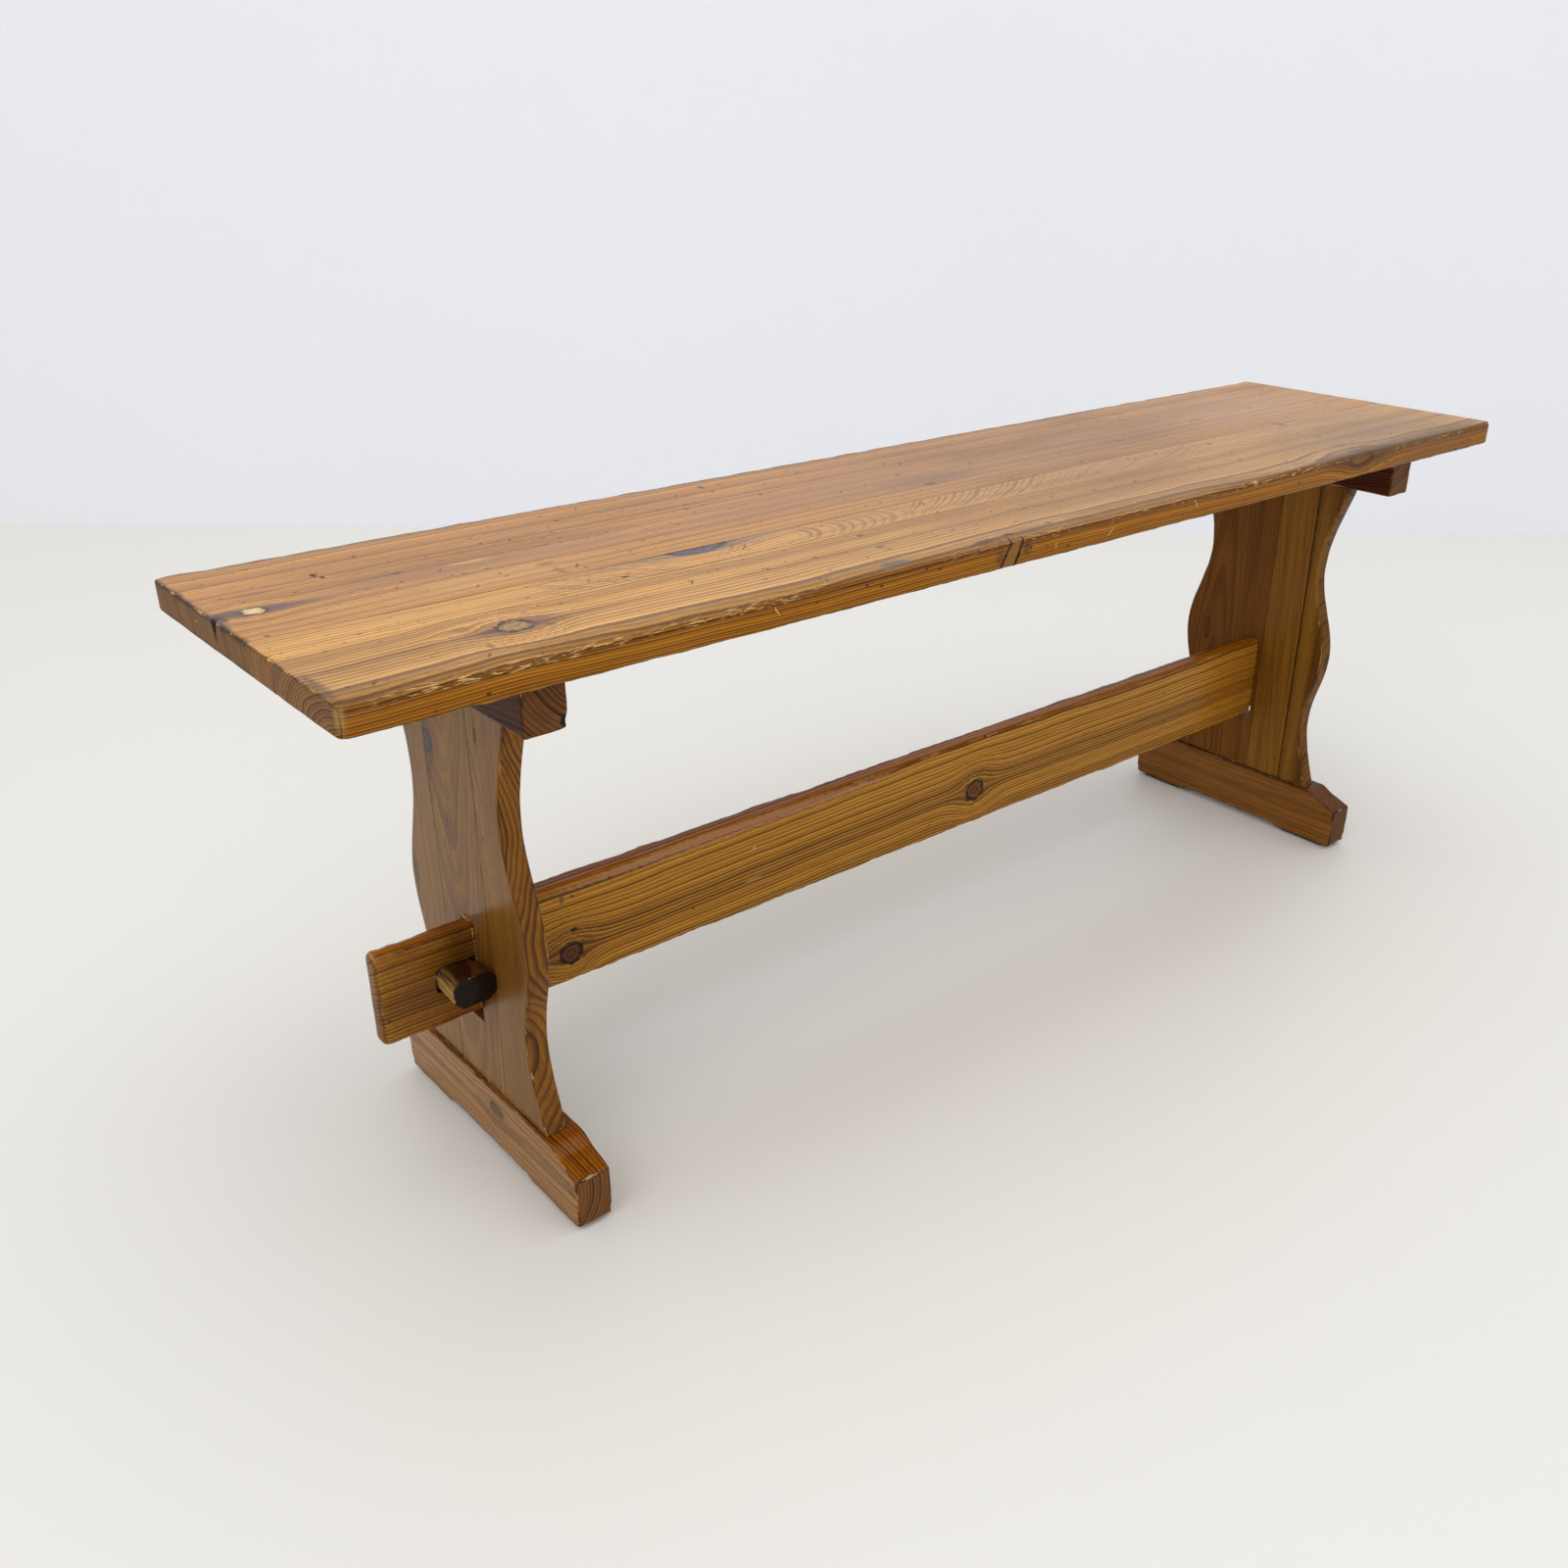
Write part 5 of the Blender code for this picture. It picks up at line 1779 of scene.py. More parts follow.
            scratch(-0.3, 0.048, -0.16, 0.038, 0.001, (112, 84, 78), 0.4, 0.7),
            scratch(-0.26, 0.112, -0.25, 0.105, 0.0009, umber, 0.7, 0.4),
            scratch(-0.075, 0.068, -0.06, 0.074, 0.0009, rust, 0.6, 0.6),
            *(
                Score(
                    (-0.6155, y, 0.4495), (-0.6155, 0.0332 + (y - 0.0335) * 0.2, low), wide, (22, 14, 12),
                    0.97, 0.2, (0.12, 1, 1),
                )
                for y, low, wide in ((0.03, 0.443, 0.0022), (0.0335, 0.4375, 0.0026), (0.037, 0.4425, 0.0024))
            ),
            scratch(-0.305, 0.0413, -0.274, 0.0344, 0.0005, flax, 0.5, 0.6),
            scratch(-0.15, 0.08, -0.128, 0.072, 0.0005, (96, 60, 40), 0.6, 0.6),
            Score((-0.6165, 0.061, 0.444), (-0.6165, 0.07, 0.44), 0.002, (188, 156, 120), 0.55, 0.8)
        )
    )
    return {"front": front, "middle": middle, "back": back}


TRESTLE = Pine(
    name="trestle_pine", grain=Grain.UPRIGHT, pith=(-0.44, -0.02, 0.2), early=(156, 108, 42),
    late=(60, 32, 10), streak=(114, 70, 26), ring_width=0.003, late_share=0.4, ring_contrast=0.9,
    wander=0.005, rate=2.4, taper=0.5, waver=0.001, streak_share=0.4, top_tint=(255, 225, 180),
    end_tint=(226, 222, 226), worn=(196, 150, 92), wear=0.05, dark_arris=(36, 20, 10), dark_share=0.6,
    rim_from=0.78, grime=(84, 52, 22), roughness=0.32, coat=0.12, gloss=0.1, pit_density=0.1, relief=0.0003,
)


def left_stave_finishes() -> dict[str, Pine]:
    """The finishes of the near upright's three staves.

    Returns:
        The finish of each stave by its place.
    """
    base = replace(
        TRESTLE, early=(132, 90, 32), late=(40, 18, 6), streak=(94, 58, 22), ring_width=0.0024,
        late_share=0.6, ring_contrast=1.0, side_contrast=0.44, grit=0.6, coat=0.11, gloss=0.1, roughness=0.28,
        pit_density=0.2, speck_density=0.35, front_tint=(255, 236, 176),
    )
    # painted shade: darkens the upright's outer face round the tenon and the key, which shade it; the front
    # and middle staves both take it
    shade = Patch((-0.487, -0.035, 0.19), (0.004, 0.062, 0.046), (86, 44, 12), 0.46, 0.4, 0.8)
    eye = Knot(
        (-0.487, 0.031, 0.335), 0.0068, 0, long=1.15, push=0.95, heart=(92, 70, 66), rim=(40, 28, 30),
        halo=(84, 60, 46), halo_share=0.5, rings=2.4, ragged=0.5,
    )
    resin = Knot(
        (-0.487, -0.0455, 0.364), 0.002, 0, long=2.4, push=0.5, heart=(96, 56, 24), rim=(50, 28, 14),
        halo=(110, 70, 34), rings=1.0,
    )
    return {
        "front": replace(
            base, name="left_stave_front_pine", pith=(-0.506, -0.026, 0.2), lean=(0.05, 0.015),
            ring_width=0.0027, late_share=0.42, wander=0.009, rate=7.0, waver=0.0022, uneven=2.2, seed=5.0,
            knots=(resin,), patches=(shade,),
            scores=(
                Score((-0.487, -0.033, 0.392), (-0.487, -0.033, 0.25), 0.001, (24, 14, 8), 0.95),
                Score((-0.487, -0.035, 0.25), (-0.487, -0.035, 0.07), 0.0006, (52, 32, 18), 0.6),
                Score((-0.487, -0.051, 0.138), (-0.487, -0.059, 0.13), 0.0006, (52, 32, 20), 0.8),
            ),
        ),
        "middle": replace(
            base, name="left_stave_middle_pine", pith=(-0.4, 0.012, 0.2), lean=(0.1, 0.02), seed=7.0,
            knots=(eye,),
            patches=(
                # painted shade: the patch above, and a near-black patch on the upright's face just under the
                # key, beside the tenon
                shade, Patch((-0.487, -0.0045, 0.14), (0.004, 0.014, 0.014), (30, 16, 8), 0.85, 0.4, 0.5),
                # painted shade: near black on the mortise's walls in the gap beneath the tenon
                Patch((-0.482, 0.0, 0.1238), (0.01, 0.0125, 0.0042), (14, 8, 4), 1.0, 0.1, 0.2),
                Patch((-0.487, 0.014, 0.277), (0.004, 0.0012, 0.0045), (52, 32, 20), 0.9, 0.3, 0.4),
                Patch((-0.487, -0.018, 0.215), (0.004, 0.01, 0.014), (96, 82, 88), 0.35, 0.8, 0.8),
            ),
        ),
        "back": replace(
            base, name="left_stave_back_pine", pith=(-0.42, 0.16, 0.2), lean=(0.06, -0.03), seed=9.0,
            dark_share=0.85, rim_from=0.55,
            knots=(
                Knot(
                    (-0.487, 0.079, 0.212), 0.0026, 0, long=3.5, push=0.9, heart=(104, 72, 40),
                    rim=(60, 38, 22), halo=(92, 62, 36), halo_share=0.4, rings=2.5,
                ),
            ),
        ),
    }


def right_stave_finishes() -> dict[str, Pine]:
    """The finishes of the far upright's three staves, darker and redder.

    Returns:
        The finish of each stave by its place.
    """
    base = replace(
        TRESTLE, early=(110, 70, 18), late=(54, 30, 8), streak=(78, 46, 12), ring_width=0.0026,
        ring_contrast=0.75, streak_share=0.35, grit=0.45, wander=0.001, rate=1.2, waver=0.0004, uneven=1.0,
        coat=0.03, gloss=0.05,
    )
    figure = Knot(
        (0.469, 0.0594, 0.206), 0.0034, 0, long=3.2, push=0.85, heart=(110, 66, 24), rim=(64, 34, 12),
        halo=(100, 58, 22), halo_share=0.4, rings=2.5,
    )
    return {
        "front": replace(
            base, name="right_stave_front_pine", pith=(0.49, -0.2, 0.2), seed=15.0,
            patches=(
                # painted highlight: a paler golden strip up the face by the front stave's front edge
                Patch((0.469, -0.0675, 0.22), (0.006, 0.0085, 0.26), (150, 104, 40), 0.5, 0.3, 0.7),
                Patch((0.469, -0.084, 0.12), (0.006, 0.006, 0.1), (48, 28, 12), 0.45, 0.5, 0.8),
            ),
            scores=(Score((0.469, -0.058, 0.395), (0.469, -0.058, 0.06), 0.0013, (34, 18, 8), 0.8, 0.2),),
        ),
        "middle": replace(
            base, name="right_stave_middle_pine", pith=(0.47, 0.16, 0.2), lean=(0.01, 0.0), seed=17.0,
            early=(134, 90, 30), late=(76, 44, 12),
        ),
        "back": replace(
            base, name="right_stave_back_pine", pith=(0.43, 0.05, 0.2), lean=(0.02, 0.02), seed=19.0,
            knots=(figure,), early=(112, 68, 22), ring_width=0.0034, ring_contrast=0.5,
        ),
    }


def cleat_finish(side: Side) -> Pine:
    """The finish of a cleat, brown and diagonal in its figure.

    Args:
        side: the trestle's side.

    Returns:
        The finish.
    """
    return replace(
        TRESTLE, name=f"{side.name.lower()}_cleat_pine", grain=Grain.ACROSS_BENCH,
        pith=(side.value * 0.45, 0.0, 0.43), lean=(0.1, 0.06), early=(112, 76, 46), late=(44, 26, 14),
        streak=(84, 54, 32), side_tint=(174, 118, 66), front_tint=(250, 240, 222), ring_width=0.0034,
        wander=0.004, rate=3.0, wear=0.05, ring_contrast=1.0, coat=0.02, gloss=0.05, end_tint=(248, 240, 222),
        seed=23.0 + side.value,
        patches=(Patch((-0.469, -0.1365, 0.398), (0.004, 0.004, 0.005), (22, 14, 10), 0.9, 0.5, 0.4),),
    )


def foot_finish(side: Side) -> Pine:
    """The finish of a sledge foot.

    Args:
        side: the trestle's side.

    Returns:
        The finish.
    """
    split = Knot(
        (-0.4902, -0.019, 0.043), 0.0052, 0, long=1.8, heart=(112, 76, 46), rim=(52, 32, 20),
        halo=(112, 78, 48), halo_share=0.4, rings=2.0,
    )
    near = side is Side.LEFT
    middle = side.value * 0.478 + 0.0027
    return replace(
        TRESTLE, name=f"{side.name.lower()}_foot_pine", grain=Grain.ACROSS_BENCH,
        pith=(middle - 0.04, 0.0, 0.034), uneven=1.4, early=(152, 106, 54) if near else (128, 82, 30),
        late=(58, 32, 12) if near else (60, 30, 10), streak=(138, 92, 46) if near else (104, 62, 24),
        ring_width=0.003, late_share=0.48, ring_contrast=1.0 if near else 0.55, wander=0.002, rate=2.5,
        taper=0.1, top_tint=(238, 192, 84) if near else (206, 184, 134), end_tint=(196, 178, 160), grit=0.5,
        wear=0.12 if near else 0.03, dark_share=0.75, rim_from=0.7, seed=31.0 + side.value,
        knots=(split,) if near else (), coat=0.14 if near else 0.04,
        scores=(
            Score((-0.4902, -0.006, 0.055), (-0.4902, -0.032, 0.029), 0.0007, (36, 22, 14), 0.9, 0.4),
        ) if near else (),
    )


STRETCHER = Pine(
    name="stretcher_pine", grain=Grain.ALONG_BENCH, pith=(0.0, 0.032, 0.246), early=(182, 126, 40),
    late=(58, 28, 8), streak=(140, 88, 26), ring_width=0.0028, late_share=0.55, ring_contrast=0.95,
    wander=0.005, rate=4.0, taper=0.05, waver=0.0018, uneven=1.3, streak_share=0.32, grit=0.45,
    top_tint=(255, 222, 170), end_tint=(196, 190, 186), worn=(190, 142, 92), wear=0.16,
    dark_arris=(52, 26, 12), dark_share=0.3, grime=(104, 64, 22), grime_share=0.3, roughness=0.31, coat=0.1,
    top_coat=0.08, gloss=0.08, pit_density=0.08, speck_density=0.12, seed=41.0, relief=0.0003,
    knots=(
        Knot(
            (0.031, -0.0095, 0.157), 0.0094, 1, long=1.1, push=0.95, ragged=0.9, heart=(112, 66, 28),
            rim=(22, 12, 8), halo=(120, 76, 28), halo_share=0.4, rings=2.8,
        ),
        Knot(
            (-0.409, -0.0095, 0.148), 0.0082, 1, long=1.1, push=0.95, ragged=0.9, heart=(100, 60, 30),
            rim=(14, 8, 6), halo=(100, 60, 22), halo_share=0.5, rings=2.6,
        ),
    ),
    patches=(
        Patch((-0.405, -0.0095, 0.1675), (0.0032, 0.003, 0.0022), (36, 24, 18), 0.9, 0.4, 0.4),
        Patch((-0.4136, -0.0095, 0.1973), (0.0022, 0.003, 0.0042), (84, 74, 60), 0.7, 0.4, 0.4),
        # painted highlight: a pale pink band along the worn top-front arris, partly the paler worn wood and
        # partly a painted reflection on the rounded arris
        Patch((-0.24, -0.008, 0.204), (0.18, 0.009, 0.0048), (172, 124, 90), 0.62, 1.2, 0.25),
        Patch((-0.23, -0.0095, 0.181), (0.002, 0.003, 0.0016), (190, 168, 120), 0.7, 0.5, 0.5),
        Patch((-0.232, -0.0095, 0.152), (0.01, 0.003, 0.0016), (176, 146, 84), 0.5, 0.8, 0.6),
        Patch((-0.52, -0.0095, 0.168), (0.065, 0.012, 0.066), (84, 44, 12), 0.68, 0.6, 0.9),
        Patch((-0.495, -0.0095, 0.19), (0.022, 0.01, 0.022), (62, 28, 8), 0.6, 0.6, 0.9),
        Patch((-0.5, -0.0095, 0.13), (0.03, 0.004, 0.006), (110, 44, 22), 0.7, 0.6, 0.6),
        Patch((0.43, -0.0095, 0.17), (0.06, 0.012, 0.05), (140, 78, 18), 0.4, 0.6, 0.9),
        Patch((-0.5, 0.004, 0.2031), (0.03, 0.01, 0.004), (92, 44, 22), 0.55, 0.8, 0.7),
    ),
    scores=(
        Score((-0.42, -0.009, 0.201), (-0.23, -0.009, 0.2028), 0.0009, (96, 54, 28), 0.75, 0.6, (1, 0.3, 1)),
        Score((-0.3, -0.009, 0.1992), (-0.11, -0.009, 0.2024), 0.0008, (104, 62, 34), 0.65, 0.6, (1, 0.3, 1)),
        Score((-0.41, -0.009, 0.1972), (-0.24, -0.009, 0.1975), 0.0007, (92, 54, 24), 0.7, 0.5, (1, 0.3, 1)),
        Score((-0.24, -0.009, 0.1975), (-0.07, -0.009, 0.2015), 0.0007, (92, 54, 24), 0.7, 0.5, (1, 0.3, 1)),
    ),
)


def key_finish(side: Side) -> Pine:
    """The finish of a key, paler on its flanks and dark on its front end and top.

    Args:
        side: the trestle's side.

    Returns:
        The finish.
    """
    return replace(
        TRESTLE, name=f"{side.name.lower()}_key_pine", grain=Grain.ACROSS_BENCH,
        pith=(side.value * 0.512, 0.0, 0.132), early=(190, 150, 84), late=(92, 62, 30), streak=(136, 98, 50),
        ring_width=0.0024, wander=0.001, ring_contrast=1.0, late_share=0.6, top_tint=(120, 92, 66),
        end_tint=(38, 28, 22), grit=0.8, wear=0.03, dark_arris=(22, 14, 8), dark_share=0.85, rim_from=0.72,
        coat=0.16, seed=51.0 + side.value,
    )


DOWEL = replace(
    TRESTLE, name="dowel_wood", early=(206, 178, 134), late=(180, 148, 104), streak=(190, 160, 116),
    dark_share=0.0,
)


# Sub-assemblies


@dataclass
class Seat:
    """The three boards of the seat, their worn front edge and their seams."""

    length: float = 1.232
    width: float = 0.3
    thickness: float = SEAT_THICKNESS
    top: float = SEAT_TOP
    front_board_width: float = 0.092
    middle_board_width: float = 0.038
    corner_radius: float = 0.007
    end_rounding: float = 0.0022
    under_rounding: float = 0.0028
    back_rounding: float = 0.004
    wear_width: float = 0.016
    wear_width_swing: float = 0.004
    wear_drop: float = 0.0036
    wear_drop_swing: float = 0.0006
    wave_length: float = 0.58
    ripple_length: float = 0.125
    ripple_share: float = 0.3
    phase_share: float = 0.095
    wear_end_shares: tuple[float, float] = (0.15, 0.225)
    arris_width: float = 0.0045
    arris_drop: float = 0.003
    curve_shares: tuple[tuple[float, float], ...] = (
        (0.0, 1.25), (0.06, 0.8), (0.22, 0.46), (0.55, 0.14), (1.0, 0.0),
    )
    screw_x: tuple[float, float] = (-0.4823, 0.4792)
    screw_depth: float = 0.013
    sharp_back: float = 0.0004
    band_depth: float = 0.0045
    band_fade: float = 0.05
    dents: tuple[Dent, ...] = (
        Dent((-0.476, -0.0916, 0.45), (0.011, 0.006, 0.02), (0, 0, -0.0004)),
        Dent((-0.365, -0.048, 0.45), (0.004, 0.003, 0.02), (0, 0, -0.0006)),
        Dent((-0.289, -0.026, 0.45), (0.014, 0.005, 0.02), (0, 0, -0.0005)),
        Dent((-0.5275, 0.086, 0.45), (0.01, 0.003, 0.02), (0, 0, -0.0005)),
        Dent((-0.175, -0.086, 0.45), (0.01, 0.02, 0.02), (0, 0, -0.0004)),
        Dent((0.378, -0.15, 0.444), (0.016, 0.004, 0.006), (0, 0.001, -0.0004)),
        Dent((-0.095, -0.15, 0.438), (0.004, 0.004, 0.01), (0, 0.0005, 0)),
        Dent((-0.54, -0.15, 0.428), (0.006, 0.004, 0.004), (0, 0.0006, 0.0009)),
        Dent((-0.48, -0.15, 0.428), (0.005, 0.004, 0.004), (0, 0.0005, 0.0008)),
        Dent((-0.616, -0.01, 0.45), (0.004, 0.005, 0.004), (0.0012, 0, -0.001)),
        Dent((-0.616, -0.056, 0.45), (0.004, 0.006, 0.004), (0.0014, 0, -0.0012)),
        Dent((-0.616, -0.128, 0.45), (0.005, 0.012, 0.004), (0.001, 0, -0.0009)),
        Dent((-0.616, -0.148, 0.436), (0.004, 0.006, 0.01), (0.001, 0.0008, 0)),
        Dent((-0.616, 0.0335, 0.442), (0.004, 0.0016, 0.005), (0.0016, 0, 0)),
        Dent((-0.616, 0.0335, 0.4485), (0.004, 0.0034, 0.003), (0.0014, 0, -0.0004)),
    )
    plug_sides: tuple[tuple[Point, Point], ...] = (
        ((-0.0881, -0.145, 0.449), (-0.103, -0.15, 0.4272)),
        ((-0.0775, -0.145, 0.449), (-0.0872, -0.15, 0.4272)),
    )

    def plug_grooves(self) -> tuple[Dent, ...]:
        """The shrunken joints on both sides of the branch plug in the front edge.

        Returns:
            Dents close together down each joint.
        """
        shares = np.linspace(0, 1, 14)
        return tuple(
            Dent(
                tuple(np.array(a) + s * (np.array(b) - np.array(a))), (0.0011, 0.004, 0.0022),
                (0, 0.0004, -0.0001),
            )
            for a, b in self.plug_sides for s in shares
        )

    def wave(self, along: Array) -> Array:
        """How far the worn arris swings about its mean.

        Args:
            along: places along the bench.

        Returns:
            The swing at each, from -1 to 1.
        """
        turn = 2 * math.pi * (along / self.wave_length + self.phase_share)
        ripple = np.sin(2 * math.pi * along / self.ripple_length)
        return (np.sin(turn) + self.ripple_share * ripple) / (1 + self.ripple_share)

    def worn_size(self, along: Array) -> tuple[Array, Array]:
        """How wide and how deep the front arris is worn.

        Args:
            along: places along the bench.

        Returns:
            The widths and the drops.
        """
        start, stop = (share * self.length for share in self.wear_end_shares)
        share = 1 - eased(along, start, stop)
        wave = self.wave(along)
        width = self.arris_width + (self.wear_width + self.wear_width_swing * wave - self.arris_width) * share
        drop = self.arris_drop + (self.wear_drop + self.wear_drop_swing * wave - self.arris_drop) * share
        rough = Ripple(12, (0.018, 1.0, 1.0))(np.stack([along, along * 0, along * 0], 1))
        return width * (1 + 0.06 * rough), drop * (1 + 0.08 * rough)

    def front_edge(self, block: Block) -> Array:
        """Works the hand-worn front edge into the front board.

        Args:
            block: the front board.

        Returns:
            The mask of the worn band.
        """
        raw, low, high = block.raw, block.low, block.high
        width, drop = self.worn_size(raw[:, 0])
        inward = raw[:, 1] - low[1]
        shares, drops = zip(*self.curve_shares)
        down = drop * np.interp(inward / width, shares, drops)
        on_face = (inward < 1e-7) & (raw[:, 2] < high[2] - 1e-7)
        on_top = raw[:, 2] > high[2] - 1e-7
        middle = (low[2] + high[2]) / 2
        squeeze = np.clip((raw[:, 2] - middle) / (high[2] - middle), 0, 1)
        block.points[:, 2] -= np.where(on_top, down, np.where(on_face, squeeze * drop * 1.25, squeeze * down))
        across = np.clip(1.35 - inward / width, 0, 1)
        depth = np.clip(1 - (high[2] - raw[:, 2]) / self.band_depth, 0, 1)
        start, stop = self.wear_end_shares
        fade = 1 - eased(raw[:, 0], start * self.length, (stop + self.band_fade) * self.length)
        return across * depth * (0.55 + 0.45 * fade)

    def plan_corner(self, block: Block, side: int) -> None:
        """Rounds the two corners in plan of a board's free long edge.

        Args:
            block: the board.
            side: -1 where the free edge is the front one, 1 where it is the back one.
        """
        reach = self.corner_radius
        edge = block.low[1] if side < 0 else block.high[1]
        past_x = np.maximum(reach - block.away[:, 0], 0)
        past_y = np.maximum(reach - np.abs(block.raw[:, 1] - edge), 0)
        most = np.maximum(past_x, past_y)
        share = most / np.maximum(np.hypot(past_x, past_y), 1e-12)
        corner = (past_x > 0) & (past_y > 0)
        way = np.where(block.raw[:, 0] > 0, 1, -1)
        block.points[:, 0] -= np.where(corner, way * past_x * (1 - share), 0)
        block.points[:, 1] -= np.where(corner, side * past_y * (1 - share), 0)

    def board(self, place: str, seed: int) -> tuple[Block, dict[str, Array]]:
        """One board as a worked block.

        Args:
            place: front, middle or back.
            seed: picks its unevenness.

        Returns:
            The block and its extra masks.
        """
        half, edge = self.length / 2, self.width / 2
        seam = self.front_board_width - edge
        far_seam = seam + self.middle_board_width
        near = (0.0004, 0.0009, 0.0015, 0.0022, 0.0032, 0.0045, 0.006)
        front_rows = (
            0.0006, 0.0013, 0.002, 0.003, 0.0042, 0.0056, 0.0074, 0.0095, 0.012, 0.0145, 0.017, 0.0195,
        )
        if place == "front":
            y_lines = spaced(-edge, seam - HALF_GAP, 0.0028, front_rows)
            x_lines = spaced(-half, half, 0.0032, near, tuple(np.arange(-0.104, -0.074, 0.0011)))
        elif place == "middle":
            y_lines = spaced(seam + HALF_GAP, far_seam - HALF_GAP, 0.0028)
            x_lines = spaced(-half, half, 0.0042, near)
        else:
            y_lines = spaced(
                far_seam + HALF_GAP, edge, 0.0034, (0.0008, 0.0018, 0.003, 0.004),
                tuple(np.arange(0.029, 0.04, 0.0007)),
            )
            x_lines = spaced(-half, half, 0.0042, near)
        z_lines = spaced(self.top - self.thickness, self.top, 0.0021, (0.0005, 0.0012, 0.002, 0.0028, 0.004))
        block = Block((x_lines, y_lines, z_lines), Grain.ALONG_BENCH, GLUED[place])
        middle = self.top - self.thickness / 2
        upper = self.back_rounding if place == "back" else self.sharp_back
        long_chips, short_chips = Ripple(seed + 40, (0.03, 0.2, 0.2)), Ripple(seed + 41, (0.009, 0.2, 0.2))
        chipped = long_chips(block.raw) * 0.35 + short_chips(block.raw) * 0.2
        block.ease(np.where(block.raw[:, 2] > middle, upper, self.under_rounding) * (1 + chipped))
        block.ease_ends(self.end_rounding)
        masks = {"worn": self.front_edge(block)} if place == "front" else {}
        if place != "middle":
            self.plan_corner(block, -1 if place == "front" else 1)
        block.unevenness(seed, 0.0003, 0.11, 0.034)
        block.knocked(self.dents + (self.plug_grooves() if place == "front" else ()))
        return block, masks

    def build(self, finishes: dict[str, Pine], effects: WoodEffects) -> None:
        """Builds and dresses the boards.

        Args:
            finishes: the finish of each board.
            effects: the shared shader groups.
        """
        for seed, (place, way) in enumerate((("front", -1), ("middle", 0), ("back", 1))):
            block, masks = self.board(place, 100 + seed)
            name = f"seat_board_{place}"
            piece = add_object(block.mesh(name, masks), name + "_plank", finishes[place].material(effects))
            bottom = self.top - self.thickness
            if way:
                middle = bottom + self.screw_depth / 2 - 0.001
                places = [(x, SCREW_Y * way, middle) for x in self.screw_x]
                cut_with(piece, [rod(place, 2, SCREW_RADIUS, self.screw_depth + 0.002) for place in places])
            report(piece, Body.BENCH, [name])


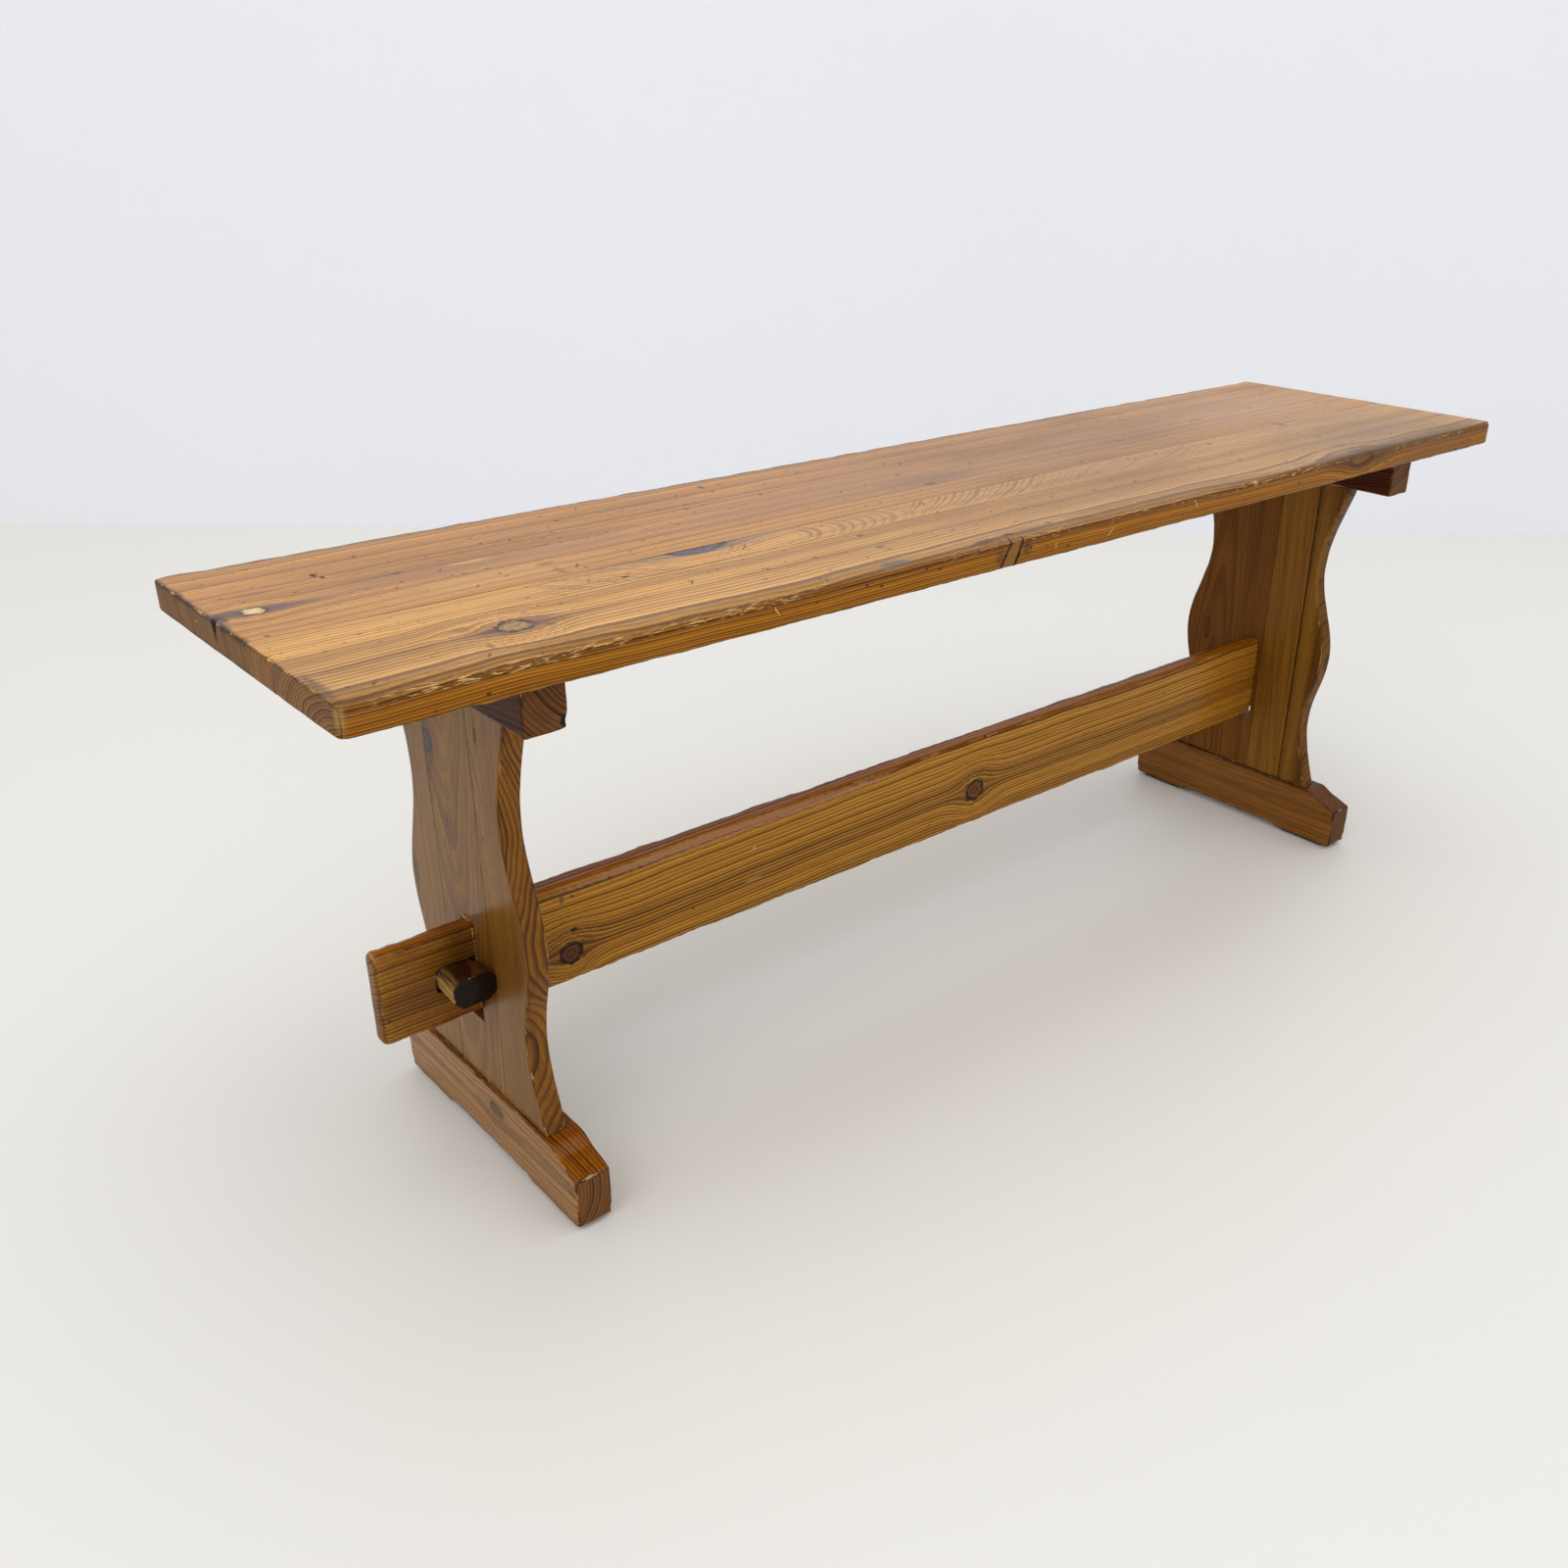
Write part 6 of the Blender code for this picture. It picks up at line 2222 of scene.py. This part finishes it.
@dataclass
class Trestle:
    """One wavy upright of three staves, its sledge foot and its cleat."""

    side: Side
    stave_lines: tuple[float, float]
    mortised: str
    middle_x: float = 0.478
    thickness: float = 0.018
    rounding: float = 0.0024
    bottom: float = 0.0601
    height: float = 0.3323
    wave_heights: tuple[float, ...] = (-0.121, 0.213, 0.44, 0.722, 1.114)
    half_widths: tuple[float, ...] = (0.0985, 0.0749, 0.0879, 0.0671, 0.0955)
    drawn_half_width: float = 0.088
    mortise_half_width: float = 0.0101
    mortise_heights: tuple[float, float] = (0.118, 0.2034)
    foot_length: float = 0.27
    foot_width: float = 0.0295
    foot_shift: float = 0.0027
    foot_height: float = 0.057
    toe_height: float = 0.043
    slope_length: float = 0.035
    sag_shares: tuple[float, float] = (0.36, 0.47)
    toe_chamfer: float = 0.005
    arch_length: float = 0.132
    arch_depth: float = 0.0032
    arch_run: float = 0.006
    pad_thickness: float = 0.0025
    cleat_width: float = 0.032
    cleat_height: float = 0.035
    cleat_length: float = 0.273
    cleat_outset: float = 0.0043
    foot_rounding: float = 0.0022
    cleat_rounding: float = 0.002
    cleat_end_rounding: float = 0.0018
    saw_depth: float = 0.00022
    bandsaw_sway: float = 0.0003

    def prefix(self) -> str:
        """The word that its pieces' names begin with."""
        return self.side.name.lower()

    def x(self) -> float:
        """The middle of the upright along the bench."""
        return self.side.value * self.middle_x

    def cleat_x(self) -> float:
        """The middle of the cleat along the bench."""
        return self.x() + self.side.value * self.cleat_outset

    def dowel_hole(self, way: int, mouth: float, up: int) -> Mesh:
        """The hole for half a dowel.

        Args:
            way: -1 for the front dowel, 1 for the back one.
            mouth: the height of its open end.
            up: 1 where it goes up from there, -1 where it goes down.

        Returns:
            The cutter.
        """
        reach = DOWEL_LENGTH / 2 + DRILLED_PAST
        centre = (self.x(), way * DOWEL_Y, mouth + up * reach / 2)
        return rod(centre, 2, DOWEL_RADIUS + GAP, reach + 2 * DRILLED_PAST)

    def stave(self, place: str, finish: Pine, effects: WoodEffects, makers: Makers, seed: int) -> None:
        """One stave of the upright, its free edge drawn to the wave.

        Args:
            place: front, middle or back.
            finish: its finish.
            effects: the shared shader groups.
            makers: the geometry node trees.
            seed: picks its unevenness.
        """
        front, back = self.stave_lines
        drawn = self.drawn_half_width
        bounds = {
            "front": (-drawn, front - HALF_GAP), "middle": (front + HALF_GAP, back - HALF_GAP),
            "back": (back + HALF_GAP, drawn),
        }[place]
        near = (0.0005, 0.0012, 0.0024, 0.004)
        x_lines = spaced(self.x() - self.thickness / 2, self.x() + self.thickness / 2, 0.0025, near[:3])
        y_lines = spaced(*bounds, 0.0026, near)
        z_lines = spaced(self.bottom, self.bottom + self.height, 0.0026, (0.0006, 0.0014))
        block = Block((x_lines, y_lines, z_lines), Grain.UPRIGHT, GLUED[place])
        block.ease(self.rounding)
        block.unevenness(seed, 0.00022, 0.12, 0.03)
        if place != "middle":
            way = -1 if place == "front" else 1
            marks, sway = Ripple(seed + 5, (1.0, 1.0, 0.022)), Ripple(seed + 6, (1.0, 1.0, 0.07))
            saw = marks(block.raw) * self.saw_depth + sway(block.raw) * self.bandsaw_sway
            free = eased(block.raw[:, 1] * way, drawn - 0.012, drawn - 0.002)
            block.points[:, 1] += saw * free
        name = f"{self.prefix()}_stave_{place}"
        material = finish.material(effects)
        mesh = block.mesh(name)
        if place == "middle":
            piece = add_object(mesh, name + "_board", material)
        else:
            line = front if place == "front" else back
            values = {
                "Material": material, "Way": float(way), "Still Line": line * way + 0.001,
                "Free Line": drawn - 0.006, "Drawn Half Width": drawn,
            }
            for i, (share, width) in enumerate(zip(self.wave_heights, self.half_widths), 1):
                values[f"Height {i}"] = self.bottom + share * self.height
                values[f"Half Width {i}"] = width
            piece = makers.make(name + "_board", mesh, makers.wave, values)
        self.cut_stave(piece, place)
        report(piece, Body.BENCH, [name])

    def cut_stave(self, piece: Piece, place: str) -> None:
        """Cuts the mortise and the dowel holes of a stave.

        Args:
            piece: the stave.
            place: front, middle or back.
        """
        holes = []
        if place == self.mortised:
            low, high = self.mortise_heights
            side, half = self.x(), self.thickness / 2 + CUT_PAST
            outline = [(side - half, low), (side + half, low), (side + half, high), (side - half, high)]
            holes.append(prism(outline, -self.mortise_half_width, self.mortise_half_width))
        if place != "middle":
            way = -1 if place == "front" else 1
            holes += [
                self.dowel_hole(way, self.bottom, 1), self.dowel_hole(way, self.bottom + self.height, -1),
            ]
        if holes:
            cut_with(piece, holes)

    def foot_top(self, across: Array) -> Array:
        """How far the foot's top falls towards its toes.

        Args:
            across: places across the bench.

        Returns:
            How far each falls.
        """
        toe, shoulder = self.foot_length / 2, self.foot_length / 2 - self.slope_length
        drop = self.foot_height - self.toe_height
        places = [shoulder - 0.002, shoulder + 0.0015, shoulder + self.sag_shares[0] * self.slope_length, toe]
        falls = [0, 0.04 * drop, self.sag_shares[1] * drop, drop]
        return np.interp(np.abs(across), places, falls)

    def foot_bottom(self, across: Array) -> Array:
        """How far the foot's underside rises over its shallow arch."""
        half = self.arch_length / 2
        return self.arch_depth * (1 - eased(np.abs(across), half - self.arch_run, half))

    def foot(self, effects: WoodEffects) -> None:
        """The sledge foot, hewn from one block.

        Args:
            effects: the shared shader groups.
        """
        x, toe = self.x() + self.foot_shift, self.foot_length / 2
        low = self.pad_thickness + GAP
        near = (0.0005, 0.0012, 0.002, 0.0032, 0.005)
        shoulder, sag = toe - self.slope_length, toe - self.slope_length * (1 - self.sag_shares[0])
        turns, about = (shoulder, sag, self.arch_length / 2), (-0.002, -0.001, 0, 0.001, 0.002)
        marks = tuple(s * (m + d) for s in (-1, 1) for m in turns for d in about)
        lines = (
            spaced(x - self.foot_width / 2, x + self.foot_width / 2, 0.0024, near),
            spaced(-toe, toe, 0.0028, near, marks),
            spaced(low, low + self.foot_height, 0.0024, near),
        )
        block = Block(lines, Grain.ACROSS_BENCH)
        rough = Ripple(61 + self.side.value, (0.012, 0.016, 0.012))(block.raw)
        block.ease(self.foot_rounding * (1 + 0.25 * rough))
        under = 1 - eased(block.raw[:, 2], low + 0.006, low + 0.014)
        block.ease_ends(
            self.foot_rounding * (1 + 0.2 * rough) + under * (self.toe_chamfer - self.foot_rounding)
        )
        share = np.clip((block.raw[:, 2] - low - 0.006) / (self.foot_height - 0.012), 0, 1)
        y = block.points[:, 1]
        block.points[:, 2] += self.foot_bottom(y) * (1 - share) - self.foot_top(y) * share
        block.unevenness(71 + self.side.value, 0.0003, 0.07, 0.02)
        if self.side is Side.LEFT:
            block.knocked((
                Dent((-0.4903, -0.131, 0.034), (0.003, 0.004, 0.0022), (0.0008, 0.0005, 0)),
                Dent((-0.4903, -0.1345, 0.022), (0.003, 0.003, 0.0016), (0.0008, 0.0006, 0)),
                Dent((-0.4903, -0.134, 0.014), (0.003, 0.003, 0.0014), (0.0007, 0.0006, 0)),
                Dent((-0.4903, -0.019, 0.042), (0.003, 0.01, 0.009), (0.0003, 0, 0)),
            ))
        name = self.prefix() + "_foot"
        piece = add_object(block.mesh(name), name + "_block", foot_finish(self.side).material(effects))
        cut_with(piece, [self.dowel_hole(s, low + self.foot_height, -1) for s in (-1, 1)])
        report(piece, Body.BENCH, [name])

    def cleat(self, effects: WoodEffects) -> None:
        """The cleat that carries the seat.

        Args:
            effects: the shared shader groups.
        """
        x, top = self.cleat_x(), SEAT_TOP - SEAT_THICKNESS - GAP
        near = (0.0004, 0.001, 0.002, 0.0032)
        lines = (
            spaced(x - self.cleat_width / 2, x + self.cleat_width / 2, 0.0024, near),
            spaced(-self.cleat_length / 2, self.cleat_length / 2, 0.003, near),
            spaced(top - self.cleat_height, top, 0.0024, near),
        )
        block = Block(lines, Grain.ACROSS_BENCH)
        rough = Ripple(81 + self.side.value, (0.012, 0.02, 0.012))(block.raw)
        block.ease(self.cleat_rounding * (1 + 0.3 * rough))
        block.ease_ends(self.cleat_end_rounding * (1 + 0.3 * rough))
        block.unevenness(83 + self.side.value, 0.0003, 0.08, 0.022)
        if self.side is Side.LEFT:
            block.knocked(
                (Dent((-0.4665, -0.1365, 0.3965), (0.004, 0.004, 0.005), (-0.0012, 0.0016, 0.0008)),)
            )
        name = self.prefix() + "_cleat"
        piece = add_object(block.mesh(name), name + "_bar", cleat_finish(self.side).material(effects))
        bottom = top - self.cleat_height
        middle, drilled = (top + bottom) / 2, self.cleat_height + 0.004
        holes = [rod((x, s * SCREW_Y, middle), 2, SCREW_RADIUS + GAP, drilled) for s in (-1, 1)]
        cut_with(piece, holes + [self.dowel_hole(s, bottom, 1) for s in (-1, 1)])
        report(piece, Body.BENCH, [name])

    def build(self, finishes: dict[str, Pine], effects: WoodEffects, makers: Makers) -> None:
        """Builds and dresses the trestle.

        Args:
            finishes: the finish of each stave.
            effects: the shared shader groups.
            makers: the geometry node trees.
        """
        for i, place in enumerate(GLUED):
            self.stave(place, finishes[place], effects, makers, 200 + 10 * i + self.side.value)
        self.foot(effects)
        self.cleat(effects)


@dataclass
class Stretcher:
    """The long board on edge with its slotted tenons."""

    thickness: float = 0.019
    bottom: float = 0.1229
    top: float = 0.2097
    rounding: float = 0.004
    shoulder: float = 0.4687
    tenon_heights: tuple[float, float] = (0.1264, 0.2031)
    tenon_thickness: float = 0.0184
    tenon_end: float = 0.564
    tenon_rounding: float = 0.0076
    end_rounding: float = 0.005
    slot_inner: float = 0.481
    slot_outer: float = 0.521
    slot_heights: tuple[float, float] = (0.1551, 0.1773)
    slot_radius: float = 0.006
    dents: tuple[Dent, ...] = (
        Dent((-0.405, -0.0095, 0.1675), (0.003, 0.004, 0.003), (0, 0.0007, 0)),
        Dent((-0.409, -0.0095, 0.148), (0.007, 0.004, 0.006), (0, 0.0004, 0)),
        Dent((0.031, -0.0095, 0.157), (0.008, 0.004, 0.008), (0, 0.0003, 0)),
        Dent((-0.564, -0.0092, 0.128), (0.004, 0.004, 0.004), (0.0012, 0.0006, 0.0008)),
    )

    def slot_outline(self, side: int) -> list[tuple[float, float]]:
        """The outline of a key's slot, rounded at its outer end.

        Args:
            side: -1 for the left end, 1 for the right.

        Returns:
            (x, z) points in order.
        """
        low, high = self.slot_heights
        points = [(self.slot_inner, low)]
        radius = self.slot_radius
        for start, up in ((-math.pi / 2, low + radius), (0.0, high - radius)):
            for i in range(7):
                angle = start + math.pi / 2 * i / 6
                points.append(
                    (self.slot_outer - radius + radius * math.cos(angle), up + radius * math.sin(angle))
                )
        points.append((self.slot_inner, high))
        return [(side * x, z) for x, z in points]

    def build(self, finish: Pine, effects: WoodEffects) -> None:
        """Builds and dresses the stretcher.

        Args:
            finish: its finish.
            effects: the shared shader groups.
        """
        near = (0.0004, 0.001, 0.002, 0.0035)
        about = (-0.002, -0.001, -0.0003, 0.0, 0.0002, 0.001, 0.002)
        steps = tuple(s * (self.shoulder + d) for s in (-1, 1) for d in about)
        half = self.thickness / 2
        lines = (
            spaced(-self.tenon_end, self.tenon_end, 0.0034, near, steps),
            spaced(-half, half, 0.0024, (0.0005, 0.0012, 0.0022, 0.0032, 0.004)),
            spaced(self.bottom, self.top, 0.0024, (0.0005, 0.0012, 0.0022, 0.0032, 0.004, 0.0052)),
        )
        block = Block(lines, Grain.ALONG_BENCH)
        on_tenon = np.abs(block.raw[:, 0]) > self.shoulder + 0.0001
        long_cuts, short_cuts = Ripple(91, (0.03, 0.2, 0.2)), Ripple(92, (0.01, 0.2, 0.2))
        planed = long_cuts(block.raw) * 0.32 + short_cuts(block.raw) * 0.16
        block.ease(np.where(on_tenon, self.tenon_rounding, self.rounding) * (1 + planed), power=1.7)
        block.ease_ends(self.end_rounding)
        low, high = self.tenon_heights
        middle = (self.bottom + self.top) / 2
        fitted = (low + high) / 2 + (block.points[:, 2] - middle) * (high - low) / (self.top - self.bottom)
        block.points[:, 2] = np.where(on_tenon, fitted, block.points[:, 2])
        block.points[:, 1] *= np.where(on_tenon, self.tenon_thickness / self.thickness, 1)
        block.unevenness(93, 0.0003, 0.09, 0.026)
        block.knocked(self.dents)
        piece = add_object(block.mesh("stretcher"), "stretcher_rail", finish.material(effects))
        cut_with(piece, [prism(self.slot_outline(s), -half - 0.004, half + 0.004) for s in (-1, 1)])
        report(piece, Body.BENCH, ["stretcher"])


@dataclass
class Key:
    """A tapered key, whittled to eight sides."""

    side: Side
    length: float = 0.078
    front: float = -0.0385
    flank: float = 0.4873
    bottom: float = 0.1554
    front_width: float = 0.0337
    back_width: float = 0.0277
    front_height: float = 0.024
    back_height: float = 0.015
    chamfer: float = 0.0065
    end_rounding: float = 0.0011

    def build(self, effects: WoodEffects) -> None:
        """Builds and dresses the key.

        Args:
            effects: the shared shader groups.
        """
        near = (0.0003, 0.0009, 0.0018, 0.003, 0.0045, 0.0055, 0.0065)
        way = self.side.value
        spans = sorted((way * self.flank, way * (self.flank + self.front_width)))
        lines = (
            spaced(spans[0], spans[1], 0.0022, near),
            spaced(self.front, self.front + self.length, 0.0022, near[:4]),
            spaced(self.bottom, self.bottom + self.front_height, 0.0022, near),
        )
        block = Block(lines, Grain.ACROSS_BENCH)
        rough = Ripple(95 + way, (0.03, 0.018, 0.03))(block.raw)
        block.ease(self.chamfer * (1 + 0.07 * rough), power=1.12)
        block.ease_ends(self.end_rounding)
        share = (block.raw[:, 1] - self.front) / self.length
        width = 1 + share * (self.back_width / self.front_width - 1)
        height = 1 + share * (self.back_height / self.front_height - 1)
        block.points[:, 0] = way * self.flank + (block.points[:, 0] - way * self.flank) * width
        block.points[:, 2] = self.bottom + (block.points[:, 2] - self.bottom) * height
        block.unevenness(97 + way, 0.0003, 0.026, 0.016)
        name = self.side.name.lower() + "_key"
        piece = add_object(block.mesh(name), name + "_wedge", key_finish(self.side).material(effects))
        report(piece, Body.LEFT_KEY if way < 0 else Body.RIGHT_KEY, [name])


@dataclass
class Hardware:
    """Screws, dowels, felt pads and torn fibres, all strewn by geometry nodes."""

    cleat_x: tuple[float, float] = (-0.4823, 0.4792)
    cleat_bottom: float = 0.3927
    screw_reach: float = 0.0473
    head_radius: float = 0.0038
    head_height: float = 0.0022
    driver_slot: Point = (0.0005, 0.0045, 0.0016)
    dowel_x: float = 0.478
    dowel_heights: tuple[float, float] = (0.05995, 0.39255)
    pad_size: Point = (0.023, 0.05, 0.0025)
    pad_y: float = 0.098
    foot_x: tuple[float, float] = (-0.4753, 0.4807)
    fibre_place: tuple[float, float] = (-0.4878, -0.0098)
    fibre_heights: tuple[float, ...] = (0.131, 0.152, 0.182, 0.2)
    mortise_top: float = 0.2034

    def screws(self, makers: Makers) -> None:
        """The four round-head screws, heads down.

        Args:
            makers: the geometry node trees.
        """
        base = -GAP - self.head_height
        span = self.screw_reach - base
        points = [(x, s * SCREW_Y, self.cleat_bottom) for x in self.cleat_x for s in (-1, 1)]
        head_share = self.head_height / span
        values = {
            "Material": Steel().material(), "Bottom": base, "Top": self.screw_reach,
            "Head Radius": self.head_radius, "Head Share": head_share, "Dome Share": head_share,
            "Shank Radius": SCREW_RADIUS, "Point Share": 0.92, "Point Radius": 0.0002, "Thread From": 0.45,
            "Sides": RING_SIDES,
        }
        piece = makers.make("cleat_screws", point_mesh(points), makers.turned, values)
        wide, long, sunk = self.driver_slot
        slot_tools = []
        for x, y, z in points:
            outline = [
                (x - wide, z - 0.004), (x + wide, z - 0.004), (x + wide, z - sunk), (x - wide, z - sunk),
            ]
            slot_tools.append(prism(outline, y - long, y + long))
        cut_with(piece, slot_tools)
        nodes = [f"{side}_screw_{end}" for side in SIDES for end in ENDS]
        report(piece, Body.BENCH, nodes)

    def dowels(self, finish: Pine, effects: WoodEffects, makers: Makers) -> None:
        """The eight dowels inside the trestles.

        Args:
            finish: their finish.
            effects: the shared shader groups.
            makers: the geometry node trees.
        """
        half = DOWEL_LENGTH / 2
        places = (-self.dowel_x, self.dowel_x)
        points = [(x, s * DOWEL_Y, z) for x in places for s in (-1, 1) for z in self.dowel_heights]
        values = {
            "Material": finish.material(effects), "Bottom": -half, "Top": half,
            "Head Radius": DOWEL_RADIUS * 0.9, "Head Share": 0.018, "Dome Share": 0.018,
            "Shank Radius": DOWEL_RADIUS, "Point Share": 0.98, "Point Radius": DOWEL_RADIUS * 0.85,
            "Thread Pitch": 0.0022, "Thread Depth": 0.0002, "Thread From": 0.03, "Sides": RING_SIDES,
        }
        piece = makers.make("dowel_pins", point_mesh(points), makers.turned, values)
        nodes = [
            f"{side}_{joint}_dowel_{end}" for side in SIDES for joint in ("foot", "head") for end in ENDS
        ]
        report(piece, Body.BENCH, nodes)

    def pads(self, makers: Makers) -> None:
        """The felt pads under both feet.

        Args:
            makers: the geometry node trees.
        """
        points = [(x, s * self.pad_y, self.pad_size[2] / 2) for x in self.foot_x for s in (-1, 1)]
        piece = makers.make(
            "foot_pads", point_mesh(points), makers.pads,
            {"Material": Felt().material(), "Size": self.pad_size},
        )
        nodes = [f"{side}_pad_{end}" for side in SIDES for end in ENDS]
        report(piece, Body.BENCH, nodes)

    def fibres(self, finish: Pine, effects: WoodEffects, makers: Makers) -> None:
        """Fibres torn up where the near tenon was driven through its mortise.

        Args:
            finish: the finish that they are a paler form of.
            effects: the shared shader groups.
            makers: the geometry node trees.
        """
        x, y = self.fibre_place
        points = [(x, y, z) for z in self.fibre_heights] + [
            (x, side, self.mortise_top) for side in (-0.004, 0.006)
        ]
        edges = [(0, 1), (1, 2), (2, 3), (4, 5)]
        pale = replace(
            finish, name="torn_fibre_pine", early=(224, 190, 140), late=(180, 140, 92),
            streak=(200, 160, 110), knots=(), patches=(), scores=(),
        )
        material = pale.material(effects)
        values = {
            "Material": material, "Count": 34, "Length": 0.0032, "Thickness": 0.00026, "Spread": 0.7,
            "Seed": 3,
        }
        piece = makers.make("mortise_fibres", point_mesh(points, edges), makers.splinters, values)
        report(piece, Body.BENCH, [])


@dataclass
class Studio:
    """A plain pale room: floor, backdrop, soft lamps and the camera."""

    camera_place: Point = (-0.88914, -0.88752, 0.74771)
    yaw: float = 40.2537
    pitch: float = 26.2883
    roll: float = 0.3757
    focal_px: float = 1507.13
    centre_px: tuple[float, float] = (848.54, 838.31)
    frame_px: int = 1600
    wall_distance: float = 2.77
    floor_colour: Colour = (235, 232, 225)
    wall_colour: Colour = (240, 241, 246)
    world_strength: float = 0.92
    key_power: float = 11.5

    def axes(self) -> tuple[Vector, Vector, Vector]:
        """The camera's right, up and forward ways.

        Returns:
            Three unit vectors.
        """
        yaw, pitch, roll = (math.radians(a) for a in (self.yaw, self.pitch, self.roll))
        forward = Vector((math.sin(yaw) * math.cos(pitch), math.cos(yaw) * math.cos(pitch), -math.sin(pitch)))
        right = Vector((math.cos(yaw), -math.sin(yaw), 0))
        up = right.cross(forward)
        cosine, sine = math.cos(roll), math.sin(roll)
        return cosine * right + sine * up, -sine * right + cosine * up, forward

    def camera(self) -> None:
        """Places the camera where the picture was taken from."""
        data = bpy.data.cameras.new("camera")
        data.sensor_width = 36.0
        data.lens = self.focal_px / self.frame_px * data.sensor_width
        data.shift_x = (self.frame_px / 2 - self.centre_px[0]) / self.frame_px
        data.shift_y = (self.centre_px[1] - self.frame_px / 2) / self.frame_px
        data.clip_start, data.clip_end = 0.02, 60.0
        shot = bpy.data.objects.new("camera", data)
        bpy.context.scene.collection.objects.link(shot)
        right, up, forward = self.axes()
        turn = Matrix((right, up, -forward)).transposed().to_4x4()
        shot.matrix_world = Matrix.Translation(self.camera_place) @ turn
        bpy.context.scene.camera = shot

    def plain(self, name: str, colour: Colour, roughness: float) -> Material:
        """A plain matt paint for floor or wall.

        Args:
            name: its name.
            colour: its colour.
            roughness: its roughness.

        Returns:
            The material.
        """
        made, t, shader, place = new_material(name)
        shader["Base Color"] = t.vector(
            "SCALE", linear(colour)[:3], scale=0.985 + t.noise(place, 1.3, 2.0) * 0.03,
        )
        shader["Roughness"] = roughness
        return made

    def room(self) -> None:
        """The floor, and a wall square to the camera's view."""
        yaw = math.radians(self.yaw)
        ahead = Vector((math.sin(yaw), math.cos(yaw), 0))
        aside = Vector((math.cos(yaw), -math.sin(yaw), 0))
        foot = Vector((self.camera_place[0], self.camera_place[1], 0)) + ahead * self.wall_distance
        corners = [
            foot - aside * 9 - ahead * 12, foot + aside * 9 - ahead * 12, foot + aside * 9, foot - aside * 9,
        ]
        floor = bpy.data.meshes.new("floor")
        floor.from_pydata([tuple(c) for c in corners], [], [(0, 1, 2, 3)])
        tall = Vector((0, 0, 5))
        wall = bpy.data.meshes.new("backdrop")
        wall.from_pydata(
            [tuple(c) for c in (corners[3], corners[2], corners[2] + tall, corners[3] + tall)], [],
            [(0, 1, 2, 3)]
        )
        add_object(floor, "floor", self.plain("floor_paint", self.floor_colour, 0.5))
        add_object(wall, "backdrop", self.plain("wall_paint", self.wall_colour, 0.9))

    def lamp(
        self, name: str, place: Point, target: Point, size: float, power: float,
        colour: tuple[float, float, float],
    ) -> None:
        """One soft square lamp.

        Args:
            name: its name.
            place: where it hangs.
            target: what it faces.
            size: its side.
            power: its power in watts.
            colour: its linear colour.
        """
        data = bpy.data.lights.new(name, "AREA")
        data.energy, data.size, data.color = power, size, colour
        made = bpy.data.objects.new(name, data)
        bpy.context.scene.collection.objects.link(made)
        made.location = place
        made.rotation_euler = (Vector(target) - Vector(place)).to_track_quat("-Z", "Y").to_euler()

    def light(self) -> None:
        """Soft daylight from above and from the left, in an evenly lit room."""
        world = bpy.data.worlds.new("room_light")
        world.use_nodes = True
        backdrop = world.node_tree.nodes["Background"]
        backdrop.inputs["Color"].default_value = (0.96, 0.98, 1.0, 1.0)
        backdrop.inputs["Strength"].default_value = self.world_strength
        bpy.context.scene.world = world
        self.lamp("window_light", (-2.3, -0.9, 2.1), (0.0, 0.0, 0.3), 1.8, self.key_power, (1.0, 0.99, 0.97))
        self.lamp(
            "ceiling_light", (0.3, -0.4, 3.0), (0.0, 0.0, 0.0), 2.6, self.key_power * 1.4, (1.0, 0.99, 0.98),
        )

    def build(self) -> None:
        """Sets the room up."""
        self.room()
        self.light()
        self.camera()
        bpy.context.scene.view_settings.view_transform = "Standard"
        LOG.info("studio: floor, backdrop, two lamps and the camera")


def main() -> None:
    """Builds the bench and its room, piece by piece."""
    logging.basicConfig(level=logging.INFO, format="%(name)s %(message)s", stream=sys.stdout)
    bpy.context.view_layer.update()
    effects, makers = WoodEffects(), Makers()
    Seat().build(seat_finishes(), effects)
    Trestle(Side.LEFT, (-0.0329, 0.0362), "middle").build(left_stave_finishes(), effects, makers)
    Trestle(
        Side.RIGHT, (-0.057, -0.0151), "back", cleat_outset=0.0012,
    ).build(right_stave_finishes(), effects, makers)
    Stretcher().build(STRETCHER, effects)
    for side in Side:
        Key(side).build(effects)
    hardware = Hardware()
    hardware.screws(makers)
    hardware.dowels(DOWEL, effects, makers)
    hardware.pads(makers)
    hardware.fibres(STRETCHER, effects, makers)
    Studio().build()


if __name__ == "__main__":
    main()
